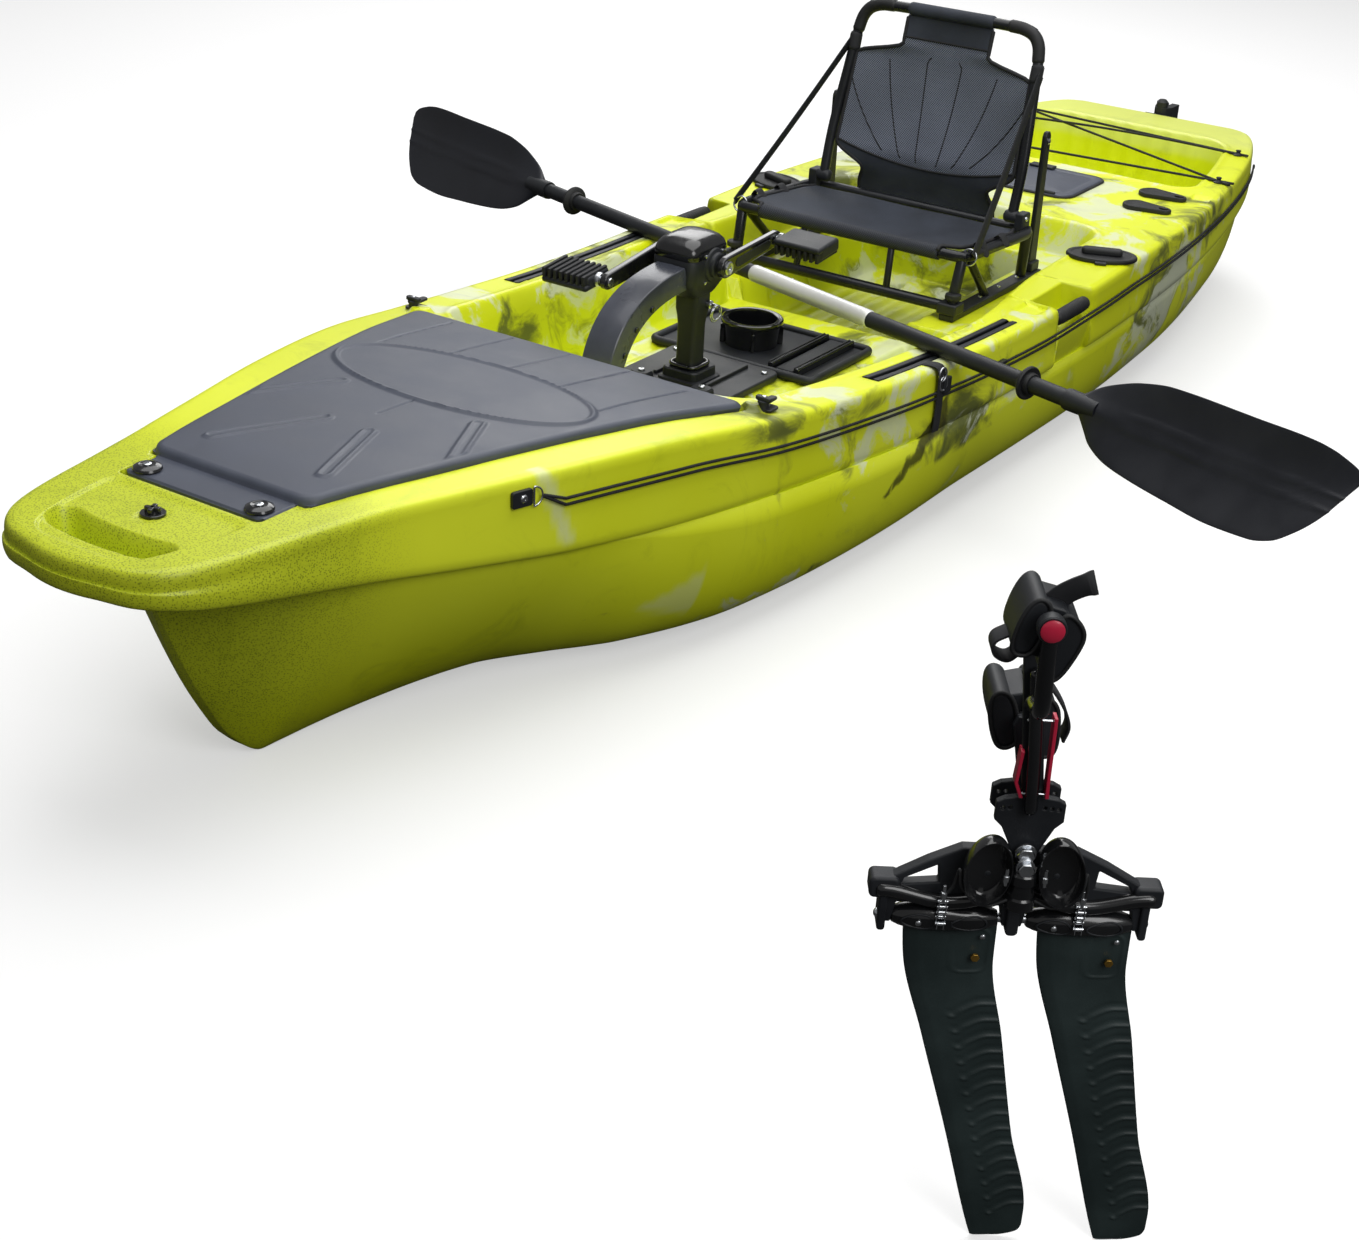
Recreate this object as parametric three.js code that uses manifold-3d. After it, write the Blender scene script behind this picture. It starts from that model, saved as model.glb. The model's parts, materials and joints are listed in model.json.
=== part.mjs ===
// Sit-on-top pedal kayak: a hollow moulded hull with its hatches, seat, pedal drive, rudder and
// paddle, and a spare fin drive that stands beside the bow.
// Millimetres. +Z is up, the bow points to -Y and port is +X. The origin is on the flat of the
// keel below the seat, so the hull rests on the plane z = 0.
import * as THREE from 'three';
import { mergeVertices } from 'three/addons/utils/BufferGeometryUtils.js';
import Module from 'manifold-3d';

const wasm = await Module();
wasm.setup();

// Driving dimensions of the hull
const HULL = {
  length: 3660,
  beam: 930,
  depth: 440,
  wall: 5,
  lap: 12,
  edge: 14,
  flare: 8,
  rim: 92,
};

const ORIGIN_SHARE = 0.6;
const GAP = 0.3;
const WELD = 0.0001;
const OVERRUN = 20;
const PORT = 1;
const STARBOARD = -1;

// Heights of the deck levels above the keel
const LEVEL = {
  ledge: 285,
  plinth: 245,
  floor: 180,
  tank: 215,
};

// Stations along the hull as shares of its length from the bow
const STATION_SHARES = {
  handleSlot: 0.024,
  drain: 0.0467,
  hatchHinge: 0.0683,
  hatchFront: 0.0844,
  hatchBack: 0.3075,
  cockpitFront: 0.3145,
  footwellFront: 0.345,
  mast: 0.4055,
  trackFront: 0.3965,
  trackBack: 0.532,
  cup: 0.474,
  footwellBack: 0.535,
  seat: 0.5598,
  carryHandle: 0.589,
  rodCap: 0.662,
  cockpitBack: 0.713,
  rimWideFrom: 0.5,
  rimWideTo: 0.62,
  rearHatchFront: 0.757,
  rearHatchBack: 0.817,
  flushLidFront: 0.7725,
  flushLidBack: 0.8055,
  tankFront: 0.835,
  tankBack: 0.962,
  trolleyFront: 0.181,
  trolleyBack: 0.965,
};

// Plan and side view of the gunwale band: share of length, half width, top edge and lower edge
const BAND_SHARES = [
  [0, 0.1, 1, 0.878],
  [0.004, 0.24, 1, 0.875],
  [0.012, 0.325, 1, 0.867],
  [0.023, 0.375, 1, 0.852],
  [0.04, 0.415, 1, 0.83],
  [0.07, 0.462, 1, 0.79],
  [0.1, 0.512, 1, 0.752],
  [0.14, 0.6, 0.99, 0.705],
  [0.19, 0.71, 0.975, 0.655],
  [0.25, 0.815, 0.945, 0.615],
  [0.31, 0.885, 0.885, 0.58],
  [0.37, 0.925, 0.84, 0.545],
  [0.43, 0.955, 0.805, 0.515],
  [0.5, 0.985, 0.785, 0.505],
  [0.56, 1, 0.782, 0.5],
  [0.62, 1, 0.79, 0.5],
  [0.68, 0.99, 0.8, 0.505],
  [0.75, 0.96, 0.8, 0.51],
  [0.82, 0.905, 0.8, 0.52],
  [0.88, 0.835, 0.803, 0.535],
  [0.93, 0.755, 0.81, 0.55],
  [0.965, 0.675, 0.815, 0.565],
  [0.985, 0.61, 0.82, 0.575],
  [0.996, 0.55, 0.82, 0.58],
  [1, 0.48, 0.82, 0.58],
];

// Underbody: share of length, keel height, keel half width, top half width and section fullness
const BODY_SHARES = [
  [0.0395, 0.755, 0.004, 0.012, 1],
  [0.0434, 0.664, 0.012, 0.11, 1],
  [0.0527, 0.464, 0.02, 0.25, 1.05],
  [0.0642, 0.257, 0.026, 0.34, 1.2],
  [0.0765, 0.098, 0.026, 0.365, 1.15],
  [0.0929, 0, 0.035, 0.43, 1.2],
  [0.14, 0, 0.055, 0.56, 1.35],
  [0.19, 0, 0.08, 0.675, 1.6],
  [0.22, 0, 0.14, 0.745, 2],
  [0.25, 0, 0.22, 0.805, 2.6],
  [0.31, 0, 0.34, 0.885, 3.4],
  [0.37, 0, 0.4, 0.93, 3.5],
  [0.43, 0, 0.42, 0.955, 3.4],
  [0.5, 0, 0.42, 0.97, 3.1],
  [0.62, 0, 0.42, 0.98, 3.1],
  [0.75, 0, 0.37, 0.94, 3],
  [0.88, 0, 0.28, 0.81, 2.7],
  [0.94, 0.04, 0.24, 0.7, 2.5],
  [0.98, 0.11, 0.2, 0.58, 2.3],
  [1, 0.16, 0.18, 0.45, 2.2],
];

// Colours
const LIME = 0xc9e81e;
const BLACK = 0x17181a;
const SLATE = 0x4b4f5a;
const RUBBER = 0x101113;
const MESH_GREY = 0x3a3f4a;
const STEEL = 0xc8ccd0;

function material(color, roughness, metalness = 0) {
  return new THREE.MeshStandardMaterial({ color, roughness, metalness });
}

const root = new THREE.Group();

// A named piece with its own finish
function piece(name, geometry, finish, parent = root) {
  const mesh = new THREE.Mesh(geometry, finish);
  mesh.name = name;
  parent.add(mesh);
  return mesh;
}

// Distance from the bow, given as a share of the length, as a place on the Y axis
function along(share) {
  return HULL.length * (share - ORIGIN_SHARE);
}

// Slopes that keep a curve through a table from overshooting
function columnSlopes(table, column) {
  const secants = table.slice(1).map((row, i) => (row[column] - table[i][column]) / (row[0] - table[i][0]));
  return table.map((row, i) => {
    if (i === 0 || i === table.length - 1) return secants[Math.min(i, secants.length - 1)];
    const product = secants[i - 1] * secants[i];
    return product <= 0 ? 0 : (2 * product) / (secants[i - 1] + secants[i]);
  });
}

// A smooth function through one column of a table
function columnCurve(table, column) {
  const slopes = columnSlopes(table, column);
  return (share) => {
    const last = table.length - 1;
    const x = Math.min(Math.max(share, table[0][0]), table[last][0]);
    let i = 0;
    while (i < last - 1 && x > table[i + 1][0]) i += 1;
    const width = table[i + 1][0] - table[i][0];
    const t = (x - table[i][0]) / width;
    const rise = table[i + 1][column] - table[i][column];
    const blend = t * t * (3 - 2 * t);
    const lead = slopes[i] * width * t * (1 - t) * (1 - t);
    const trail = slopes[i + 1] * width * t * t * (1 - t);
    return table[i][column] + rise * blend + lead - trail;
  };
}

const halfShare = columnCurve(BAND_SHARES, 1);
const sheerShare = columnCurve(BAND_SHARES, 2);
const bandShare = columnCurve(BAND_SHARES, 3);
const keelShare = columnCurve(BODY_SHARES, 1);
const keelHalfShare = columnCurve(BODY_SHARES, 2);
const bodyHalfShare = columnCurve(BODY_SHARES, 3);
const fullnessShare = columnCurve(BODY_SHARES, 4);

// Half width of the gunwale, height of the deck edge and height of the band's lower edge
function gunwale(share) {
  return (halfShare(share) * HULL.beam) / 2;
}

function sheer(share) {
  return sheerShare(share) * HULL.depth;
}

function bandFoot(share) {
  return bandShare(share) * HULL.depth;
}

// Slope of the deck edge near a station, as an angle about X
const PITCH_STEP_SHARE = 0.02;

function deckPitch(share) {
  const rise = sheer(share + PITCH_STEP_SHARE) - sheer(share - PITCH_STEP_SHARE);
  return Math.atan2(rise, HULL.length * 2 * PITCH_STEP_SHARE);
}

// Solid helpers
function cleaned(geometry) {
  const bare = geometry.index ? geometry.toNonIndexed() : geometry.clone();
  bare.deleteAttribute('normal');
  bare.deleteAttribute('uv');
  return mergeVertices(bare, WELD);
}

function toSolid(geometry) {
  const merged = cleaned(geometry);
  const vertProperties = new Float32Array(merged.attributes.position.array);
  const triVerts = new Uint32Array(merged.index.array);
  return new wasm.Manifold(new wasm.Mesh({ numProp: 3, vertProperties, triVerts }));
}

function toGeometry(solid) {
  const mesh = solid.getMesh();
  const geometry = new THREE.BufferGeometry();
  const count = mesh.vertProperties.length / mesh.numProp;
  const position = new Float32Array(count * 3);
  for (let i = 0; i < count; i += 1) {
    for (let k = 0; k < 3; k += 1) position[i * 3 + k] = mesh.vertProperties[i * mesh.numProp + k];
  }
  geometry.setAttribute('position', new THREE.BufferAttribute(position, 3));
  geometry.setIndex(new THREE.BufferAttribute(new Uint32Array(mesh.triVerts), 1));
  return geometry;
}

function joined(first, ...others) {
  return toGeometry(others.reduce((sum, next) => sum.add(toSolid(next)), toSolid(first)));
}

function cut(first, ...tools) {
  return toGeometry(tools.reduce((rest, next) => rest.subtract(toSolid(next)), toSolid(first)));
}

// A closed skin over rings of points that all have the same count, with a fan over each end
function loft(rings) {
  const count = rings[0].length;
  const points = rings.flat();
  const faces = [];
  for (let r = 0; r < rings.length - 1; r += 1) {
    for (let i = 0; i < count; i += 1) {
      const a = r * count + i;
      const b = r * count + ((i + 1) % count);
      faces.push(a, b, a + count, b, b + count, a + count);
    }
  }
  [0, rings.length - 1].forEach((r) => {
    const centre = rings[r].reduce((sum, p) => sum.add(p), new THREE.Vector3()).divideScalar(count);
    points.push(centre);
    for (let i = 0; i < count; i += 1) {
      const a = r * count + i;
      const b = r * count + ((i + 1) % count);
      if (r === 0) faces.push(points.length - 1, b, a);
      else faces.push(points.length - 1, a, b);
    }
  });
  return outward(points, faces);
}

// The same faces, turned so that they enclose a positive volume
function outward(points, faces) {
  let volume = 0;
  for (let i = 0; i < faces.length; i += 3) {
    const [a, b, c] = [points[faces[i]], points[faces[i + 1]], points[faces[i + 2]]];
    volume += a.dot(new THREE.Vector3().crossVectors(b, c));
  }
  const index = volume < 0 ? faces.slice().reverse() : faces;
  const geometry = new THREE.BufferGeometry().setFromPoints(points);
  geometry.setIndex(index);
  return geometry;
}

function box(width, length, height, x = 0, y = 0, z = 0) {
  return new THREE.BoxGeometry(width, length, height).translate(x, y, z);
}

// A block from its lowest and highest corners
function span(x0, x1, y0, y1, z0, z1) {
  return box(x1 - x0, y1 - y0, z1 - z0, (x0 + x1) / 2, (y0 + y1) / 2, (z0 + z1) / 2);
}

// A round bar along Z, with its middle at the origin
function bar(radius, length, sides = 20) {
  return new THREE.CylinderGeometry(radius, radius, length, sides).rotateX(Math.PI / 2);
}

function barX(radius, x0, x1, y, z, sides = 20) {
  return bar(radius, x1 - x0, sides).rotateY(Math.PI / 2).translate((x0 + x1) / 2, y, z);
}

function barY(radius, y0, y1, x, z, sides = 20) {
  return bar(radius, y1 - y0, sides).rotateX(Math.PI / 2).translate(x, (y0 + y1) / 2, z);
}

function barZ(radius, z0, z1, x, y, sides = 20) {
  return bar(radius, z1 - z0, sides).translate(x, y, (z0 + z1) / 2);
}

// A turned solid about Z from points of radius and height that start and end on the axis
function turned(points, sides = 24) {
  const profile = points.map(([r, z]) => new THREE.Vector2(r, z));
  return new THREE.LatheGeometry(profile, sides).rotateX(Math.PI / 2);
}

// A plate with a flat outline, from height z0 up to z1
function plate(outline, z0, z1) {
  const shape = new THREE.Shape(outline.map(([x, y]) => new THREE.Vector2(x, y)));
  const options = { depth: z1 - z0, bevelEnabled: false, curveSegments: 4 };
  return new THREE.ExtrudeGeometry(shape, options).translate(0, 0, z0);
}

// The same plate standing up: its outline lies in the YZ plane and it runs from x0 to x1
function standingPlate(outline, x0, x1) {
  return plate(outline, x0, x1).applyMatrix4(
    new THREE.Matrix4().makeBasis(
      new THREE.Vector3(0, 1, 0),
      new THREE.Vector3(0, 0, 1),
      new THREE.Vector3(1, 0, 0),
    ),
  );
}

// Outline of a rectangle with round corners
function roundedOutline(width, length, radius, x = 0, y = 0, steps = 4) {
  const outline = [];
  const corners = [[1, 1, 0], [-1, 1, 1], [-1, -1, 2], [1, -1, 3]];
  corners.forEach(([sx, sy, quarter]) => {
    for (let i = 0; i <= steps; i += 1) {
      const angle = ((quarter + i / steps) * Math.PI) / 2;
      outline.push([
        x + sx * (width / 2 - radius) + radius * Math.cos(angle),
        y + sy * (length / 2 - radius) + radius * Math.sin(angle),
      ]);
    }
  });
  return outline;
}

// An outline with its sharp corners replaced by short arcs of a given reach
function softened(outline, reach, steps = 3) {
  const count = outline.length;
  return outline.flatMap((corner, i) => {
    const p = new THREE.Vector2(...corner);
    const before = new THREE.Vector2(...outline[(i + count - 1) % count]);
    const after = new THREE.Vector2(...outline[(i + 1) % count]);
    const a = p.clone().add(before.sub(p).clampLength(reach, reach));
    const b = p.clone().add(after.sub(p).clampLength(reach, reach));
    const curve = new THREE.QuadraticBezierCurve(a, p, b);
    return curve.getPoints(steps).map((q) => [q.x, q.y]);
  });
}

// A round tube along a smooth path
function tube(points, radius, sides = 8, steps = 24, tension = 0.5) {
  const path = new THREE.CatmullRomCurve3(points, false, 'catmullrom', tension);
  const section = new THREE.Shape();
  for (let i = 0; i < sides; i += 1) {
    const angle = (i / sides) * Math.PI * 2;
    const [x, y] = [radius * Math.cos(angle), radius * Math.sin(angle)];
    if (i === 0) section.moveTo(x, y);
    else section.lineTo(x, y);
  }
  section.closePath();
  return new THREE.ExtrudeGeometry(section, { steps, extrudePath: path, bevelEnabled: false });
}

// A straight round bar between two points
function strut(a, b, radius, sides = 10) {
  const direction = b.clone().sub(a);
  const turn = new THREE.Quaternion().setFromUnitVectors(
    new THREE.Vector3(0, 0, 1),
    direction.clone().normalize(),
  );
  const middle = a.clone().add(b).multiplyScalar(0.5);
  return bar(radius, direction.length(), sides).applyQuaternion(turn).translate(...middle);
}

function vec(x, y, z) {
  return new THREE.Vector3(x, y, z);
}

// Hull

// Half section of the gunwale band, from the middle of its underside to the middle of the deck
function bandRing(share, inset) {
  const half = gunwale(share) - inset;
  const top = sheer(share) - inset;
  const foot = bandFoot(share) + inset;
  const edge = Math.min(HULL.edge, half / 4);
  const flare = Math.min(HULL.flare, half / 8);
  const side = [
    [half - flare, foot],
    [half, foot + edge],
    [half - flare / 2, top - edge],
    [half - flare / 2 - edge / 3, top - edge / 3],
    [half - flare / 2 - edge, top],
  ];
  const y = along(share);
  const right = side.map(([x, z]) => vec(x, y, z));
  const left = side.slice().reverse().map(([x, z]) => vec(-x, y, z));
  return [vec(0, y, foot), ...right, vec(0, y, top), ...left];
}

// Section of the underbody: a flat keel, then a superellipse up to the band
function bodyRing(share, inset, steps) {
  const setBack = inset > 0 ? (inset * 4) / HULL.length : 0;
  const keel = keelShare(share - setBack) * HULL.depth + inset;
  const top = bandFoot(share) + HULL.lap + inset;
  const flat = (keelHalfShare(share) * HULL.beam) / 2;
  const half = Math.max((bodyHalfShare(share) * HULL.beam) / 2 - inset, flat + inset);
  const power = 2 / fullnessShare(share);
  const y = along(share);
  const side = [];
  for (let i = 0; i <= steps; i += 1) {
    const angle = (i / steps) * (Math.PI / 2);
    const out = Math.sin(angle) ** power;
    const up = 1 - Math.cos(angle) ** power;
    side.push([flat + (half - flat) * out, keel + (top - keel) * (i === steps ? 1 : up)]);
  }
  const right = side.map(([x, z]) => vec(x, y, z));
  const left = side.slice().reverse().map(([x, z]) => vec(-x, y, z));
  return [...right, ...left];
}

// Outline between two stations that keeps a given distance from the gunwale
function insetOutline(front, back, insetAt, steps, reach) {
  const port = [];
  for (let i = 0; i <= steps; i += 1) {
    const share = front + ((back - front) * i) / steps;
    port.push([gunwale(share) - insetAt(share), along(share)]);
  }
  const starboard = port.slice().reverse().map(([x, y]) => [-x, y]);
  return softenedEnds([...port, ...starboard], reach);
}

// Rounds only the four end corners of an outline made of two sides of equal count
function softenedEnds(outline, reach) {
  const count = outline.length;
  const ends = [0, count / 2 - 1, count / 2, count - 1];
  return outline.flatMap((corner, i) => {
    if (!ends.includes(i)) return [corner];
    const p = new THREE.Vector2(...corner);
    const before = new THREE.Vector2(...outline[(i + count - 1) % count]);
    const after = new THREE.Vector2(...outline[(i + 1) % count]);
    const a = p.clone().add(before.sub(p).clampLength(reach, reach));
    const b = p.clone().add(after.sub(p).clampLength(reach, reach));
    return new THREE.QuadraticBezierCurve(a, p, b).getPoints(3).map((q) => [q.x, q.y]);
  });
}

const COCKPIT = {
  corner: 60,
  rimGrowth: 46,
  plinthHalf: 200,
  footwellInset: 104,
  seatFloorHalf: 205,
  seatFloorBackShare: 0.695,
};

const TANK = {
  inset: 78,
  corner: 50,
};

// Width of the side deck: it widens abreast of the seat
function rimWidth(share) {
  const s = STATION_SHARES;
  const t = Math.min(Math.max((share - s.rimWideFrom) / (s.rimWideTo - s.rimWideFrom), 0), 1);
  return HULL.rim + COCKPIT.rimGrowth * t * t * (3 - 2 * t);
}

// The cockpit and tank well, each grown by the same distance on every side
function deckWells(grow) {
  const above = HULL.depth + OVERRUN;
  const shift = grow / HULL.length;
  const s = STATION_SHARES;
  const cockpit = insetOutline(
    s.cockpitFront - shift,
    s.cockpitBack + shift,
    (share) => rimWidth(share) - grow,
    14,
    COCKPIT.corner,
  );
  const inner = Math.min(COCKPIT.plinthHalf, gunwale(s.cockpitFront) - HULL.rim);
  const plinth = [
    [inner + grow, along(s.cockpitFront - shift)],
    [inner + grow, along(s.footwellBack + shift)],
    [-inner - grow, along(s.footwellBack + shift)],
    [-inner - grow, along(s.cockpitFront - shift)],
  ];
  const seatFloor = [
    [COCKPIT.seatFloorHalf + grow, along(s.footwellBack) - grow],
    [COCKPIT.seatFloorHalf + grow, along(COCKPIT.seatFloorBackShare) + grow],
    [-COCKPIT.seatFloorHalf - grow, along(COCKPIT.seatFloorBackShare) + grow],
    [-COCKPIT.seatFloorHalf - grow, along(s.footwellBack) - grow],
  ];
  const tankInset = () => TANK.inset - grow;
  const tank = insetOutline(s.tankFront - shift, s.tankBack + shift, tankInset, 5, TANK.corner);
  return [
    plate(cockpit, LEVEL.ledge - grow, above),
    plate(plinth, LEVEL.plinth - grow, above),
    plate(seatFloor, LEVEL.floor - grow, above),
    footwell(PORT, grow),
    footwell(STARBOARD, grow),
    plate(tank, LEVEL.tank - grow, above),
  ];
}

// The foot space beside the plinth
function footwell(side, grow) {
  const s = STATION_SHARES;
  const steps = 4;
  const outer = [];
  for (let i = 0; i <= steps; i += 1) {
    const share = s.footwellFront + ((s.footwellBack - s.footwellFront) * i) / steps;
    const nudge = i === 0 ? -grow : i === steps ? grow : 0;
    outer.push([side * (gunwale(share) - COCKPIT.footwellInset + grow), along(share) + nudge]);
  }
  const innerX = side * (COCKPIT.plinthHalf - grow);
  const outline = [...outer, [innerX, outer[steps][1]], [innerX, outer[0][1]]];
  return plate(side > 0 ? outline : outline.reverse(), LEVEL.floor - grow, HULL.depth + OVERRUN);
}

// Pocket under the hull that the folded leg and propeller lie in, and the slot for the mast
const POCKET = {
  slotHalf: 30,
  slotFront: 34,
  slotBack: 34,
  legDepth: 84,
  propDepth: 44,
  propMargin: 12,
};

function driveWell(grow) {
  const y = along(STATION_SHARES.mast);
  const slot = POCKET.slotHalf + grow;
  const front = y - POCKET.slotFront - grow;
  const disc = PROP.radius + POCKET.propMargin + grow;
  return [
    span(-slot, slot, front, y + POCKET.slotBack + grow, -OVERRUN, LEVEL.plinth + OVERRUN),
    span(-slot, slot, front, y + LEG.length + LEG.caseRadius + grow, -OVERRUN, POCKET.legDepth + grow),
    barZ(disc, -OVERRUN, POCKET.propDepth + grow, 0, y + LEG.length, 28),
  ];
}

// Openings in the deck over the two holds, and the recesses that their lids sit in
const HATCH = {
  frontHalf: 150,
  backHalf: 345,
  skirt: 12,
  thickness: 24,
  landing: 34,
  tongueHalf: 132,
  corner: 26,
  seat: 12,
  hingeLead: 8,
  hingeRoom: 18,
  hingeDrop: 5,
  chamfer: 5,
};

const REAR_HATCH = {
  half: 155,
  corner: 34,
  landing: 26,
  seat: 10,
  thickness: 16,
};

// Half width of the front lid between the front and the back of its raised panel
function lidHalf(share) {
  const s = STATION_SHARES;
  const t = (share - s.hatchFront) / (s.hatchBack - s.hatchFront);
  return HATCH.frontHalf + (HATCH.backHalf - HATCH.frontHalf) * t;
}

function holdOutline(grow) {
  const s = STATION_SHARES;
  const inset = HATCH.landing - grow;
  return softened([
    [HATCH.backHalf - inset, along(s.hatchBack) - inset],
    [-HATCH.backHalf + inset, along(s.hatchBack) - inset],
    [-HATCH.frontHalf + inset, along(s.hatchFront) + inset],
    [HATCH.frontHalf - inset, along(s.hatchFront) + inset],
  ], HATCH.corner);
}

// A slab that follows the sheer of the deck. Each station gives its share, half width and the
// width of the chamfer along the top edge; heights are measured from the deck.
function deckSlab(stations, low, high) {
  return loft(stations.map(([share, half, chamfer]) => {
    const y = along(share);
    const z = sheer(share);
    const side = [[half, z + low], [half, z + high - chamfer], [half - chamfer, z + high]];
    const right = side.map(([x, height]) => vec(x, y, height));
    const left = side.slice().reverse().map(([x, height]) => vec(-x, y, height));
    return [...right, ...left];
  }));
}

const LID_STEP_SHARES = [0.02, 0.25, 0.5, 0.75, 0.98];

// Tongue and skirt of the front lid, grown all round and chamfered or square on top
function lidSkirt(grow, low, high) {
  const s = STATION_SHARES;
  const shift = grow / HULL.length;
  const tip = s.hatchHinge - HATCH.hingeLead / HULL.length - shift;
  const step = s.hatchFront - shift;
  const length = s.hatchBack - s.hatchFront;
  const inner = LID_STEP_SHARES.map((t) => s.hatchFront + length * t);
  const edge = 2 * GAP;
  return deckSlab([
    [tip, HATCH.tongueHalf + grow, edge],
    [step - edge / HULL.length, HATCH.tongueHalf + grow, edge],
    ...[step, ...inner, s.hatchBack + shift].map((share) => [share, lidHalf(share) + grow, edge]),
  ], low, high);
}

// Raised panel of the front lid with rounded ends and a chamfered edge
function lidPanel(inset, low, high, chamfer) {
  const s = STATION_SHARES;
  const reach = HATCH.corner / HULL.length;
  const [front, back] = [s.hatchFront + inset / HULL.length, s.hatchBack - inset / HULL.length];
  const inner = LID_STEP_SHARES.slice(1, -1).map((t) => front + (back - front) * t);
  const rounding = [[0, 1], [0.3, 0.3], [1, 0]];
  const ends = rounding.map(([t, pull]) => [t * reach, pull * HATCH.corner]);
  const stations = [
    ...ends.map(([run, pull]) => [front + run, pull]),
    ...inner.map((share) => [share, 0]),
    ...ends.slice().reverse().map(([run, pull]) => [back - run, pull]),
  ];
  return deckSlab(
    stations.map(([share, pull]) => [share, lidHalf(share) - inset - pull, chamfer]),
    low,
    high,
  );
}

function rearHatchPlate(grow, z0, z1) {
  const s = STATION_SHARES;
  const middle = (along(s.rearHatchFront) + along(s.rearHatchBack)) / 2;
  const length = along(s.rearHatchBack) - along(s.rearHatchFront);
  const width = 2 * (REAR_HATCH.half + grow);
  const outline = roundedOutline(width, length + 2 * grow, REAR_HATCH.corner, 0, middle);
  return plate(outline, z0, z1);
}

const REAR_DECK = sheer(STATION_SHARES.rearHatchFront);

function hingeRoom(grow) {
  const hinge = along(STATION_SHARES.hatchHinge);
  const top = sheer(STATION_SHARES.hatchHinge);
  const half = HATCH.tongueHalf + 2 * GAP + grow;
  return span(
    -half,
    half,
    hinge - HATCH.hingeRoom - grow,
    hinge + HATCH.hingeRoom + grow,
    top - HATCH.seat - HATCH.hingeDrop - grow,
    top + OVERRUN,
  );
}

function hatchCuts() {
  const deep = HULL.depth / 3;
  const lower = REAR_DECK - REAR_HATCH.seat;
  return [
    lidSkirt(2 * GAP, -HATCH.seat, OVERRUN),
    hingeRoom(0),
    plate(holdOutline(0), HULL.depth - deep, HULL.depth + OVERRUN),
    rearHatchPlate(2 * GAP, lower, REAR_DECK + OVERRUN),
    rearHatchPlate(-REAR_HATCH.landing, REAR_DECK - deep, REAR_DECK),
  ];
}

// Handle slot through the bow platform and the hole for the drain plug
const BOW = {
  slotHalf: 104,
  slotWidth: 46,
  drainHole: 11,
  drainSeat: 20,
  drainDepth: 6,
  drainPlay: 1,
};

function bowCuts() {
  const slot = roundedOutline(
    2 * BOW.slotHalf,
    BOW.slotWidth,
    BOW.slotWidth / 2 - GAP,
    0,
    along(STATION_SHARES.handleSlot),
  );
  const y = along(STATION_SHARES.drain);
  const top = sheer(STATION_SHARES.drain);
  return [
    plate(slot, HULL.depth / 2, HULL.depth + OVERRUN),
    barZ(BOW.drainHole, top - 2 * HULL.wall - OVERRUN, top + OVERRUN, 0, y),
    barZ(BOW.drainSeat, top - BOW.drainDepth, top + OVERRUN, 0, y),
  ];
}

// Gear track: a slotted rail let into the gunwale on each side
const TRACK = {
  width: 32,
  depth: 11,
  inset: 47,
  slot: 9,
  mouth: 18,
  floor: 3,
};

function trackPlacement(side) {
  const s = STATION_SHARES;
  const [y0, y1] = [along(s.trackFront), along(s.trackBack)];
  const [x0, x1] = [gunwale(s.trackFront) - TRACK.inset, gunwale(s.trackBack) - TRACK.inset];
  const [z0, z1] = [sheer(s.trackFront), sheer(s.trackBack)];
  const middleSag = sheer((s.trackFront + s.trackBack) / 2) - (z0 + z1) / 2;
  const matrix = new THREE.Matrix4()
    .makeTranslation(side * (x0 + x1) / 2, (y0 + y1) / 2, (z0 + z1) / 2 + middleSag)
    .multiply(new THREE.Matrix4().makeRotationZ(-side * Math.atan2(x1 - x0, y1 - y0)))
    .multiply(new THREE.Matrix4().makeRotationX(Math.atan2(z1 - z0, y1 - y0)));
  return { matrix, length: y1 - y0 };
}

function trackGroove(side) {
  const { matrix, length } = trackPlacement(side);
  const width = TRACK.width + 2 * GAP;
  return box(width, length + 2 * GAP, TRACK.depth + OVERRUN, 0, 0, (OVERRUN - TRACK.depth) / 2)
    .applyMatrix4(matrix);
}

function gearTrack(side) {
  const { matrix, length } = trackPlacement(side);
  const height = TRACK.depth - 2 * GAP;
  const body = box(TRACK.width, length, height, 0, 0, -height / 2 - GAP);
  const slot = box(TRACK.slot, length - TRACK.width, height, 0, 0, -height / 2 - GAP + TRACK.floor);
  const mouthHeight = height / 2;
  const mouth = box(TRACK.mouth, length - TRACK.width, mouthHeight / 2, 0, 0, -height + TRACK.floor + GAP);
  return cut(body, slot, mouth).applyMatrix4(matrix);
}

// Carry handle in a recess at the gunwale's outer corner
const HANDLE = {
  grip: 15,
  gripLength: 142,
  armRadius: 9,
  reach: 25,
  restAngle: 0.45,
  pin: 5,
  pinLength: 9,
  pivotInset: 38,
  pivotDrop: 38,
  recess: 70,
  recessDepth: 53,
  margin: 6,
};

function handlePivot(side) {
  const share = STATION_SHARES.carryHandle;
  return vec(
    side * (gunwale(share) - HANDLE.pivotInset),
    along(share),
    sheer(share) - HANDLE.pivotDrop,
  );
}

function handleRecess(side) {
  const pivot = handlePivot(side);
  const half = HANDLE.gripLength / 2 + HANDLE.margin;
  const outer = gunwale(STATION_SHARES.carryHandle);
  const top = sheer(STATION_SHARES.carryHandle);
  const inner = outer - HANDLE.recess;
  const [x0, x1] = side > 0 ? [inner, outer + OVERRUN] : [-outer - OVERRUN, -inner];
  const room = span(x0, x1, pivot.y - half, pivot.y + half, top - HANDLE.recessDepth, top + OVERRUN);
  const reach = half + HANDLE.pinLength;
  const holes = barY(HANDLE.pin + GAP, pivot.y - reach, pivot.y + reach, pivot.x, pivot.z, 12);
  return [room, holes];
}

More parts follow.
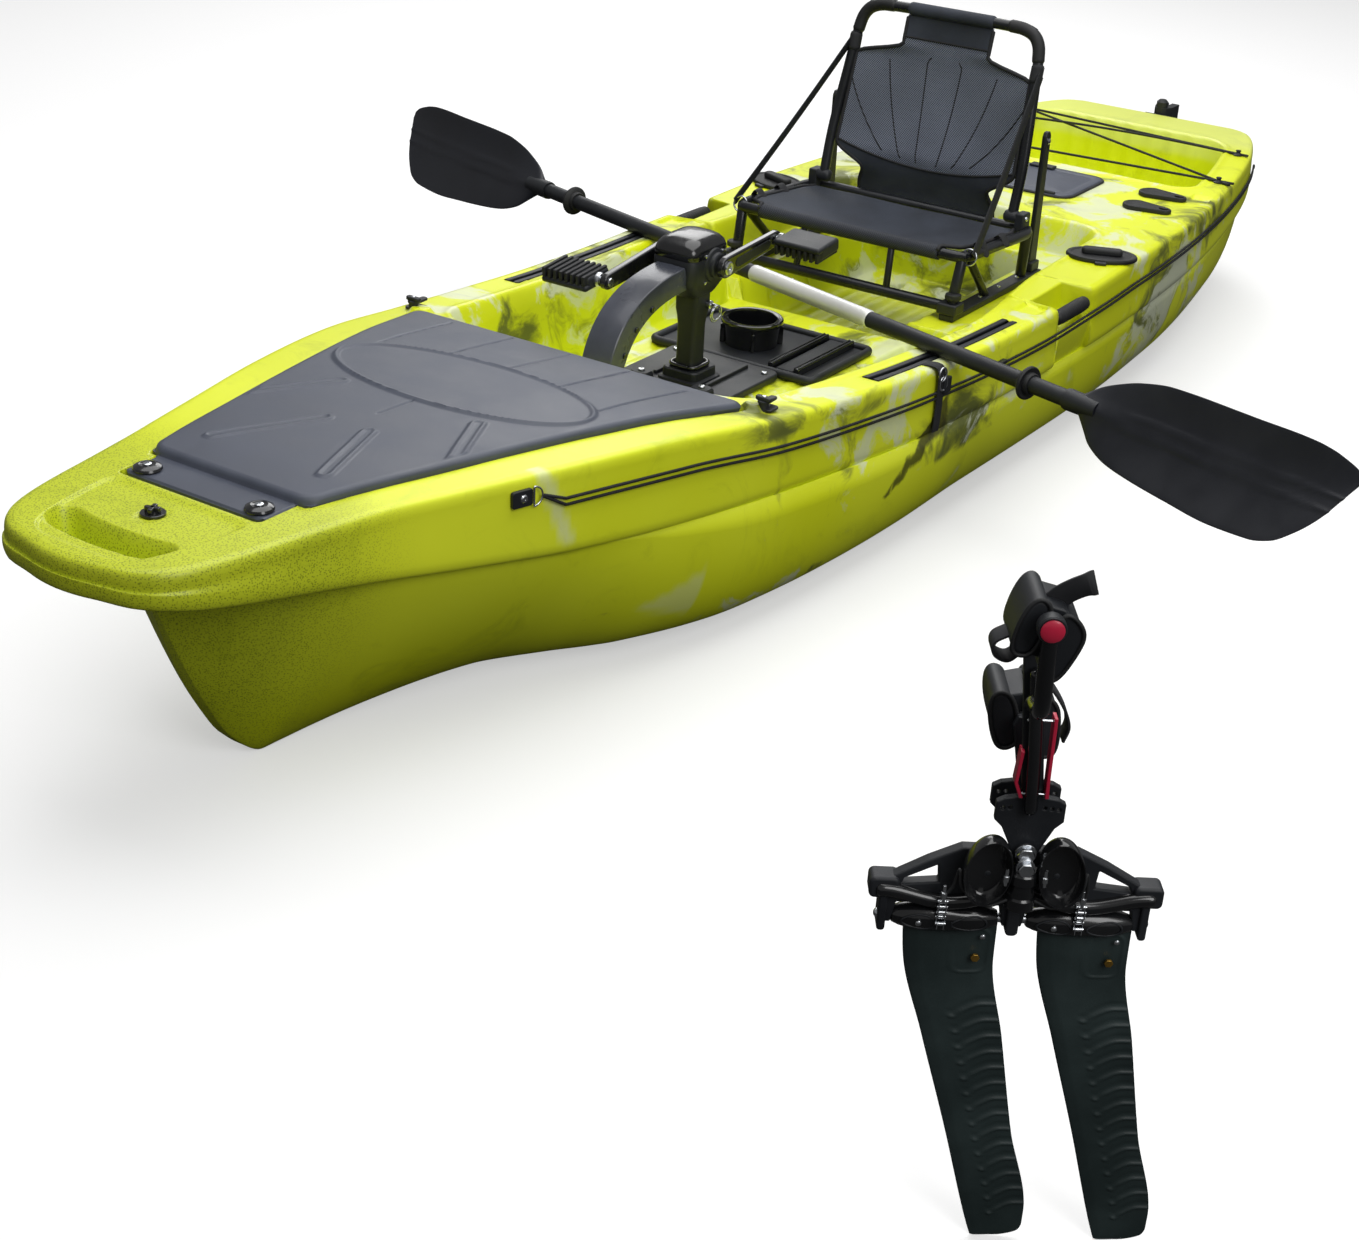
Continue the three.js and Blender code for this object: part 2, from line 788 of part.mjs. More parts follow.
function carryHandle(side) {
  const pivot = handlePivot(side);
  const half = HANDLE.gripLength / 2;
  const x = pivot.x + side * HANDLE.reach * Math.cos(HANDLE.restAngle);
  const z = pivot.z + HANDLE.reach * Math.sin(HANDLE.restAngle);
  const grip = turned([
    [0, -half],
    [HANDLE.grip - 4 * GAP, -half],
    [HANDLE.grip, -half * 0.6],
    [HANDLE.grip, half * 0.6],
    [HANDLE.grip - 4 * GAP, half],
    [0, half],
  ], 16).rotateX(Math.PI / 2).translate(x, pivot.y, z);
  const armEnd = half - HANDLE.armRadius;
  const arms = [-1, 1].map((end) => strut(
    vec(x, pivot.y + end * armEnd, z),
    vec(pivot.x, pivot.y + end * armEnd, pivot.z),
    HANDLE.armRadius,
  ));
  const reach = half + HANDLE.pinLength;
  const pins = [-1, 1].map((end) => {
    const [a, b] = [pivot.y + end * (armEnd - HANDLE.armRadius), pivot.y + end * reach];
    return barY(HANDLE.pin, Math.min(a, b), Math.max(a, b), pivot.x, pivot.z, 12);
  });
  return joined(grip, ...arms, ...pins);
}

// Oval caps over the rod tubes, each on a hinge at its forward end
const ROD_CAP = {
  length: 146,
  width: 96,
  thickness: 9,
  inset: 70,
  turn: 0.377,
  knobLength: 84,
  knobWidth: 24,
  knobHeight: 14,
  plugRadius: 26,
  plugDepth: 26,
  tube: 28,
};

function rodCapFrame(side) {
  const share = STATION_SHARES.rodCap;
  return vec(side * (gunwale(share) - ROD_CAP.inset), along(share), sheer(share));
}

function rodCap(side) {
  const place = rodCapFrame(side);
  const outline = roundedOutline(ROD_CAP.length, ROD_CAP.width, ROD_CAP.width / 2 - GAP);
  const knob = roundedOutline(ROD_CAP.knobLength, ROD_CAP.knobWidth, ROD_CAP.knobWidth / 2 - GAP);
  const lid = plate(outline, 0, ROD_CAP.thickness);
  const grip = plate(knob, ROD_CAP.thickness - GAP, ROD_CAP.thickness + ROD_CAP.knobHeight);
  const plug = barZ(ROD_CAP.plugRadius, -ROD_CAP.plugDepth, GAP, 0, 0, 20);
  return joined(lid, grip, plug)
    .rotateZ(side * ROD_CAP.turn)
    .rotateX(deckPitch(STATION_SHARES.rodCap))
    .translate(place.x, place.y, place.z);
}

function rodTube(side) {
  const place = rodCapFrame(side);
  return barZ(ROD_CAP.tube, place.z - ROD_CAP.plugDepth * 2, place.z + OVERRUN, place.x, place.y, 20);
}

// Two teardrop lids on each quarter, over the flush rod holders
const FLUSH_LID = {
  length: 112,
  width: 62,
  tip: 16,
  thickness: 10,
  inset: 142,
  hole: 21,
  plug: 19,
  plugDepth: 18,
};

function flushLidOutline() {
  const big = FLUSH_LID.width / 2;
  const reach = FLUSH_LID.length - big - FLUSH_LID.tip;
  const outline = [];
  for (let i = 0; i <= 8; i += 1) {
    const angle = Math.PI / 2 + (i / 8) * Math.PI;
    outline.push([big * Math.cos(angle), big * Math.sin(angle)]);
  }
  for (let i = 0; i <= 6; i += 1) {
    const angle = -Math.PI / 2 + (i / 6) * Math.PI;
    outline.push([reach + FLUSH_LID.tip * Math.cos(angle), FLUSH_LID.tip * Math.sin(angle)]);
  }
  return outline;
}

function flushLidPlace(side, share) {
  return vec(side * (gunwale(share) - FLUSH_LID.inset), along(share), sheer(share) + 2 * GAP);
}

function flushLid(side, share) {
  const place = flushLidPlace(side, share);
  const lid = plate(flushLidOutline(), 0, FLUSH_LID.thickness);
  const plug = barZ(FLUSH_LID.plug, -FLUSH_LID.plugDepth, GAP, 0, 0, 18);
  const turn = side > 0 ? 0 : Math.PI;
  return joined(lid, plug).rotateZ(turn).translate(...place);
}

function flushHole(side, share) {
  const place = flushLidPlace(side, share);
  return barZ(FLUSH_LID.hole, place.z - FLUSH_LID.plugDepth * 2, place.z + OVERRUN, place.x, place.y, 18);
}

// Where the hollow inside the hull starts and ends
const HOLLOW_SHARES = { front: 0.0075, body: 0.058, back: 0.9965 };

// The moulded hull: a shell, because the outer form is hollowed by a copy one wall smaller
function hull() {
  const bandShares = BAND_SHARES.map((row) => row[0]);
  const bodyShares = BODY_SHARES.map((row) => row[0]);
  const outer = toSolid(loft(bandShares.map((share) => bandRing(share, 0))))
    .add(toSolid(loft(bodyShares.map((share) => bodyRing(share, 0, 5)))));
  const ends = HOLLOW_SHARES;
  const inBand = bandShares.filter((share) => share > ends.front && share < ends.back);
  const inBody = bodyShares.filter((share) => share > ends.body && share < ends.back);
  const innerBand = [ends.front, ...inBand, ends.back].map((share) => bandRing(share, HULL.wall));
  const innerBody = [ends.body, ...inBody, ends.back].map((share) => bodyRing(share, HULL.wall, 4));
  let cavity = toSolid(loft(innerBand)).add(toSolid(loft(innerBody)));
  const wells = [...deckWells(HULL.wall), ...driveWell(HULL.wall), bowSlotCore()];
  wells.forEach((well) => {
    cavity = cavity.subtract(toSolid(well));
  });
  let shell = outer;
  const cuts = [
    ...deckWells(0),
    ...driveWell(0),
    ...hatchCuts(),
    ...bowCuts(),
    ...[PORT, STARBOARD].flatMap((side) => hullSideCuts(side)),
  ];
  shell = shell.subtract(cavity.subtract(recessCores()));
  cuts.forEach((tool) => {
    shell = shell.subtract(toSolid(tool));
  });
  return toGeometry(shell);
}

function hullSideCuts(side) {
  const s = STATION_SHARES;
  return [
    trackGroove(side),
    ...handleRecess(side),
    rodTube(side),
    flushHole(side, s.flushLidFront),
    flushHole(side, s.flushLidBack),
  ];
}

// Solid stock round the bow slot, so that the slot has walls
function bowSlotCore() {
  const wall = HULL.wall;
  const outline = roundedOutline(
    2 * (BOW.slotHalf + wall),
    BOW.slotWidth + 2 * wall,
    BOW.slotWidth / 2 + wall - GAP,
    0,
    along(STATION_SHARES.handleSlot),
  );
  return plate(outline, 0, HULL.depth + OVERRUN);
}

// Solid stock behind the recesses that are cut into the gunwale and the hatch seats
function recessCores() {
  const wall = HULL.wall;
  const s = STATION_SHARES;
  const solids = [PORT, STARBOARD].flatMap((side) => {
    const { matrix, length } = trackPlacement(side);
    const pivot = handlePivot(side);
    const half = HANDLE.gripLength / 2 + HANDLE.margin + HANDLE.pinLength + wall;
    const outer = gunwale(s.carryHandle);
    const top = sheer(s.carryHandle);
    const inner = outer - HANDLE.recess - wall;
    const [x0, x1] = side > 0 ? [inner, outer] : [-outer, -inner];
    return [
      box(TRACK.width + 2 * wall, length + 2 * wall, 2 * (TRACK.depth + wall)).applyMatrix4(matrix),
      span(x0, x1, pivot.y - half, pivot.y + half, top - HANDLE.recessDepth - wall, top),
    ];
  });
  const seat = lidSkirt(wall + 2 * GAP, -HATCH.seat - wall, OVERRUN);
  const room = hingeRoom(wall);
  const rear = rearHatchPlate(wall, REAR_DECK - REAR_HATCH.seat - wall, REAR_DECK + OVERRUN);
  const top = sheer(s.drain);
  const drain = barZ(BOW.drainSeat + wall, top - BOW.drainDepth - wall, top, 0, along(s.drain));
  const all = [...solids, seat, room, rear, drain].map(toSolid);
  return all.slice(1).reduce((sum, next) => sum.add(next), all[0]);
}

// Pedal drive

const DRIVE = {
  axleHeight: 484,
  axleLead: 10,
  boxHalf: 46,
  boxFront: 66,
  boxBack: 52,
  boxFloor: 424,
  boxSplit: 500,
  boxTop: 536,
  boxWall: 6,
  mastHalf: 24,
  mastFront: 26,
  mastBack: 24,
  mastFoot: 30,
  shaft: 7,
  shaftRoom: 2,
  shaftTop: 458,
  shaftFoot: 96,
  pinionRadius: 14,
  pinionHeight: 14,
  spindle: 10,
  spindleReach: 76,
  bossReach: 58,
  gearRadius: 22,
  gearOffset: 8,
  gearThickness: 10,
};

const LEG = {
  pivotHeight: 54,
  pin: 7,
  pinHalf: 24,
  radius: 13,
  length: 330,
  caseRadius: 24,
  cheek: 9,
};

const PROP = {
  radius: 138,
  hub: 19,
  hubTop: 34,
  hubFoot: 8,
  bladeWidth: 62,
  bladeThickness: 5,
  bladeHeight: 20,
};

const CRANK = {
  length: 166,
  inner: 62,
  thickness: 14,
  eye: 17,
  pedalPin: 7,
  pedalPinReach: 104,
  tilt: 0.1,
};

const PEDAL = {
  width: 98,
  length: 74,
  thickness: 28,
  start: 12,
  groove: 6,
  grooveCount: 6,
  grooveDepth: 5,
};

const MAST_Y = along(STATION_SHARES.mast);
const AXLE = vec(0, MAST_Y - DRIVE.axleLead, DRIVE.axleHeight);

// Square-sided tube that carries the gearbox, with a fork for the leg at its foot
function driveMast() {
  const tubeBody = span(
    -DRIVE.mastHalf,
    DRIVE.mastHalf,
    MAST_Y - DRIVE.mastFront,
    MAST_Y + DRIVE.mastBack,
    DRIVE.mastFoot,
    DRIVE.boxFloor - GAP,
  );
  const bore = barZ(DRIVE.shaft + DRIVE.shaftRoom, DRIVE.mastFoot, DRIVE.boxFloor, 0, AXLE.y, 16);
  const gap = DRIVE.mastHalf - LEG.cheek;
  const fork = span(
    -gap,
    gap,
    MAST_Y - DRIVE.mastFront - OVERRUN,
    MAST_Y + DRIVE.mastBack + OVERRUN,
    0,
    LEG.pivotHeight + LEG.radius + LEG.cheek,
  );
  const reach = DRIVE.mastHalf + OVERRUN;
  const pin = barX(LEG.pin + GAP, -reach, reach, MAST_Y, LEG.pivotHeight, 16);
  const grip = DRIVE.mastHalf - QUICK.waist;
  const depth = 2 * OVERRUN + DRIVE.mastFront + DRIVE.mastBack;
  const waist = [-1, 1].map((side) => {
    const x = side * (DRIVE.mastHalf - grip / 2 + GAP);
    return box(grip, depth, QUICK.waistHeight, x, MAST_Y, QUICK.waistZ);
  });
  const hole = barX(QUICK.pin + GAP, -DRIVE.mastHalf, DRIVE.mastHalf, pinY(), QUICK.pinZ, 14);
  return cut(tubeBody, bore, fork, pin, ...waist, hole);
}

// Quick-release pin with its pull ring, through the side of the mast below the gearbox
const QUICK = {
  pin: 4,
  pinZ: 400,
  start: 10,
  reach: 44,
  ring: 15,
  ringWire: 2,
  waist: 20,
  waistHeight: 96,
  waistZ: 330,
};

function pinY() {
  return MAST_Y + DRIVE.mastBack / 2;
}

function quickReleasePin() {
  const y = pinY();
  const shank = barX(QUICK.pin, QUICK.start, QUICK.reach, y, QUICK.pinZ, 12);
  const start = DRIVE.mastHalf + GAP;
  const collar = barX(QUICK.pin * 2, start, start + QUICK.pin * 2, y, QUICK.pinZ, 14);
  const ring = new THREE.TorusGeometry(QUICK.ring, QUICK.ringWire, 8, 20)
    .rotateY(Math.PI / 2)
    .translate(QUICK.reach - QUICK.ringWire, y, QUICK.pinZ - QUICK.ring);
  return joined(shank, collar, ring);
}

function gearboxHousing() {
  const outline = [
    [-DRIVE.boxFront, DRIVE.boxFloor + DRIVE.boxWall * 4],
    [-DRIVE.mastFront - DRIVE.boxWall, DRIVE.boxFloor],
    [DRIVE.mastBack + DRIVE.boxWall, DRIVE.boxFloor],
    [DRIVE.boxBack, DRIVE.boxFloor + DRIVE.boxWall * 5],
    [DRIVE.boxBack, DRIVE.boxSplit],
    [-DRIVE.boxFront, DRIVE.boxSplit],
  ].map(([y, z]) => [AXLE.y + y, z]);
  const body = standingPlate(outline, -DRIVE.boxHalf, DRIVE.boxHalf);
  const wall = DRIVE.boxWall;
  const room = span(
    -DRIVE.boxHalf + wall,
    DRIVE.boxHalf - wall,
    AXLE.y - DRIVE.boxFront + 3 * wall,
    AXLE.y + DRIVE.boxBack - 3 * wall,
    DRIVE.boxFloor + 3 * wall,
    DRIVE.boxSplit + OVERRUN,
  );
  const boss = barX(DRIVE.gearRadius, -DRIVE.bossReach, DRIVE.bossReach, AXLE.y, AXLE.z);
  const bore = barX(DRIVE.spindle + GAP, -2 * DRIVE.boxHalf, 2 * DRIVE.boxHalf, AXLE.y, AXLE.z);
  const shaftHole = barZ(DRIVE.shaft + GAP, DRIVE.boxFloor - OVERRUN, AXLE.z, 0, AXLE.y, 16);
  return cut(joined(body, boss), room, bore, shaftHole);
}

// Hood over the gears, round at its front and top
function gearboxCover() {
  const [front, back] = [AXLE.y - DRIVE.boxFront, AXLE.y + DRIVE.boxBack];
  const rise = DRIVE.boxTop - DRIVE.boxSplit;
  const base = DRIVE.boxSplit + GAP;
  const outline = [
    [front, base],
    [back, base],
    [back, base + rise * 0.35],
    [back - rise * 0.45, base + rise * 0.85],
    [back - rise * 1.1, base + rise],
    [front + rise * 0.9, base + rise * 0.92],
    [front + rise * 0.25, base + rise * 0.6],
    [front, base + rise * 0.2],
  ];
  const body = standingPlate(outline, -DRIVE.boxHalf, DRIVE.boxHalf);
  const wall = DRIVE.boxWall;
  const room = span(
    -DRIVE.boxHalf + wall,
    DRIVE.boxHalf - wall,
    front + 2 * wall,
    back - 3 * wall,
    base - OVERRUN,
    base + rise * 0.45,
  );
  const boss = barX(DRIVE.gearRadius + GAP, -DRIVE.bossReach, DRIVE.bossReach, AXLE.y, AXLE.z);
  return cut(body, room, boss);
}

function crankSpindle() {
  const shaft = barX(DRIVE.spindle, -DRIVE.spindleReach, DRIVE.spindleReach, AXLE.y, AXLE.z);
  const gear = new THREE.CylinderGeometry(
    DRIVE.gearRadius - DRIVE.gearThickness,
    DRIVE.gearRadius,
    DRIVE.gearThickness,
    24,
  ).rotateZ(Math.PI / 2).translate(DRIVE.gearRadius + DRIVE.gearOffset / 2, AXLE.y, AXLE.z);
  return joined(shaft, gear);
}

function driveShaft() {
  const shaft = barZ(DRIVE.shaft, DRIVE.shaftFoot, DRIVE.shaftTop, 0, AXLE.y, 16);
  const top = AXLE.z - DRIVE.gearRadius - GAP;
  const pinion = turned([
    [0, top - DRIVE.pinionHeight],
    [DRIVE.pinionRadius, top - DRIVE.pinionHeight],
    [DRIVE.shaft + GAP, top],
    [0, top],
  ], 20).translate(0, AXLE.y, 0);
  return joined(shaft, pinion);
}

function crankArm(side) {
  const angle = side > 0 ? CRANK.tilt : Math.PI + CRANK.tilt;
  const far = vec(0, CRANK.length * Math.cos(angle), CRANK.length * Math.sin(angle));
  const direction = far.clone().normalize();
  const normal = vec(0, -direction.z, direction.y);
  const outline = [];
  const ends = [[0, CRANK.eye * 1.15, Math.PI / 2], [1, CRANK.eye * 0.85, -Math.PI / 2]];
  ends.forEach(([end, radius, start]) => {
    for (let i = 0; i <= 6; i += 1) {
      const turn = start + (i / 6) * Math.PI;
      const p = far.clone().multiplyScalar(end)
        .addScaledVector(direction, radius * Math.cos(turn))
        .addScaledVector(normal, radius * Math.sin(turn));
      outline.push([AXLE.y + p.y, AXLE.z + p.z]);
    }
  });
  const inner = CRANK.inner;
  const [x0, x1] = side > 0 ? [inner, inner + CRANK.thickness] : [-inner - CRANK.thickness, -inner];
  const eye = barX(DRIVE.spindle + GAP, x0 - OVERRUN, x1 + OVERRUN, AXLE.y, AXLE.z);
  const arm = cut(standingPlate(outline, x0, x1), eye);
  const tip = vec(side * inner, AXLE.y + far.y, AXLE.z + far.z);
  const reach = side * (inner + CRANK.pedalPinReach);
  return joined(arm, barX(CRANK.pedalPin, Math.min(tip.x, reach), Math.max(tip.x, reach), tip.y, tip.z, 16));
}

function pedalPlace(side) {
  const angle = side > 0 ? CRANK.tilt : Math.PI + CRANK.tilt;
  return vec(
    side * (CRANK.inner + CRANK.thickness + PEDAL.start),
    AXLE.y + CRANK.length * Math.cos(angle),
    AXLE.z + CRANK.length * Math.sin(angle),
  );
}

// Pedal block with grooves across both treads; its outline lies across and through the tread
function pedal(side, tilt) {
  const pitch = PEDAL.width / PEDAL.grooveCount;
  const half = PEDAL.thickness / 2;
  const low = half - PEDAL.grooveDepth;
  const top = [];
  for (let i = 0; i < PEDAL.grooveCount; i += 1) {
    const x = i * pitch + (pitch - PEDAL.groove) / 2;
    top.push([x, half], [x, low], [x + PEDAL.groove, low], [x + PEDAL.groove, half]);
  }
  const bottom = top.slice().reverse().map(([x, z]) => [x, -z]);
  const outline = [[0, half], ...top, [PEDAL.width, half], [PEDAL.width, -half], ...bottom, [0, -half]];
  const shape = outline.slice().reverse();
  const block = plate(shape, -PEDAL.length / 2, PEDAL.length / 2).rotateX(Math.PI / 2);
  const bore = barX(CRANK.pedalPin + GAP, -OVERRUN, CRANK.pedalPinReach - CRANK.thickness, 0, 0, 16);
  const place = pedalPlace(side);
  return cut(block, bore)
    .rotateX(tilt)
    .rotateY(side > 0 ? 0 : Math.PI)
    .translate(...place);
}

// Guard that arches from the gearbox down to the front of the cockpit, hollow on its underside
const GUARD = {
  half: 31,
  depth: 42,
  skin: 7,
  wallRoom: 21.06,
  rise: 246,
};

const GUARD_POWER_SHARE = 0.667;
const GUARD_SWEEP_SHARE = 0.83;

function guardCurve(inset, steps) {
  const base = LEVEL.plinth + GAP;
  const reach = AXLE.y - along(STATION_SHARES.cockpitFront) - GUARD.wallRoom;
  const points = [];
  for (let i = 0; i <= steps; i += 1) {
    const angle = GUARD_SWEEP_SHARE * (Math.PI / 2) * (i / steps);
    points.push([
      AXLE.y - (reach - inset) * Math.cos(angle) ** GUARD_POWER_SHARE,
      base + (GUARD.rise - inset) * Math.sin(angle) ** GUARD_POWER_SHARE,
    ]);
  }
  return points;
}

function archGuard() {
  const outer = guardCurve(0, 16);
  const inner = guardCurve(GUARD.depth, 16);
  const body = standingPlate([...outer, ...inner.reverse()], -GUARD.half, GUARD.half);
  const hollowOuter = guardCurve(GUARD.skin, 14).slice(1);
  const hollowInner = guardCurve(GUARD.depth + OVERRUN, 14).slice(1);
  const channel = standingPlate(
    [...hollowOuter, ...hollowInner.reverse()],
    -GUARD.half + GUARD.skin,
    GUARD.half - GUARD.skin,
  );
  const clearance = span(
    -2 * GUARD.half,
    2 * GUARD.half,
    AXLE.y - DRIVE.boxFront - GAP,
    AXLE.y + 2 * DRIVE.boxFront,
    LEVEL.plinth,
    DRIVE.boxTop + OVERRUN,
  );
  return cut(body, channel, clearance);
}

const CONSOLE = {
  front: 118,
  back: 132,
  half: 118,
  thickness: 14,
  corner: 18,
  collarHalf: 38,
  collarHeight: 22,
  trayBack: 376,
  trayHalf: 186,
  trayWall: 16,
  trayDepth: 8,
  rail: 12,
};

function mastHole(grow) {
  return span(
    -DRIVE.mastHalf - grow,
    DRIVE.mastHalf + grow,
    MAST_Y - DRIVE.mastFront - grow,
    MAST_Y + DRIVE.mastBack + grow,
    0,
    HULL.depth,
  );
}

function basePlate() {
  const z0 = LEVEL.plinth + GAP;
  const middle = MAST_Y + (CONSOLE.back - CONSOLE.front) / 2;
  const outline = roundedOutline(2 * CONSOLE.half, CONSOLE.front + CONSOLE.back, CONSOLE.corner, 0, middle);
  const flat = plate(outline, z0, z0 + CONSOLE.thickness);
  const collar = plate(
    roundedOutline(2 * CONSOLE.collarHalf, 2 * CONSOLE.collarHalf, CONSOLE.corner / 2, 0, MAST_Y),
    z0,
    z0 + CONSOLE.thickness + CONSOLE.collarHeight,
  );
  const lugs = [-1, 1].map((side) => barX(
    CONSOLE.rail,
    Math.min(side * CONSOLE.collarHalf, side * CONSOLE.half * 0.72),
    Math.max(side * CONSOLE.collarHalf, side * CONSOLE.half * 0.72),
    MAST_Y - CONSOLE.front / 2,
    z0 + CONSOLE.thickness,
    12,
  ));
  return cut(joined(flat, collar, ...lugs), mastHole(GAP));
}

function consoleTray() {
  const z0 = LEVEL.plinth + GAP;
  const front = MAST_Y + CONSOLE.back + GAP;
  const back = MAST_Y + CONSOLE.trayBack;
  const middle = (front + back) / 2;
  const outline = roundedOutline(2 * CONSOLE.trayHalf, back - front, CONSOLE.corner, 0, middle);
  const body = plate(outline, z0, z0 + CONSOLE.thickness);
  const inside = roundedOutline(
    2 * (CONSOLE.trayHalf - CONSOLE.trayWall),
    back - front - 2 * CONSOLE.trayWall,
    CONSOLE.corner / 2,
    0,
    middle,
  );
  const hollow = plate(inside, z0 + CONSOLE.thickness - CONSOLE.trayDepth, z0 + CONSOLE.thickness + OVERRUN);
  const floor = z0 + CONSOLE.thickness - CONSOLE.trayDepth;
  const rails = [0.42, 0.72].map((offset) => span(
    CONSOLE.trayHalf * offset,
    CONSOLE.trayHalf * offset + CONSOLE.rail,
    front + CONSOLE.trayWall,
    back - CONSOLE.trayWall,
    floor - GAP,
    floor + CONSOLE.trayDepth + CONSOLE.rail / 2,
  ));
  return joined(cut(body, hollow), ...rails);
}

const CUP = {
  outer: 56,
  inner: 47,
  height: 52,
  floor: 5,
  lip: 60,
  x: -22,
};

function cupHolder() {
  const z0 = LEVEL.plinth + GAP + CONSOLE.thickness - CONSOLE.trayDepth + GAP;
  return turned([
    [0, z0],
    [CUP.outer - CUP.floor, z0],
    [CUP.outer, z0 + CUP.height * 0.75],
    [CUP.lip, z0 + CUP.height * 0.85],
    [CUP.lip, z0 + CUP.height],
    [CUP.inner, z0 + CUP.height],
    [CUP.inner - CUP.floor, z0 + CUP.floor],
    [0, z0 + CUP.floor],
  ], 28).translate(CUP.x, along(STATION_SHARES.cup), 0);
}

// Folding leg: a pivot eye, a tube and the gear case that carries the propeller
function driveLeg() {
  const eyeHalf = DRIVE.mastHalf - LEG.cheek - GAP;
  const eye = barX(LEG.radius, -eyeHalf, eyeHalf, MAST_Y, LEG.pivotHeight);
  const pin = barX(LEG.pin, -LEG.pinHalf, LEG.pinHalf, MAST_Y, LEG.pivotHeight, 16);
  const end = MAST_Y + LEG.length;
  const stem = barY(LEG.radius, MAST_Y, end, 0, LEG.pivotHeight, 14);
  const caseTop = LEG.pivotHeight + LEG.radius + LEG.cheek;
  const gearCase = turned([
    [0, PROP.hubTop + GAP],
    [LEG.caseRadius - LEG.cheek, PROP.hubTop + GAP],
    [LEG.caseRadius, LEG.pivotHeight],
    [LEG.caseRadius - LEG.cheek, caseTop - LEG.cheek / 2],
    [0, caseTop],
  ], 20).translate(0, end, 0);
  const bore = barZ(LEG.pin + GAP, 0, LEG.pivotHeight, 0, end, 14);
  return cut(joined(eye, pin, stem, gearCase), bore);
}

// Two-bladed propeller that turns about Z while the leg is folded
function propeller() {
  const end = MAST_Y + LEG.length;
  const hub = turned([
    [0, PROP.hubFoot],
    [PROP.hub * 0.6, PROP.hubFoot + GAP],
    [PROP.hub, PROP.hubFoot + PROP.hub * 0.5],
    [PROP.hub, PROP.hubTop],
    [LEG.pin, PROP.hubTop],
    [LEG.pin, LEG.pivotHeight - GAP],
    [0, LEG.pivotHeight - GAP],
  ], 20);
  const blades = [0, Math.PI].map((turn) => loft([0.08, 0.35, 0.65, 0.9, 1].map((reach) => {
    const widths = { 0.08: 0.45, 0.35: 0.95, 0.65: 1, 0.9: 0.62, 1: 0.18 };
    const twist = 0.5 - 0.32 * reach;
    const half = (PROP.bladeWidth * widths[reach]) / 2;
    const thick = PROP.bladeThickness / 2;
    return [[-half, 0], [0, thick], [half, 0], [0, -thick]].map(([u, v]) => vec(
      PROP.radius * reach,
      u * Math.cos(twist) - v * Math.sin(twist),
      PROP.bladeHeight + u * Math.sin(twist) + v * Math.cos(twist),
    ));
  })).rotateZ(turn));
  return joined(hub, ...blades).translate(0, end, 0);
}

// Seat

const SEAT = {
  tube: 11,
  half: 262,
  frontHeight: 408,
  backHeight: 396,
  depth: 300,
  footInset: 12,
  footLead: 18,
  footHeight: 14,
  railHalf: 16,
  railLength: 390,
  backHalf: 224,
  backTopHalf: 208,
  pivotRise: 28,
  pivotBack: 281,
  recline: 0.228,
  backLength: 368,
  bend: 52,
  postBack: 352,
  postWidth: 24,
  postThickness: 10,
  postHeight: 300,
  postGap: 7,
};

const SEAT_Y = along(STATION_SHARES.seat);

// A frame of tubes: a rail foot, a front and a rear post and a cross bar on each side
function seatBaseFrame() {
  const r = SEAT.tube;
  const foot = LEVEL.ledge + GAP;
  const y0 = SEAT_Y;
  const y1 = SEAT_Y + SEAT.depth;
  const footX = SEAT.half - SEAT.footInset;
  const sides = [PORT, STARBOARD].flatMap((side) => {
    const top0 = vec(side * SEAT.half, y0, SEAT.frontHeight);
    const top1 = vec(side * SEAT.half, y1, SEAT.backHeight);
    const foot0 = vec(side * footX, y0 - SEAT.footLead, foot + SEAT.footHeight);
    const foot1 = vec(side * footX, y1, foot + SEAT.footHeight);
    const brace = vec(side * footX, y0 + SEAT.depth * 0.45, foot + SEAT.footHeight);
    const x0 = side * footX - SEAT.railHalf;
    const rail = span(
      x0,
      x0 + 2 * SEAT.railHalf,
      y0 - SEAT.footLead - SEAT.railHalf,
      y0 - SEAT.footLead + SEAT.railLength,
      foot,
      foot + SEAT.footHeight,
    );
    return [
      strut(top0, top1, r),
      strut(top0, foot0, r),
      strut(top1, foot1, r),
      strut(top0, brace, r * 0.8),
      rail,
    ];
  });
  const posts = [PORT, STARBOARD].map((side) => seatPost(side));
  const bars = [
    strut(vec(-SEAT.half, y0, SEAT.frontHeight), vec(SEAT.half, y0, SEAT.frontHeight), r),
    strut(vec(-SEAT.half, y1, SEAT.backHeight), vec(SEAT.half, y1, SEAT.backHeight), r),
    strut(
      vec(-footX, y0 - SEAT.footLead, foot + SEAT.footHeight + r),
      vec(footX, y0 - SEAT.footLead, foot + SEAT.footHeight + r),
      r,
    ),
  ];
  const pivots = [PORT, STARBOARD].map((side) => pivotLug(side));
  const holes = [PORT, STARBOARD].map((side) => pivotHole(side));
  return cut(joined(...sides, ...posts, ...bars, ...pivots), ...holes);
}

// Flat post at the back end of each rail, beside the back frame
function seatPost(side) {
  const foot = LEVEL.ledge + GAP + SEAT.footHeight / 2;
  const inner = SEAT.backHalf + SEAT.tube + SEAT.postGap;
  const y = SEAT_Y + SEAT.postBack;
  const [x0, x1] = side > 0 ? [inner, inner + SEAT.postThickness] : [-inner - SEAT.postThickness, -inner];
  return span(x0, x1, y - SEAT.postWidth / 2, y + SEAT.postWidth / 2, foot, foot + SEAT.postHeight);
}

function pivotPoint() {
  return vec(0, SEAT_Y + SEAT.pivotBack, SEAT.backHeight + SEAT.pivotRise);
}

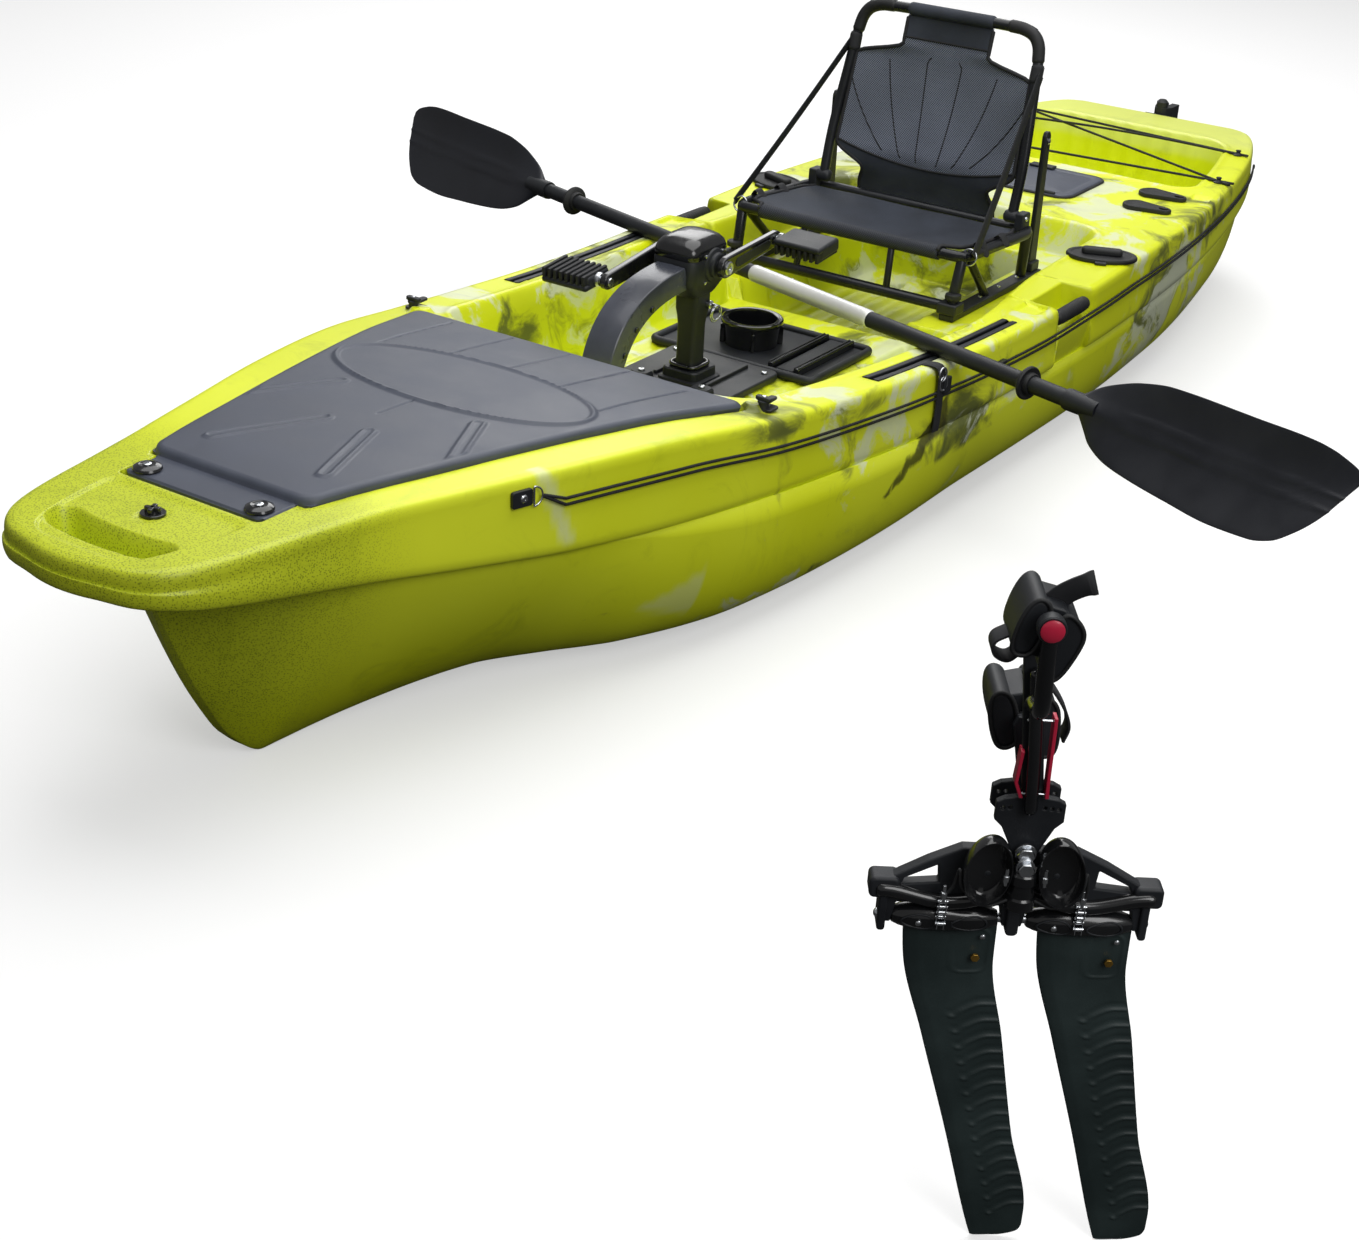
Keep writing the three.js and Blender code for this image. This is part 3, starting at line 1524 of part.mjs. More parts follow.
// Plate beside the back frame that holds its pivot
function pivotLug(side) {
  const p = pivotPoint();
  const inner = SEAT.backHalf + SEAT.tube + GAP;
  const outer = SEAT.half + SEAT.tube;
  const [x0, x1] = side > 0 ? [inner, outer] : [-outer, -inner];
  return span(x0, x1, p.y - SEAT.tube, p.y + SEAT.tube * 2, SEAT.backHeight - SEAT.tube, p.z + SEAT.tube);
}

function pivotHole(side) {
  const p = pivotPoint();
  const [x0, x1] = side > 0 ? [SEAT.backHalf, SEAT.half] : [-SEAT.half, -SEAT.backHalf];
  return barX(SEAT.tube * 0.5 + GAP, x0, x1, p.y, p.z, 12);
}

// A point of the back frame, given across and up along its slope
function backPoint(x, up, out = 0) {
  const p = pivotPoint();
  const [c, s] = [Math.cos(SEAT.recline), Math.sin(SEAT.recline)];
  return vec(x, p.y + up * s + out * c, p.z + up * c - out * s);
}

function seatBackFrame() {
  const [w, t, h] = [SEAT.backHalf, SEAT.backTopHalf, SEAT.backLength];
  const bend = SEAT.bend;
  const side = (s) => [
    backPoint(s * w, 0),
    backPoint(s * w, h * 0.3),
    backPoint(s * (w + t) / 2, h * 0.6),
    backPoint(s * t, h - bend),
    backPoint(s * (t - bend * 0.3), h - bend * 0.3),
    backPoint(s * (t - bend), h),
  ];
  const path = [...side(-1), ...side(1).reverse()];
  const frame = tube(path, SEAT.tube, 8, 44);
  const p = pivotPoint();
  const pins = [-1, 1].map((s) => {
    const [a, b] = [s * (w - SEAT.tube), s * (SEAT.half - SEAT.tube / 2)];
    return barX(SEAT.tube * 0.5, Math.min(a, b), Math.max(a, b), p.y, p.z, 12);
  });
  const eyes = [-1, 1].map((s) => barX(
    SEAT.tube,
    s * w - SEAT.tube,
    s * w + SEAT.tube,
    p.y,
    p.z,
    14,
  ));
  return joined(frame, ...pins, ...eyes);
}

const FABRIC = {
  thickness: 5,
  seatSag: 26,
  backSag: 20,
  footStand: 54,
  margin: 0.5,
};

// Stretched cloth: a thin sheet over a grid with its middle drawn in
function sheet(point, columns, rows, thickness) {
  const rings = [];
  for (let r = 0; r <= rows; r += 1) {
    const top = [];
    const bottom = [];
    for (let c = 0; c <= columns; c += 1) {
      top.push(point(c / columns, r / rows, thickness / 2));
      bottom.push(point(c / columns, r / rows, -thickness / 2));
    }
    rings.push([...top, ...bottom.reverse()]);
  }
  return stripLoft(rings);
}

// A skin over rings that are long and flat, closed at each end by a strip across the ring
function stripLoft(rings) {
  const count = rings[0].length;
  const points = rings.flat();
  const faces = [];
  for (let r = 0; r < rings.length - 1; r += 1) {
    for (let i = 0; i < count; i += 1) {
      const a = r * count + i;
      const b = r * count + ((i + 1) % count);
      faces.push(a, b, a + count, b, b + count, a + count);
    }
  }
  [0, rings.length - 1].forEach((r) => {
    for (let i = 0; i < count / 2 - 1; i += 1) {
      const [a, b] = [r * count + i, r * count + i + 1];
      const [c, d] = [r * count + count - 2 - i, r * count + count - 1 - i];
      if (r === 0) faces.push(b, a, d, b, d, c);
      else faces.push(a, b, d, b, c, d);
    }
  });
  return outward(points, faces);
}

function seatSling() {
  const inset = SEAT.tube + FABRIC.margin;
  const half = SEAT.half - inset;
  const y0 = SEAT_Y + inset;
  const y1 = SEAT_Y + SEAT.pivotBack - inset;
  return sheet((u, v, out) => {
    const z = SEAT.frontHeight + (SEAT.backHeight - SEAT.frontHeight) * v;
    const sag = FABRIC.seatSag * Math.sin(Math.PI * u) * (0.35 + 0.65 * Math.sin(Math.PI * v));
    return vec(half * (2 * u - 1), y0 + (y1 - y0) * v, z - sag + out);
  }, 10, 8, FABRIC.thickness);
}

const BACK_PANEL = {
  footUp: -34,
  footHalf: 160,
  headHalf: 92,
};

// Places down the panel as shares of its height, with how far the cloth stands behind the frame
const PANEL_SHARES = [
  [0, 1],
  [0.11, 0.5],
  [0.23, 0.05],
  [0.3, 0],
  [1, 0],
];
const PANEL_STEP_SHARES = [0, 0.06, 0.11, 0.17, 0.23, 0.3, 0.4, 0.5, 0.6, 0.7, 0.78, 0.82, 0.88, 1];
const panelStand = columnCurve(PANEL_SHARES, 1);

// Half width of the back panel at a share of its height: narrow foot, wide body, cut-away corners
function panelHalf(v) {
  const clear = SEAT.tube - FABRIC.margin;
  const wide = SEAT.backHalf - clear - (SEAT.backHalf - SEAT.backTopHalf) * v;
  if (v < 0.2) return BACK_PANEL.footHalf;
  if (v < 0.3) return BACK_PANEL.footHalf + (wide - BACK_PANEL.footHalf) * ((v - 0.2) / 0.1);
  if (v < 0.78) return wide;
  const head = Math.min((v - 0.78) / 0.1, 1);
  return wide + (BACK_PANEL.headHalf - wide) * head;
}

function seatBackPanel() {
  const foot = BACK_PANEL.footUp;
  const top = SEAT.backLength - SEAT.tube - 2 * FABRIC.margin;
  return sheet((u, row, out) => {
    const v = PANEL_STEP_SHARES[Math.round(row * (PANEL_STEP_SHARES.length - 1))];
    const sag = FABRIC.backSag * Math.sin(Math.PI * u) * Math.sin(Math.PI * v);
    const stand = FABRIC.footStand * panelStand(v);
    return backPoint(panelHalf(v) * (2 * u - 1), foot + (top - foot) * v, stand + sag + out);
  }, 8, PANEL_STEP_SHARES.length - 1, FABRIC.thickness);
}

const STRAP = {
  width: 22,
  thickness: 3,
  top: 0.8,
};

// Webbing from the back frame down to the front corner of the base
function seatStrap(side) {
  const stand = SEAT.tube + STRAP.thickness / 2 + 9 * GAP;
  const high = backPoint(SEAT.backTopHalf + stand, SEAT.backLength * STRAP.top, -SEAT.tube);
  const low = vec(SEAT.half + stand, SEAT_Y + SEAT.tube, SEAT.frontHeight);
  const across = STRAP.width / 2;
  const thick = STRAP.thickness / 2;
  const ring = (p) => [[-thick, -across], [thick, -across], [thick, across], [-thick, across]]
    .map(([dx, dy]) => vec(side * (p.x + dx), p.y + dy, p.z));
  return loft([ring(low), ring(high)]);
}

// Front hatch

function frontHatchLid() {
  const top = HATCH.thickness - HATCH.skirt;
  const skirt = lidSkirt(0, -HATCH.seat + GAP, GAP);
  const panel = lidPanel(0, 0, top, HATCH.chamfer);
  const dish = lidPanel(HATCH.landing + HATCH.skirt, -HATCH.seat - OVERRUN, top / 2, GAP);
  const holes = [PORT, STARBOARD].map((side) => {
    const p = boltPlace(side);
    return barZ(PIVOT_BOLT.shank + GAP, 0, HULL.depth + OVERRUN, p.x, p.y, 16);
  });
  return cut(joined(skirt, panel), dish, ...holes);
}

const PIVOT_BOLT = {
  head: 19,
  headHeight: 7,
  shank: 5,
};

function boltPlace(side) {
  const inset = HATCH.corner;
  const y = along(STATION_SHARES.hatchHinge) + inset / 2;
  return vec(side * (HATCH.tongueHalf - inset), y, sheer(STATION_SHARES.hatchHinge));
}

// Oval-headed bolt at each corner of the tongue
function pivotBolt(side) {
  const p = boltPlace(side);
  const top = 3 * GAP;
  const height = PIVOT_BOLT.headHeight;
  const head = turned([
    [0, top],
    [PIVOT_BOLT.head, top],
    [PIVOT_BOLT.head * 0.9, top + height * 0.7],
    [PIVOT_BOLT.head * 0.5, top + height],
    [0, top + height],
  ], 20);
  const shank = barZ(PIVOT_BOLT.shank, -HATCH.seat + 2 * GAP, top + GAP, 0, 0, 14);
  return joined(head, shank).translate(...p);
}

const LATCH = {
  width: 16,
  reach: 44,
  height: 14,
  post: 9,
  knob: 15,
  standBack: 14,
  inset: 40,
};

// Toggle that turns about Z on a post behind each aft corner of the lid
function hatchLatch(side) {
  const share = STATION_SHARES.hatchBack;
  const y = along(share) + LATCH.standBack;
  const x = side * (HATCH.backHalf + LATCH.inset / 2);
  const z = sheer(share) + GAP;
  const post = barZ(LATCH.post, 0, LATCH.height, 0, 0, 16);
  const knob = barZ(LATCH.knob, LATCH.height - GAP, LATCH.height + LATCH.post, 0, 0, 18);
  const outline = roundedOutline(LATCH.width, LATCH.reach, LATCH.width / 2 - GAP, 0, LATCH.reach / 3);
  const arm = plate(outline, LATCH.height * 0.4, LATCH.height);
  return joined(post, knob, arm).translate(x, y, z);
}

function drainPlug() {
  const y = along(STATION_SHARES.drain);
  const seat = sheer(STATION_SHARES.drain) - BOW.drainDepth + GAP;
  const cap = turned([
    [0, seat],
    [BOW.drainSeat - 2 * BOW.drainPlay, seat],
    [BOW.drainSeat - 2 * BOW.drainPlay, seat + BOW.drainDepth],
    [BOW.drainSeat * 0.6, seat + BOW.drainDepth * 1.6],
    [0, seat + BOW.drainDepth * 1.6],
  ], 20).translate(0, y, 0);
  const grip = box(BOW.drainSeat, BOW.drainDepth, BOW.drainDepth * 2, 0, y, seat + BOW.drainDepth * 2);
  const stem = barZ(BOW.drainHole - BOW.drainPlay, seat - BOW.drainSeat, seat + GAP, 0, y, 16);
  return joined(cap, grip, stem);
}

function rearHatchLid() {
  const base = REAR_DECK - REAR_HATCH.seat + GAP;
  const body = rearHatchPlate(0, base, base + REAR_HATCH.thickness);
  const inset = -REAR_HATCH.landing - REAR_HATCH.seat;
  const under = rearHatchPlate(inset, base - OVERRUN, base + REAR_HATCH.thickness / 2);
  return cut(body, under);
}

// Lines

const CORD = {
  radius: 2.5,
  stand: 0.6,
  lineDrop: 50,
  bendRadius: 5,
};

// A cord through points that are already close together, as a ring of sides at each point
function cord(points, radius, sides = 8) {
  let normal = null;
  const rings = points.map((p, i) => {
    const before = points[Math.max(i - 1, 0)];
    const after = points[Math.min(i + 1, points.length - 1)];
    const tangent = after.clone().sub(before).normalize();
    const guide = normal ?? (Math.abs(tangent.z) < 0.9 ? vec(0, 0, 1) : vec(1, 0, 0));
    normal = guide.clone().addScaledVector(tangent, -guide.dot(tangent)).normalize();
    const binormal = tangent.clone().cross(normal);
    return Array.from({ length: sides }, (_, k) => {
      const angle = (k / sides) * Math.PI * 2;
      return p.clone()
        .addScaledVector(normal, radius * Math.cos(angle))
        .addScaledVector(binormal, radius * Math.sin(angle));
    });
  });
  return loft(rings);
}

// Half a turn from one direction to its opposite, in the plane of two unit vectors
function halfTurn(centre, radius, from, outward, steps = 6) {
  return Array.from({ length: steps + 1 }, (_, i) => {
    const angle = (i / steps) * Math.PI;
    return centre.clone()
      .addScaledVector(from, radius * Math.cos(angle))
      .addScaledVector(outward, radius * Math.sin(angle));
  });
}

// Trolley line: aft along the port band and forward again just below
function trolleyLine() {
  const s = STATION_SHARES;
  const steps = 16;
  const run = (drop) => Array.from({ length: steps + 1 }, (_, i) => {
    const share = s.trolleyFront + ((s.trolleyBack - s.trolleyFront) * i) / steps;
    const x = gunwale(share) + CORD.radius + CORD.stand;
    return vec(x, along(share), sheer(share) - drop);
  });
  const upper = run(CORD.lineDrop - CORD.bendRadius);
  const lower = run(CORD.lineDrop + CORD.bendRadius);
  const end = upper[steps].clone().add(lower[steps]).multiplyScalar(0.5);
  const turn = halfTurn(end, CORD.bendRadius, vec(0, 0, 1), vec(0, 1, 0)).slice(1, -1);
  return cord([...upper, ...turn, ...lower.reverse()], CORD.radius);
}

const BUNGEE = {
  radius: 3,
  standHeight: 3.7,
  hop: 8,
  bendRadius: 9,
};

// Turning points of the bungee over the tank well: side and station share
const BUNGEE_SHARES = [
  [-1, 0.848],
  [1, 0.864],
  [-1, 0.95],
  [1, 0.936],
  [-1, 0.92],
];
const BUNGEE_RUN_SHARES = [0.12, 0.3, 0.5, 0.7, 0.88];

function bungee() {
  const stops = BUNGEE_SHARES.map(([side, share]) => vec(
    side * (gunwale(share) - TANK.inset / 2),
    along(share),
    sheer(share) + BUNGEE.standHeight,
  ));
  const points = [stops[0]];
  for (let i = 0; i < stops.length - 1; i += 1) {
    const hop = i === stops.length - 2 ? BUNGEE.hop : 0;
    const forward = i === 0 ? 1 : Math.sign(stops[i + 1].y - stops[i].y);
    const [a, b] = [stops[i].clone(), stops[i + 1].clone()];
    if (i > 0) a.y += forward * BUNGEE.bendRadius;
    const ahead = i + 2 < stops.length ? Math.sign(stops[i + 2].y - stops[i + 1].y) : 0;
    b.y -= ahead * BUNGEE.bendRadius;
    BUNGEE_RUN_SHARES.forEach((t) => {
      const p = a.clone().lerp(b, t);
      p.z += hop * Math.sin(Math.PI * t);
      points.push(p);
    });
    if (ahead === 0) {
      points.push(b);
    } else {
      const side = vec(Math.sign(stops[i + 1].x), 0, 0);
      points.push(...halfTurn(stops[i + 1], BUNGEE.bendRadius, vec(0, -ahead, 0), side));
    }
  }
  return cord(points, BUNGEE.radius);
}

// Rudder

const RUDDER = {
  plateHalf: 34,
  plateThickness: 8,
  plateTop: 52,
  plateFoot: 150,
  pintle: 8,
  standOff: 28,
  headHalf: 24,
  headLength: 60,
  headHeight: 66,
  knob: 15,
  knobHeight: 20,
  bladeThickness: 8,
  bladeLength: 280,
  bladeWidth: 120,
  pivot: 7,
};

function rudderOrigin() {
  return vec(0, along(1) + GAP, sheer(1));
}

function rudderBracket() {
  const o = rudderOrigin();
  const t = RUDDER.plateThickness;
  const wall = span(-RUDDER.plateHalf, RUDDER.plateHalf, o.y, o.y + t, o.z - RUDDER.plateFoot, o.z - GAP);
  const shelfBack = o.y + RUDDER.standOff + RUDDER.pintle * 1.5;
  const shelves = [RUDDER.plateTop, RUDDER.plateFoot - t].map((drop) => span(
    -RUDDER.pintle * 2,
    RUDDER.pintle * 2,
    o.y + t - GAP,
    shelfBack,
    o.z - drop - t,
    o.z - drop,
  ));
  const hole = barZ(RUDDER.pintle + GAP, 0, o.z + OVERRUN, 0, o.y + RUDDER.standOff, 16);
  return cut(joined(wall, ...shelves), hole);
}

function rudderHead() {
  const o = rudderOrigin();
  const y = o.y + RUDDER.standOff;
  const pintle = barZ(RUDDER.pintle, o.z - RUDDER.plateFoot, o.z + GAP, 0, y, 16);
  const foot = o.z - RUDDER.plateTop + GAP;
  const top = foot + RUDDER.headHeight;
  const nose = RUDDER.pintle * 2;
  const body = plate([
    [RUDDER.headHalf, y + nose],
    [RUDDER.headHalf, y + RUDDER.headLength],
    [-RUDDER.headHalf, y + RUDDER.headLength],
    [-RUDDER.headHalf, y + nose],
    [-nose, y - nose / 2],
    [-nose / 2, y - nose],
    [nose / 2, y - nose],
    [nose, y - nose / 2],
  ], foot, top);
  const half = RUDDER.bladeThickness / 2 + GAP;
  const slot = span(-half, half, y + nose, y + RUDDER.headLength + OVERRUN, foot - OVERRUN, top + OVERRUN);
  const knob = turned([
    [0, 0],
    [RUDDER.knob, 0],
    [RUDDER.knob, RUDDER.knobHeight * 0.7],
    [RUDDER.knob * 0.6, RUDDER.knobHeight],
    [0, RUDDER.knobHeight],
  ], 18).translate(0, y, top - GAP);
  const pivot = bladePivot();
  const reach = RUDDER.headHalf + OVERRUN;
  const pin = barX(RUDDER.pivot, -reach, reach, pivot.y, pivot.z, 14);
  return cut(joined(pintle, body, knob), slot, pin);
}

function bladePivot() {
  const o = rudderOrigin();
  const foot = o.z - RUDDER.plateTop + GAP;
  return vec(0, o.y + RUDDER.standOff + RUDDER.headLength * 0.7, foot + RUDDER.headHeight / 2);
}

function rudderBlade() {
  const p = bladePivot();
  const w = RUDDER.bladeWidth;
  const l = RUDDER.bladeLength;
  const outline = softened([
    [-w * 0.12, w * 0.12],
    [w * 0.18, w * 0.12],
    [w * 0.42, -l * 0.3],
    [w * 0.55, -l * 0.92],
    [w * 0.05, -l],
    [-w * 0.16, -l * 0.5],
  ], w * 0.12).map(([y, z]) => [p.y + y, p.z + z]);
  const blade = standingPlate(outline, -RUDDER.bladeThickness / 2, RUDDER.bladeThickness / 2);
  const pin = barX(RUDDER.pivot - GAP, -RUDDER.headHalf, RUDDER.headHalf, p.y, p.z, 14);
  return joined(blade, pin);
}

// Paddle

const PADDLE = {
  length: 2600,
  shaft: 14.5,
  ferrule: 17,
  ferruleHalf: 160,
  ferruleShift: 96,
  bladeLength: 530,
  bladeWidth: 185,
  bladeThickness: 9,
  ring: 30,
  ringNeck: 19,
  ringWidth: 12,
  ringPlace: 120,
  restHeight: 1.6,
  cup: 12,
  portRoll: 1.08,
  starboardRoll: 1.11,
  portStationShare: 0.4515,
  starboardStationShare: 0.527,
};

// The shaft lies on both gunwales: its axis passes over the port and the starboard rim
function paddleAxis() {
  const contact = (side, share, lift) => vec(
    side * gunwale(share),
    along(share),
    sheer(share) + PADDLE.shaft + lift,
  );
  const port = contact(PORT, PADDLE.portStationShare, PADDLE.restHeight);
  const starboard = contact(STARBOARD, PADDLE.starboardStationShare, GAP);
  const direction = port.clone().sub(starboard).normalize();
  const middle = starboard.clone().add(port).multiplyScalar(0.5);
  return { direction, middle };
}

// Turns a piece that was drawn along +X about the origin onto the paddle's axis
function onPaddle(geometry) {
  const { direction, middle } = paddleAxis();
  const turn = new THREE.Quaternion().setFromUnitVectors(vec(1, 0, 0), direction);
  return geometry.applyQuaternion(turn).translate(...middle);
}

function paddleShaft(side) {
  const end = PADDLE.length / 2 - PADDLE.bladeLength - GAP;
  const split = PADDLE.ferruleShift;
  const [x0, x1] = side > 0 ? [split + GAP, end] : [-end, split - GAP];
  return onPaddle(barX(PADDLE.shaft, x0, x1, 0, 0, 16));
}

function paddleFerrule() {
  const half = PADDLE.ferruleHalf;
  const outer = barX(PADDLE.ferrule, -half, half, 0, 0, 20);
  const bore = barX(PADDLE.shaft + GAP, -half - OVERRUN, half + OVERRUN, 0, 0, 20);
  return onPaddle(cut(outer, bore).translate(PADDLE.ferruleShift, 0, 0));
}

function dripRing(side) {
  const place = PADDLE.length / 2 - PADDLE.bladeLength - PADDLE.ringPlace;
  const half = PADDLE.ringWidth / 2;
  const profile = [
    [PADDLE.shaft + GAP, -half * 2],
    [PADDLE.ringNeck, -half * 2],
    [PADDLE.ring, -half],
    [PADDLE.ring, half],
    [PADDLE.ringNeck, half * 2],
    [PADDLE.shaft + GAP, half * 2],
    [PADDLE.shaft + GAP, -half * 2],
  ];
  return onPaddle(turned(profile, 20).rotateY(Math.PI / 2).translate(side * place, 0, 0));
}

// Asymmetric spoon blade: share of its length, upper edge and lower edge from the ridge
const BLADE_SHARES = [
  [0, 0.1, 0.07],
  [0.05, 0.21, 0.2],
  [0.1, 0.28, 0.32],
  [0.19, 0.37, 0.42],
  [0.31, 0.43, 0.475],
  [0.45, 0.44, 0.515],
  [0.61, 0.44, 0.55],
  [0.76, 0.445, 0.53],
  [0.83, 0.44, 0.47],
  [0.89, 0.42, 0.325],
  [0.94, 0.385, 0.14],
  [0.98, 0.345, -0.09],
  [1, 0.3, -0.21],
];
const BLADE_NECK_SHARE = 0.35;
const BLADE_EDGE_SHARES = [[-1, 0.35], [-0.55, 0.75], [0, 1], [0.55, 0.75], [1, 0.35]];

function paddleBlade(side, roll) {
  const start = PADDLE.length / 2 - PADDLE.bladeLength;
  const rings = BLADE_SHARES.map(([at, upper, lower]) => {
    const half = (PADDLE.bladeWidth * (upper + lower)) / 2;
    const middle = (PADDLE.bladeWidth * (upper - lower)) / 2;
    const neck = Math.max(1 - at / BLADE_NECK_SHARE, 0) ** 2;
    const flat = PADDLE.bladeThickness / 2;
    const x = side * (start + PADDLE.bladeLength * at);
    const point = ([u, thick], face) => {
      const ridge = 1 - Math.abs(u);
      const cup = PADDLE.cup * (1 - neck) * (half / PADDLE.bladeWidth) * 2 * u * u;
      return vec(x, middle + u * half, face * thick * (flat + neck * ridge * (PADDLE.shaft - flat)) + cup);
    };
    const front = BLADE_EDGE_SHARES.map((edge) => point(edge, 1));
    const back = BLADE_EDGE_SHARES.slice().reverse().map((edge) => point(edge, -1));
    return [...front, ...back];
  });
  return onPaddle(stripLoft(rings).rotateX(roll));
}

// Fin drive that stands on its fin tips beside the port bow

const FIN_DRIVE = {
  x: 1328,
  y: -2138,
  turn: 0.59,
  barHeight: 455,
  barRadius: 9,
  barHalf: 136,
  lugRadius: 13,
  lugLength: 18,
  wingHalf: 60,
  wingTop: 500,
  wingThickness: 14,
  columnHalf: 12,
  axleHeight: 418,
  axleRadius: 5,
  hangerThickness: 8,
  hubPlace: 68,
  hubHalf: 54,
  hubRadius: 16,
  drumPlace: 34,
  drumHeight: 494,
  drumRadius: 37,
  drumDepth: 18,
  drumFace: 20,
  drumWall: 5,
  pegRadius: 6,
  pegHeight: 486,
  pivotHeight: 511,
  pivotRadius: 7,
  pivotHalf: 24,
  armPlace: 11,
  armThickness: 8,
  eyeRadius: 14,
  sectorHalf: 33,
  sectorHeight: 54,
  sectorCrown: 62,
  barWidth: 20,
  pinRadius: 6,
  pinReach: 84,
  pedalStart: 22,
  pedalWidth: 70,
  pedalHeight: 64,
  pedalThickness: 30,
  pedalCorner: 10,
  floorGap: 0.8,
  nearReach: 272,
  nearLean: -24,
  farReach: 122,
  farLean: -12,
  pedalTilt: 0.25,
};

// Width of an oval drum as a share of its height
const DRUM_OVAL_SHARE = 0.58;

function finDriveGroup() {
  const group = new THREE.Group();
  group.position.set(FIN_DRIVE.x, FIN_DRIVE.y, 0);
  group.rotation.z = FIN_DRIVE.turn;
  root.add(group);
  return group;
}

// A plate that stands in the XZ plane and runs from y0 to y1
function crossPlate(outline, y0, y1) {
  return plate(outline.map(([x, z]) => [x, z]), -y1, -y0).rotateX(Math.PI / 2);
}

// Oval bowl in front of the frame, open towards the viewer's side
function finDrum(side) {
  const f = FIN_DRIVE;
  const face = -f.drumFace - f.drumDepth;
  const outer = barY(f.drumRadius, face, -f.drumFace, 0, 0, 24);
  const inner = barY(f.drumRadius - f.drumWall, face - OVERRUN, -f.drumFace - f.drumWall, 0, 0, 24);
  const bowl = cut(outer, inner).scale(DRUM_OVAL_SHARE, 1, 1).translate(side * f.drumPlace, 0, f.drumHeight);
  const peg = barY(f.pegRadius, -f.drumFace - f.drumWall / 2, 0, side * f.drumPlace, f.pegHeight, 12);
  return [bowl, peg];
}

// Cross bar with end lugs, wing plate, pivot boss, drums and the axle of the two hubs
function finFrame() {
  const f = FIN_DRIVE;
  const z = f.barHeight;
  const cross = barX(f.barRadius, -f.barHalf, f.barHalf, 0, z, 14);
  const wings = crossPlate([
    [-f.barHalf + f.lugLength, z],
    [f.barHalf - f.lugLength, z],
    [f.wingHalf, f.wingTop],
    [-f.wingHalf, f.wingTop],
  ], -f.wingThickness / 2, f.wingThickness / 2);
  const column = span(
    -f.columnHalf,
    f.columnHalf,
    -f.wingThickness / 2,
    f.wingThickness / 2,
    z,
    f.pivotHeight + f.columnHalf,
  );
  const pivot = barY(f.pivotRadius, -f.pivotHalf, f.pivotHalf, 0, f.pivotHeight, 16);
  const axle = barX(f.axleRadius, -f.barHalf, f.barHalf, 0, f.axleHeight, 14);
  const hangers = [-1, 0, 1].map((side) => {
    const x = side * (f.barHalf - f.hangerThickness / 2);
    return span(
      x - f.hangerThickness / 2,
      x + f.hangerThickness / 2,
      -f.wingThickness / 2,
      f.wingThickness / 2,
      f.axleHeight - f.wingThickness / 2,
      z,
    );
  });
  const lugs = [-1, 1].map((side) => {
    const [a, b] = [side * f.barHalf, side * (f.barHalf - f.lugLength)];
    return barX(f.lugRadius, Math.min(a, b), Math.max(a, b), 0, z, 16);
  });
  const drums = [PORT, STARBOARD].flatMap((side) => finDrum(side));
  return joined(cross, wings, column, pivot, axle, ...hangers, ...lugs, ...drums);
}

// Pedal arm: an eye on the pivot, a sector, a bar and the pedal's pin
function finArm(side, reach, lean) {
  const f = FIN_DRIVE;
  const reachY = f.armPlace + f.armThickness;
  const [y0, y1] = side > 0 ? [f.armPlace, reachY] : [-reachY, -f.armPlace];
  const z = f.pivotHeight;
  const half = f.barWidth / 2;
  const outline = [
    [-f.eyeRadius, z],
    [-f.eyeRadius * 0.7, z - f.eyeRadius * 0.7],
    [0, z - f.eyeRadius],
    [f.eyeRadius * 0.7, z - f.eyeRadius * 0.7],
    [f.eyeRadius, z],
    [f.sectorHalf, z + f.sectorHeight],
    [half, z + f.sectorCrown],
    [half + lean, z + reach],
    [lean + half * 0.6, z + reach + half],
    [lean - half * 0.6, z + reach + half],
    [lean - half, z + reach],
    [-half, z + f.sectorCrown],
    [-f.sectorHalf, z + f.sectorHeight],
  ];
  const arm = crossPlate(outline, y0, y1);
  const hole = barY(f.pivotRadius + GAP, y0 - OVERRUN, y1 + OVERRUN, 0, z, 16);
  const end = side * f.pinReach;
  const root0 = side * (f.armPlace + f.armThickness / 2);
  const pin = barY(f.pinRadius, Math.min(root0, end), Math.max(root0, end), lean, z + reach, 14);
  return joined(cut(arm, hole), pin);
}

// Foot pedal with a heel cup and a strap over it
function finPedal(side, reach, lean, tilt) {
  const f = FIN_DRIVE;
  const block = crossPlate(
    roundedOutline(f.pedalThickness, f.pedalHeight, f.pedalCorner),
    0,
    f.pedalWidth,
  );
  const wall = f.drumWall;
  const [b0, b1] = side > 0 ? [-OVERRUN, f.pedalWidth - wall] : [wall, f.pedalWidth + OVERRUN];
  const bore = barY(f.pinRadius + GAP, b0, b1, 0, 0, 14);
  const strapOuter = crossPlate(
    roundedOutline(f.pedalThickness * 1.5, f.pedalHeight * 0.5, f.pedalCorner, f.pedalThickness * 0.9, 0),
    f.drumWall,
    f.pedalWidth - f.drumWall,
  );
  const strapInner = span(
    f.pedalThickness / 2,
    f.pedalThickness * 1.5,
    -OVERRUN,
    f.pedalWidth + OVERRUN,
    -f.pedalHeight / 4 + f.drumWall,
    f.pedalHeight / 4 - f.drumWall,
  );
  const y = side > 0 ? f.pedalStart : -f.pedalStart - f.pedalWidth;
  return cut(joined(block, strapOuter), strapInner, bore)
    .rotateY(tilt)
    .translate(lean, y, f.pivotHeight + reach);
}

// Fin outline: share of its height from the hub, leading edge, trailing edge and thickness
const FIN_TABLE = [
  [0, -41, 55, 14],
  [0.12, -36, 56, 12],
  [0.35, -8, 76, 10],
  [0.65, 30, 101, 7],
  [0.92, 62, 128, 5],
  [0.98, 70, 128, 4],
  [1, 73, 119, 3],
];

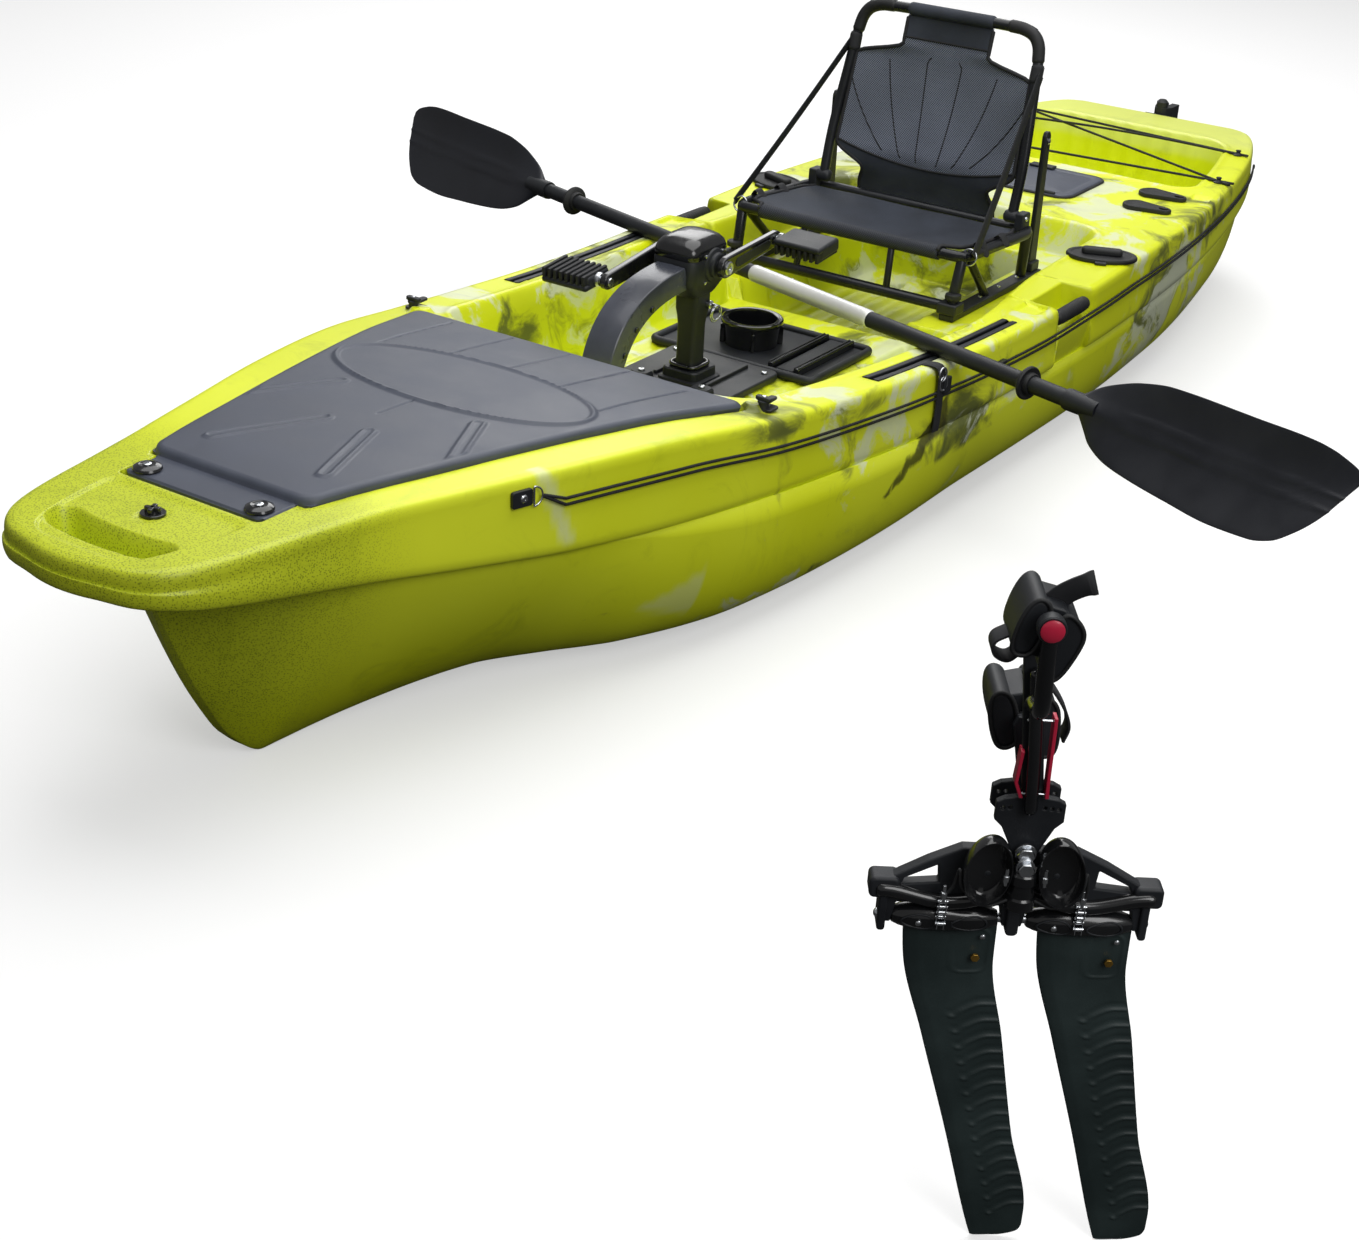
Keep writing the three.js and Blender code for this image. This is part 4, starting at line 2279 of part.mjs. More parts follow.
function fin(side) {
  const f = FIN_DRIVE;
  const x = side * f.hubPlace;
  const hub = turned([
    [0, -f.hubHalf],
    [f.hubRadius * 0.5, -f.hubHalf],
    [f.hubRadius, -f.hubHalf * 0.35],
    [f.hubRadius, f.hubHalf * 0.35],
    [f.hubRadius * 0.5, f.hubHalf],
    [0, f.hubHalf],
  ], 18).rotateY(Math.PI / 2).translate(x, 0, f.axleHeight);
  const bore = barX(f.axleRadius + GAP, x - f.barHalf, x + f.barHalf, 0, f.axleHeight, 14);
  const rings = FIN_TABLE.map(([at, front, back, thick]) => {
    const z = f.axleHeight + (f.floorGap - f.axleHeight) * at;
    const half = thick / 2;
    return [
      [front, 0],
      [front + (back - front) * 0.12, -half],
      [front + (back - front) * 0.5, -half * 0.7],
      [back, -half * 0.25],
      [back, half * 0.25],
      [front + (back - front) * 0.5, half * 0.7],
      [front + (back - front) * 0.12, half],
    ].map(([u, v]) => vec(x + u, v, z));
  });
  return cut(joined(hub, loft(rings)), bore);
}

// Assembly

const FINISH = {
  hull: material(LIME, 0.45),
  lid: material(SLATE, 0.5),
  black: material(BLACK, 0.5),
  gloss: material(BLACK, 0.25),
  rubber: material(RUBBER, 0.85),
  slate: material(SLATE, 0.4),
  tube: material(BLACK, 0.35, 0.4),
  cloth: material(MESH_GREY, 0.9),
  steel: material(STEEL, 0.3, 0.9),
};

const SIDES = [['port', PORT], ['starboard', STARBOARD]];

function addHull() {
  const s = STATION_SHARES;
  piece('hull', hull(), FINISH.hull);
  piece('front_hatch_lid', frontHatchLid(), FINISH.lid);
  piece('bow_drain_plug', drainPlug(), FINISH.black);
  piece('rear_hatch_lid', rearHatchLid(), FINISH.lid);
  SIDES.forEach(([name, side]) => {
    piece(`hatch_bolt_${name}`, pivotBolt(side), FINISH.black);
    piece(`hatch_latch_${name}`, hatchLatch(side), FINISH.black);
    piece(`gear_track_${name}`, gearTrack(side), FINISH.black);
    piece(`carry_handle_${name}`, carryHandle(side), FINISH.rubber);
    piece(`rod_tube_cap_${name}`, rodCap(side), FINISH.black);
    piece(`rod_lid_front_${name}`, flushLid(side, s.flushLidFront), FINISH.rubber);
    piece(`rod_lid_back_${name}`, flushLid(side, s.flushLidBack), FINISH.rubber);
  });
  piece('tank_well_bungee', bungee(), FINISH.rubber);
  piece('trolley_line', trolleyLine(), FINISH.rubber);
}

function addDrive() {
  piece('drive_base_plate', basePlate(), FINISH.black);
  piece('drive_mast', driveMast(), FINISH.black);
  piece('gearbox_housing', gearboxHousing(), FINISH.gloss);
  piece('gearbox_cover', gearboxCover(), FINISH.gloss);
  piece('crank_spindle', crankSpindle(), FINISH.steel);
  piece('drive_shaft', driveShaft(), FINISH.steel);
  SIDES.forEach(([name, side]) => {
    piece(`crank_arm_${name}`, crankArm(side), FINISH.black);
    piece(`pedal_${name}`, pedal(side, CRANK.tilt), FINISH.black);
  });
  piece('arch_guard', archGuard(), FINISH.slate);
  piece('release_pin', quickReleasePin(), FINISH.steel);
  piece('drive_leg', driveLeg(), FINISH.black);
  piece('propeller', propeller(), FINISH.black);
  piece('console_tray', consoleTray(), FINISH.black);
  piece('cup_holder', cupHolder(), FINISH.black);
}

function addSeat() {
  piece('seat_base_frame', seatBaseFrame(), FINISH.tube);
  piece('seat_sling', seatSling(), FINISH.cloth);
  piece('seat_back_frame', seatBackFrame(), FINISH.tube);
  piece('seat_back_panel', seatBackPanel(), FINISH.cloth);
  SIDES.forEach(([name, side]) => {
    piece(`seat_strap_${name}`, seatStrap(side), FINISH.cloth);
  });
}

function addRudder() {
  piece('rudder_bracket', rudderBracket(), FINISH.black);
  piece('rudder_head', rudderHead(), FINISH.black);
  piece('rudder_blade', rudderBlade(), FINISH.black);
}

function addPaddle() {
  const rolls = { port: PADDLE.portRoll, starboard: PADDLE.starboardRoll };
  SIDES.forEach(([name, side]) => {
    piece(`paddle_shaft_${name}`, paddleShaft(side), FINISH.black);
    piece(`paddle_blade_${name}`, paddleBlade(side, rolls[name]), FINISH.black);
    piece(`drip_ring_${name}`, dripRing(side), FINISH.rubber);
  });
  piece('paddle_ferrule', paddleFerrule(), FINISH.steel);
}

function addFinDrive() {
  const f = FIN_DRIVE;
  const group = finDriveGroup();
  piece('fin_drive_frame', finFrame(), FINISH.black, group);
  piece('fin_arm_near', finArm(STARBOARD, f.nearReach, f.nearLean), FINISH.black, group);
  piece('fin_arm_far', finArm(PORT, f.farReach, f.farLean), FINISH.black, group);
  piece('fin_pedal_near', finPedal(STARBOARD, f.nearReach, f.nearLean, f.pedalTilt), FINISH.black, group);
  piece('fin_pedal_far', finPedal(PORT, f.farReach, f.farLean, f.pedalTilt), FINISH.black, group);
  piece('fin_bow', fin(STARBOARD), FINISH.rubber, group);
  piece('fin_stern', fin(PORT), FINISH.rubber, group);
}

addHull();
addDrive();
addSeat();
addRudder();
addPaddle();
addFinDrive();

export default root;
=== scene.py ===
"""Visual model of a sit-on-top pedal kayak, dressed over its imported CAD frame.

Metres, +Z up, bow towards -Y, port on +X, origin on the flat of the keel below the seat.
"""
from __future__ import annotations

import json
import logging
import math
from dataclasses import dataclass, field
from enum import Enum

import bmesh
import bpy
import numpy as np
from mathutils import Matrix, Vector

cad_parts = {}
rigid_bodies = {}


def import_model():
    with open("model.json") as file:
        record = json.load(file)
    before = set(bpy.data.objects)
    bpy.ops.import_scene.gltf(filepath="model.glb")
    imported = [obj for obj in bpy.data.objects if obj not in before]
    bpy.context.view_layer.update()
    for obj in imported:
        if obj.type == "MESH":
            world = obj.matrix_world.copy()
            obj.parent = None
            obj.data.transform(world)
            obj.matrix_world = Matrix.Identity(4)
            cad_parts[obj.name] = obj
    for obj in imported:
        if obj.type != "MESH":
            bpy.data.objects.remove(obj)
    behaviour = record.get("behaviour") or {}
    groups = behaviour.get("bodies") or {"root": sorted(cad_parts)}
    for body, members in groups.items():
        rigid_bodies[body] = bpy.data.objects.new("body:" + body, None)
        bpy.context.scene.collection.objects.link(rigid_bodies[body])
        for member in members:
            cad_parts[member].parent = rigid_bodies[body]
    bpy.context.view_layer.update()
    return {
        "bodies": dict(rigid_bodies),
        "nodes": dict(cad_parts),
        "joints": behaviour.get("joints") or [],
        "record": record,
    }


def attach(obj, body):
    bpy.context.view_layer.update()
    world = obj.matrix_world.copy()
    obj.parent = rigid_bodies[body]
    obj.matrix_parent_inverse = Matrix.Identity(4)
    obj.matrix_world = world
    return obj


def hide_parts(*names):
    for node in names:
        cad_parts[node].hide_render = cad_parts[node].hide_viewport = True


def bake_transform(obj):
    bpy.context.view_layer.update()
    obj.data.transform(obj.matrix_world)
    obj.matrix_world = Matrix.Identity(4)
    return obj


LOG = logging.getLogger("kayak")
Array = np.ndarray
PORT, STARBOARD = 1.0, -1.0
SIDES = (("port", PORT), ("starboard", STARBOARD))
QUARTER = math.pi / 2
BOW_TIP = 2.196  # metres from the bow's tip to the origin
TRACK_INSET = 0.047  # from the gunwale to the middle of a gear track


def srgb(red: int, green: int, blue: int) -> tuple[float, float, float, float]:
    """Linear colour from 8-bit display values.

    Args:
        red, green, blue: display values, 0 to 255.

    Returns:
        The colour that a shader socket takes.
    """
    def linear(value: float) -> float:
        value /= 255
        return value / 12.92 if value <= 0.04045 else ((value + 0.055) / 1.055) ** 2.4
    return (linear(red), linear(green), linear(blue), 1.0)


def smoothstep(value: Array) -> Array:
    """Ease from 0 to 1 with level ends, over an input of 0 to 1."""
    t = np.clip(value, 0.0, 1.0)
    return t * t * (3 - 2 * t)


def bump(value: Array, centre: float, width: float) -> Array:
    """A bell of height 1 round a centre, that falls off over a width."""
    return np.exp(-(((value - centre) / width) ** 2))


class Curve:
    """Smooth function through a table's column that doesn't overshoot."""

    def __init__(self, table: Array, column: int) -> None:
        self.x = table[:, 0]
        self.y = table[:, column]
        secant = np.diff(self.y) / np.diff(self.x)
        product = secant[:-1] * secant[1:]
        total = secant[:-1] + secant[1:]
        inner = np.where(product > 0, 2 * product / np.where(total == 0, 1, total), 0)
        self.slope = np.concatenate([secant[:1], inner, secant[-1:]])

    def __call__(self, at: Array) -> Array:
        """Value at a share, by the cubic between the two rows round it."""
        at = np.clip(at, self.x[0], self.x[-1])
        i = np.clip(np.searchsorted(self.x, at, side="right") - 1, 0, len(self.x) - 2)
        width = self.x[i + 1] - self.x[i]
        t = (at - self.x[i]) / width
        blend = t * t * (3 - 2 * t)
        lead = self.slope[i] * width * t * (1 - t) ** 2
        trail = self.slope[i + 1] * width * t * t * (1 - t)
        return self.y[i] + (self.y[i + 1] - self.y[i]) * blend + lead - trail


# Materials

class Nodes:
    """Short hand for adding shader nodes to one tree."""

    def __init__(self, tree: bpy.types.NodeTree) -> None:
        self.tree = tree

    def add(self, kind: str, inputs: dict | None = None, **settings: object) -> bpy.types.Node:
        """Adds a node, sets its properties, and links or sets its inputs.

        Args:
            kind: the node's type without the ShaderNode prefix.
            inputs: socket name or number to a value or to another socket.
            settings: properties of the node.

        Returns:
            The new node.
        """
        node = self.tree.nodes.new(f"ShaderNode{kind}")
        for key, value in settings.items():
            setattr(node, key, value)
        for key, value in (inputs or {}).items():
            if isinstance(value, bpy.types.NodeSocket):
                self.tree.links.new(value, node.inputs[key])
            else:
                node.inputs[key].default_value = value
        return node

    def mix(self, factor: object, first: object, second: object) -> bpy.types.NodeSocket:
        """Colour that goes from the first to the second with the factor."""
        node = self.add("Mix", data_type="RGBA")
        for socket, value in ((node.inputs[0], factor), (node.inputs[6], first), (node.inputs[7], second)):
            if isinstance(value, bpy.types.NodeSocket):
                self.tree.links.new(value, socket)
            else:
                socket.default_value = value
        return node.outputs[2]

    def math(self, operation: str, *values: object) -> bpy.types.NodeSocket:
        """Result of a Math node."""
        return self.add("Math", dict(enumerate(values)), operation=operation).outputs[0]

    def times(self, *values: object) -> bpy.types.NodeSocket:
        """Product of two values."""
        return self.math("MULTIPLY", *values)

    def noise(self, place: object, scale: float, detail: float, rough: float = 0.5) -> bpy.types.NodeSocket:
        """Noise over a place, in cells per metre."""
        settings = {"Vector": place, "Scale": scale, "Detail": detail, "Roughness": rough}
        return self.add("TexNoise", settings).outputs[0]

    def bump(self, node: bpy.types.Node, height: object, strength: float, distance: float) -> None:
        """Gives a shader a bump from a height."""
        lift = self.add("Bump", {"Height": height, "Strength": strength, "Distance": distance})
        self.tree.links.new(lift.outputs[0], node.inputs["Normal"])

    def ramp(self, value: bpy.types.NodeSocket, low: float, high: float) -> bpy.types.NodeSocket:
        """Eases from 0 at low to 1 at high."""
        node = self.add("MapRange", {"Value": value, "From Min": low, "From Max": high})
        node.interpolation_type = "SMOOTHSTEP"
        return node.outputs[0]


def blank(name: str) -> tuple[bpy.types.Material, Nodes, bpy.types.Node]:
    material = bpy.data.materials.new(name)
    material.use_nodes = True
    return material, Nodes(material.node_tree), material.node_tree.nodes["Principled BSDF"]


class Shared(Enum):
    """Names of the node groups that the materials share."""

    GRAIN = "grain"


def grain_group() -> bpy.types.NodeTree:
    """Fine moulded grain with a little colour drift, from object coordinates."""
    tree = bpy.data.node_groups.new(Shared.GRAIN.value, "ShaderNodeTree")
    tree.interface.new_socket("Scale", in_out="INPUT", socket_type="NodeSocketFloat")
    tree.interface.new_socket("Height", in_out="OUTPUT", socket_type="NodeSocketFloat")
    tree.interface.new_socket("Drift", in_out="OUTPUT", socket_type="NodeSocketFloat")
    kit = Nodes(tree)
    enter = tree.nodes.new("NodeGroupInput")
    leave = tree.nodes.new("NodeGroupOutput")
    place = kit.add("TexCoord").outputs["Object"]
    tree.links.new(kit.noise(place, enter.outputs[0], 3.0, 0.6), leave.inputs[0])
    tree.links.new(kit.noise(place, 9.0, 4.0, 0.55), leave.inputs[1])
    return tree


@dataclass(frozen=True)
class Finish:
    """A moulded or painted finish with grain, drift and wear.

    Args:
        name: the material's name, also a slot of the record.
        colour: display colour, 0 to 255.
        roughness: mean roughness.
        metal: metalness.
        grain: grain scale, in cells per metre.
        depth: strength of the grain's bump.
        drift: how far the colour drifts from light to dark.
        coat: weight of a clear coat.
    """

    name: str
    colour: tuple[int, int, int]
    roughness: float
    metal: float = 0.0
    grain: float = 900.0
    depth: float = 0.15
    drift: float = 0.25
    coat: float = 0.0

    def build(self) -> bpy.types.Material:
        """Makes the material: colour and roughness drift, grain as bump, dust in the broad noise."""
        material, kit, shader = blank(self.name)
        group = kit.add("Group", node_tree=bpy.data.node_groups[Shared.GRAIN.value])
        group.inputs[0].default_value = self.grain
        height, drift = group.outputs[0], kit.ramp(group.outputs[1], 0.3, 0.72)
        base = srgb(*self.colour)
        dark = tuple(c * (1 - self.drift) for c in base[:3]) + (1.0,)
        light = tuple(min(c * (1 + self.drift) + 0.004, 1) for c in base[:3]) + (1.0,)
        kit.tree.links.new(kit.mix(drift, dark, light), shader.inputs["Base Color"])
        rough = kit.add("MapRange",
                        {"Value": drift, "To Min": self.roughness - 0.06, "To Max": self.roughness + 0.06})
        kit.tree.links.new(rough.outputs[0], shader.inputs["Roughness"])
        kit.bump(shader, height, self.depth, 0.0006)
        shader.inputs["Metallic"].default_value = self.metal
        shader.inputs["Coat Weight"].default_value = self.coat
        return material


@dataclass(frozen=True)
class HullFinish:
    """Marbled rotomoulded plastic. Vertex attributes say where the marbling and speckle lie, where a scratch
    and a painted shadow of the paddle are drawn in brown, and where a pale wedge and painted highlights are
    drawn pale.
    """

    name: str = "hull_lime"
    lime: tuple[int, int, int] = (218, 228, 8)
    pale: tuple[int, int, int] = (232, 242, 46)
    olive: tuple[int, int, int] = (172, 184, 14)
    dark: tuple[int, int, int] = (52, 60, 48)
    white: tuple[int, int, int] = (226, 232, 205)
    # Brown of a scratch and of the painted shadow of the paddle.
    shadow_and_scratch_brown: tuple[int, int, int] = (44, 38, 18)

    def build(self) -> bpy.types.Material:
        """Lime base, dark and pale swirls from stretched noise, speckle, a brown scratch and painted shadow
        of the paddle, and a pale wedge and painted highlights.
        """
        material, kit, shader = blank(self.name)
        tree = kit.tree
        place = kit.add("TexCoord").outputs["Object"]
        warp = kit.add("TexNoise", {"Vector": place, "Scale": 2.2, "Detail": 3.0, "Roughness": 0.55})
        drag = kit.add("VectorMath", {0: warp.outputs["Color"], 1: (0.55, 0.9, 0.45)}, operation="MULTIPLY")
        bent = kit.add("VectorMath", {0: place, 1: drag.outputs[0]}, operation="ADD").outputs[0]
        swirl = kit.noise(bent, 4.2, 7.0, 0.62)
        wisp = kit.noise(bent, 6.5, 8.0, 0.66)
        broad = kit.noise(place, 1.6, 2.0)
        amount, speckled, shadowed_and_scratched, pale_and_highlighted = (kit.add("Attribute", attribute_name=name).outputs["Fac"]
                                               for name in ("marble", "speckle", "shadow_and_scratch", "pale_and_highlight"))
        base = kit.mix(kit.ramp(broad, 0.35, 0.7), srgb(*self.lime), srgb(*self.pale))
        base = kit.mix(kit.times(kit.ramp(wisp, 0.5, 0.72), 0.45), base, srgb(*self.olive))
        limit = kit.math("SUBTRACT", 0.74, kit.times(amount, 0.24))
        over = kit.math("SUBTRACT", swirl, limit)
        base = kit.mix(kit.times(kit.ramp(over, 0.0, 0.13), kit.times(amount, 0.85)), base, srgb(*self.dark))
        pale_limit = kit.math("SUBTRACT", 0.75, kit.times(amount, 0.25))
        pale_over = kit.math("SUBTRACT", wisp, pale_limit)
        base = kit.mix(kit.times(kit.ramp(pale_over, 0.0, 0.08), kit.times(amount, 0.75)), base,
                       srgb(*self.white))
        dots = kit.add("TexVoronoi", {"Vector": place, "Scale": 320.0, "Randomness": 1.0}).outputs["Distance"]
        dot = kit.times(kit.ramp(dots, 0.46, 0.2), kit.times(speckled, 0.74))
        base = kit.mix(kit.times(speckled, 0.55), base, srgb(164, 178, 30))
        base = kit.mix(dot, base, srgb(104, 116, 16))
        # Brown over the base: a scratch and a painted shadow of the paddle, with edges ragged by noise.
        scratch = kit.noise(place, 40.0, 6.0, 0.8)
        tear = kit.times(kit.math("SUBTRACT", scratch, 0.5), 0.7)
        ragged = kit.ramp(kit.math("ADD", shadowed_and_scratched, tear), 0.35, 0.75)
        base = kit.mix(kit.times(ragged, 0.85), base, srgb(*self.shadow_and_scratch_brown))
        # Pale over that: a pale wedge, and painted highlights on the port bow and on the stern top.
        base = kit.mix(kit.times(pale_and_highlighted, 0.8), base, srgb(*self.white))
        tree.links.new(base, shader.inputs["Base Color"])
        fine = kit.noise(place, 700.0, 3.0)
        orange = kit.noise(place, 60.0, 2.0)
        height = kit.math("ADD", kit.times(fine, 0.35), orange)
        kit.bump(shader, height, 0.12, 0.0012)
        rough = kit.add("MapRange", {"Value": broad, "To Min": 0.3, "To Max": 0.46})
        tree.links.new(rough.outputs[0], shader.inputs["Roughness"])
        return material


@dataclass(frozen=True)
class ClothFinish:
    """Woven mesh or webbing, drawn from the piece's own UV map.

    Args:
        name: the material's name.
        colour: thread colour.
        gap: colour between the threads.
        threads: thread pairs per metre of the UV map.
        rough: roughness.
    """

    name: str
    colour: tuple[int, int, int]
    gap: tuple[int, int, int]
    threads: float
    rough: float = 0.7

    def build(self) -> bpy.types.Material:
        """Two crossed wave patterns give the weave's colour and height."""
        material, kit, shader = blank(self.name)
        tree = kit.tree
        place = kit.add("UVMap", uv_map="UVMap").outputs[0]
        split = kit.add("SeparateXYZ", {0: place})
        turns = self.threads * math.tau
        along = kit.math("SINE", kit.times(split.outputs[0], turns))
        across = kit.math("SINE", kit.times(split.outputs[1], turns))
        check = kit.times(along, across)
        weave = kit.ramp(check, -0.35, 0.55)
        drift = kit.noise(place, 7.0, 4.0)
        tone = kit.mix(kit.ramp(drift, 0.3, 0.75), srgb(*self.colour),
                       tuple(min(c * 1.35, 1) for c in srgb(*self.colour)[:3]) + (1.0,))
        tree.links.new(kit.mix(weave, srgb(*self.gap), tone), shader.inputs["Base Color"])
        kit.bump(shader, weave, 0.5, 0.0008)
        shader.inputs["Roughness"].default_value = self.rough
        return material


class Palette:
    """All the finishes, by name."""

    def __init__(self) -> None:
        grain_group()
        finishes = [
            HullFinish(),
            Finish("lid_slate", (70, 75, 88), 0.44, grain=1400, depth=0.25, drift=0.08),
            Finish("black_plastic", (23, 26, 31), 0.52, depth=0.3),
            Finish("black_gloss", (18, 19, 21), 0.2, depth=0.05, coat=0.4),
            Finish("black_rubber", (22, 23, 25), 0.62, depth=0.5, grain=600),
            Finish("guard_slate", (62, 65, 74), 0.28, depth=0.08, coat=0.15),
            Finish("seat_tube", (28, 30, 34), 0.3, metal=0.25, depth=0.05, grain=1600),
            Finish("bright_steel", (205, 208, 212), 0.24, metal=1.0, depth=0.05, drift=0.06),
            Finish("silver_tube", (222, 222, 220), 0.34, metal=0.25, depth=0.05, drift=0.05),
            Finish("blade_black", (15, 18, 27), 0.38, depth=0.12, drift=0.15),
            Finish("fin_rubber", (38, 50, 50), 0.46, depth=0.25, grain=500),
            Finish("red_paint", (196, 34, 66), 0.34, depth=0.05, coat=0.3),
            Finish("brass", (176, 138, 62), 0.35, metal=0.9, depth=0.1),
            Finish("panel_cloth", (46, 51, 61), 0.78, depth=0.6, grain=1100),
            ClothFinish("mesh_cloth", (132, 140, 158), (15, 16, 20), 215.0),
            ClothFinish("mesh_dark", (52, 57, 68), (18, 19, 24), 210.0),
            ClothFinish("webbing", (34, 36, 41), (14, 15, 17), 420.0, 0.65),
            Finish("webbing_black", (25, 26, 30), 0.7, depth=0.6, grain=1500)]
        self.by_name = {finish.name: finish.build() for finish in finishes}

    def __getitem__(self, name: str) -> bpy.types.Material:
        """The material of that name."""
        return self.by_name[name]


# Mesh building

@dataclass
class Maker:
    """Makes mesh pieces, gives each its material and seats it on its CAD body."""

    palette: Palette
    count: int = 0

    def place(self, obj: bpy.types.Object, body: str, finish: str, replaces: tuple[str, ...] = ()) -> None:
        """Assigns the finish, body and replaced nodes of a new piece.

        Args:
            obj: the piece.
            body: the body it rides on; empty for a piece that spans two bodies and so rides on neither.
            finish: name of a finish of the palette.
            replaces: nodes of the CAD frame that the piece stands for.
        """
        obj.data.materials.clear()
        obj.data.materials.append(self.palette[finish])
        if body:
            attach(obj, body)
        if replaces:
            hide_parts(*replaces)
        self.count += 1
        LOG.info("%s on %s", obj.name, body)

    def mesh(self, name: str, verts: Array, faces: list | Array, crease: float = 40.0) -> bpy.types.Object:
        """Object from points and faces, shaded smooth except over sharp edges.

        Args:
            name: the piece's name.
            verts: points, one row each.
            faces: corner indices of each face.
            crease: angle in degrees above which an edge is drawn sharp.

        Returns:
            The new object, at the origin.
        """
        data = bpy.data.meshes.new(name)
        faces = faces.tolist() if isinstance(faces, np.ndarray) else faces
        data.from_pydata(verts.tolist(), [], faces)
        data.polygons.foreach_set("use_smooth", np.ones(len(data.polygons), dtype=bool))
        data.set_sharp_from_angle(angle=math.radians(crease))
        obj = bpy.data.objects.new(name, data)
        bpy.context.scene.collection.objects.link(obj)
        return obj

    def weld(self, obj: bpy.types.Object, reach: float = 1e-6, outward: bool = True) -> None:
        """Merges points that lie together and turns the faces outward."""
        work = bmesh.new()
        work.from_mesh(obj.data)
        bmesh.ops.remove_doubles(work, verts=work.verts, dist=reach)
        bmesh.ops.dissolve_degenerate(work, edges=work.edges, dist=reach)
        if outward:
            bmesh.ops.recalc_face_normals(work, faces=work.faces)
        work.to_mesh(obj.data)
        work.free()

    def grid(self, name: str, points: Array, wrap: bool = False, crease: float = 40.0, weld: bool = True,
             flip: bool = False) -> bpy.types.Object:
        """Surface over a grid of points, rows by columns.

        Args:
            name: the piece's name.
            points: array of rows, columns and 3.
            wrap: whether the last column joins the first.
            crease: sharp angle in degrees.
            weld: whether to merge points and turn faces outward.
            flip: whether to turn every face over.

        Returns:
            The new object.
        """
        rows, columns = points.shape[:2]
        index = np.arange(rows * columns).reshape(rows, columns)
        right = np.roll(index, -1, axis=1)
        stop = columns if wrap else columns - 1
        quads = np.stack([index[:-1, :stop], right[:-1, :stop], right[1:, :stop], index[1:, :stop]], axis=-1)
        quads = quads.reshape(-1, 4)
        if flip:
            quads = quads[:, ::-1]
        obj = self.mesh(name, points.reshape(-1, 3), quads, crease)
        if weld:
            self.weld(obj)
            obj.data.set_sharp_from_angle(angle=math.radians(crease))
        return obj

    def sweep(self, name: str, path: Array, radius: float | Array, sides: int = 12, closed: bool = False,
              squash: float = 1.0) -> bpy.types.Object:
        """Round tube along a path, with a dome on each open end.

        The ring at each point stands square to the path, and turns as little as it can from the
        ring before it.

        Args:
            name: the piece's name.
            path: points along the centre line.
            radius: one radius, or one for each point.
            sides: points round the ring.
            closed: whether the path ends where it starts.
            squash: height of the section as a share of its width.

        Returns:
            The new object.
        """
        rings = tube_rings(path, radius, sides, closed, squash)
        return self.grid(name, rings, wrap=True, crease=60.0)

    def lathe(self, name: str, profile: list[tuple[float, float]], matrix: Matrix | None = None,
              sides: int = 40, crease: float = 32.0) -> bpy.types.Object:
        """Turned form about Z from radius and height pairs, then put in place by a matrix."""
        line = np.array(profile)
        angle = angles(sides)
        x = line[:, :1] * np.cos(angle)
        y = line[:, :1] * np.sin(angle)
        z = np.repeat(line[:, 1:], sides, axis=1)
        obj = self.grid(name, np.stack([x, y, z], axis=-1), wrap=True, crease=crease)
        if matrix is not None:
            obj.data.transform(matrix)
        return obj

    def prism(self, name: str, outline: list | Array, low: float, high: float, matrix: Matrix | None = None,
              bevel: float = 0.0, segments: int = 3) -> bpy.types.Object:
        """Plate with a flat outline between two heights, with rounded edges.

        Args:
            name: the piece's name.
            outline: x and y of each corner.
            low, high: heights of the two faces.
            matrix: where to put it.
            bevel: radius of the rounded edges.
            segments: steps in the rounding.

        Returns:
            The new object.
        """
        flat = np.array(outline, dtype=float)
        count = len(flat)
        bottom = np.column_stack([flat, np.full(count, low)])
        top = np.column_stack([flat, np.full(count, high)])
        ring = np.arange(count)
        after = np.roll(ring, -1)
        sides = np.stack([ring, after, after + count, ring + count], axis=-1).tolist()
        faces = sides + [ring[::-1].tolist(), (ring + count).tolist()]
        obj = self.mesh(name, np.vstack([bottom, top]), faces)
        if matrix is not None:
            obj.data.transform(matrix)
        self.weld(obj)
        if bevel > 0:
            self.bevel(obj, bevel, segments)
        return obj

    def block(self, name: str, low: tuple, high: tuple, bevel: float = 0.002,
              matrix: Matrix | None = None) -> bpy.types.Object:
        """Box between two corners with rounded edges."""
        outline = [(low[0], low[1]), (high[0], low[1]), (high[0], high[1]), (low[0], high[1])]
        return self.prism(name, outline, low[2], high[2], matrix, bevel)

    def bevel(self, obj: bpy.types.Object, width: float, segments: int = 3, angle: float = 30.0) -> None:
        """Rounds the edges that are sharper than an angle, as a live modifier."""
        step = obj.modifiers.new("edges", "BEVEL")
        step.width = width
        step.segments = segments
        step.limit_method = "ANGLE"
        step.angle_limit = math.radians(angle)
        step.harden_normals = False


def angles(steps: int) -> Array:
    """Even steps of a full turn, from zero."""
    return np.arange(steps) * math.tau / steps


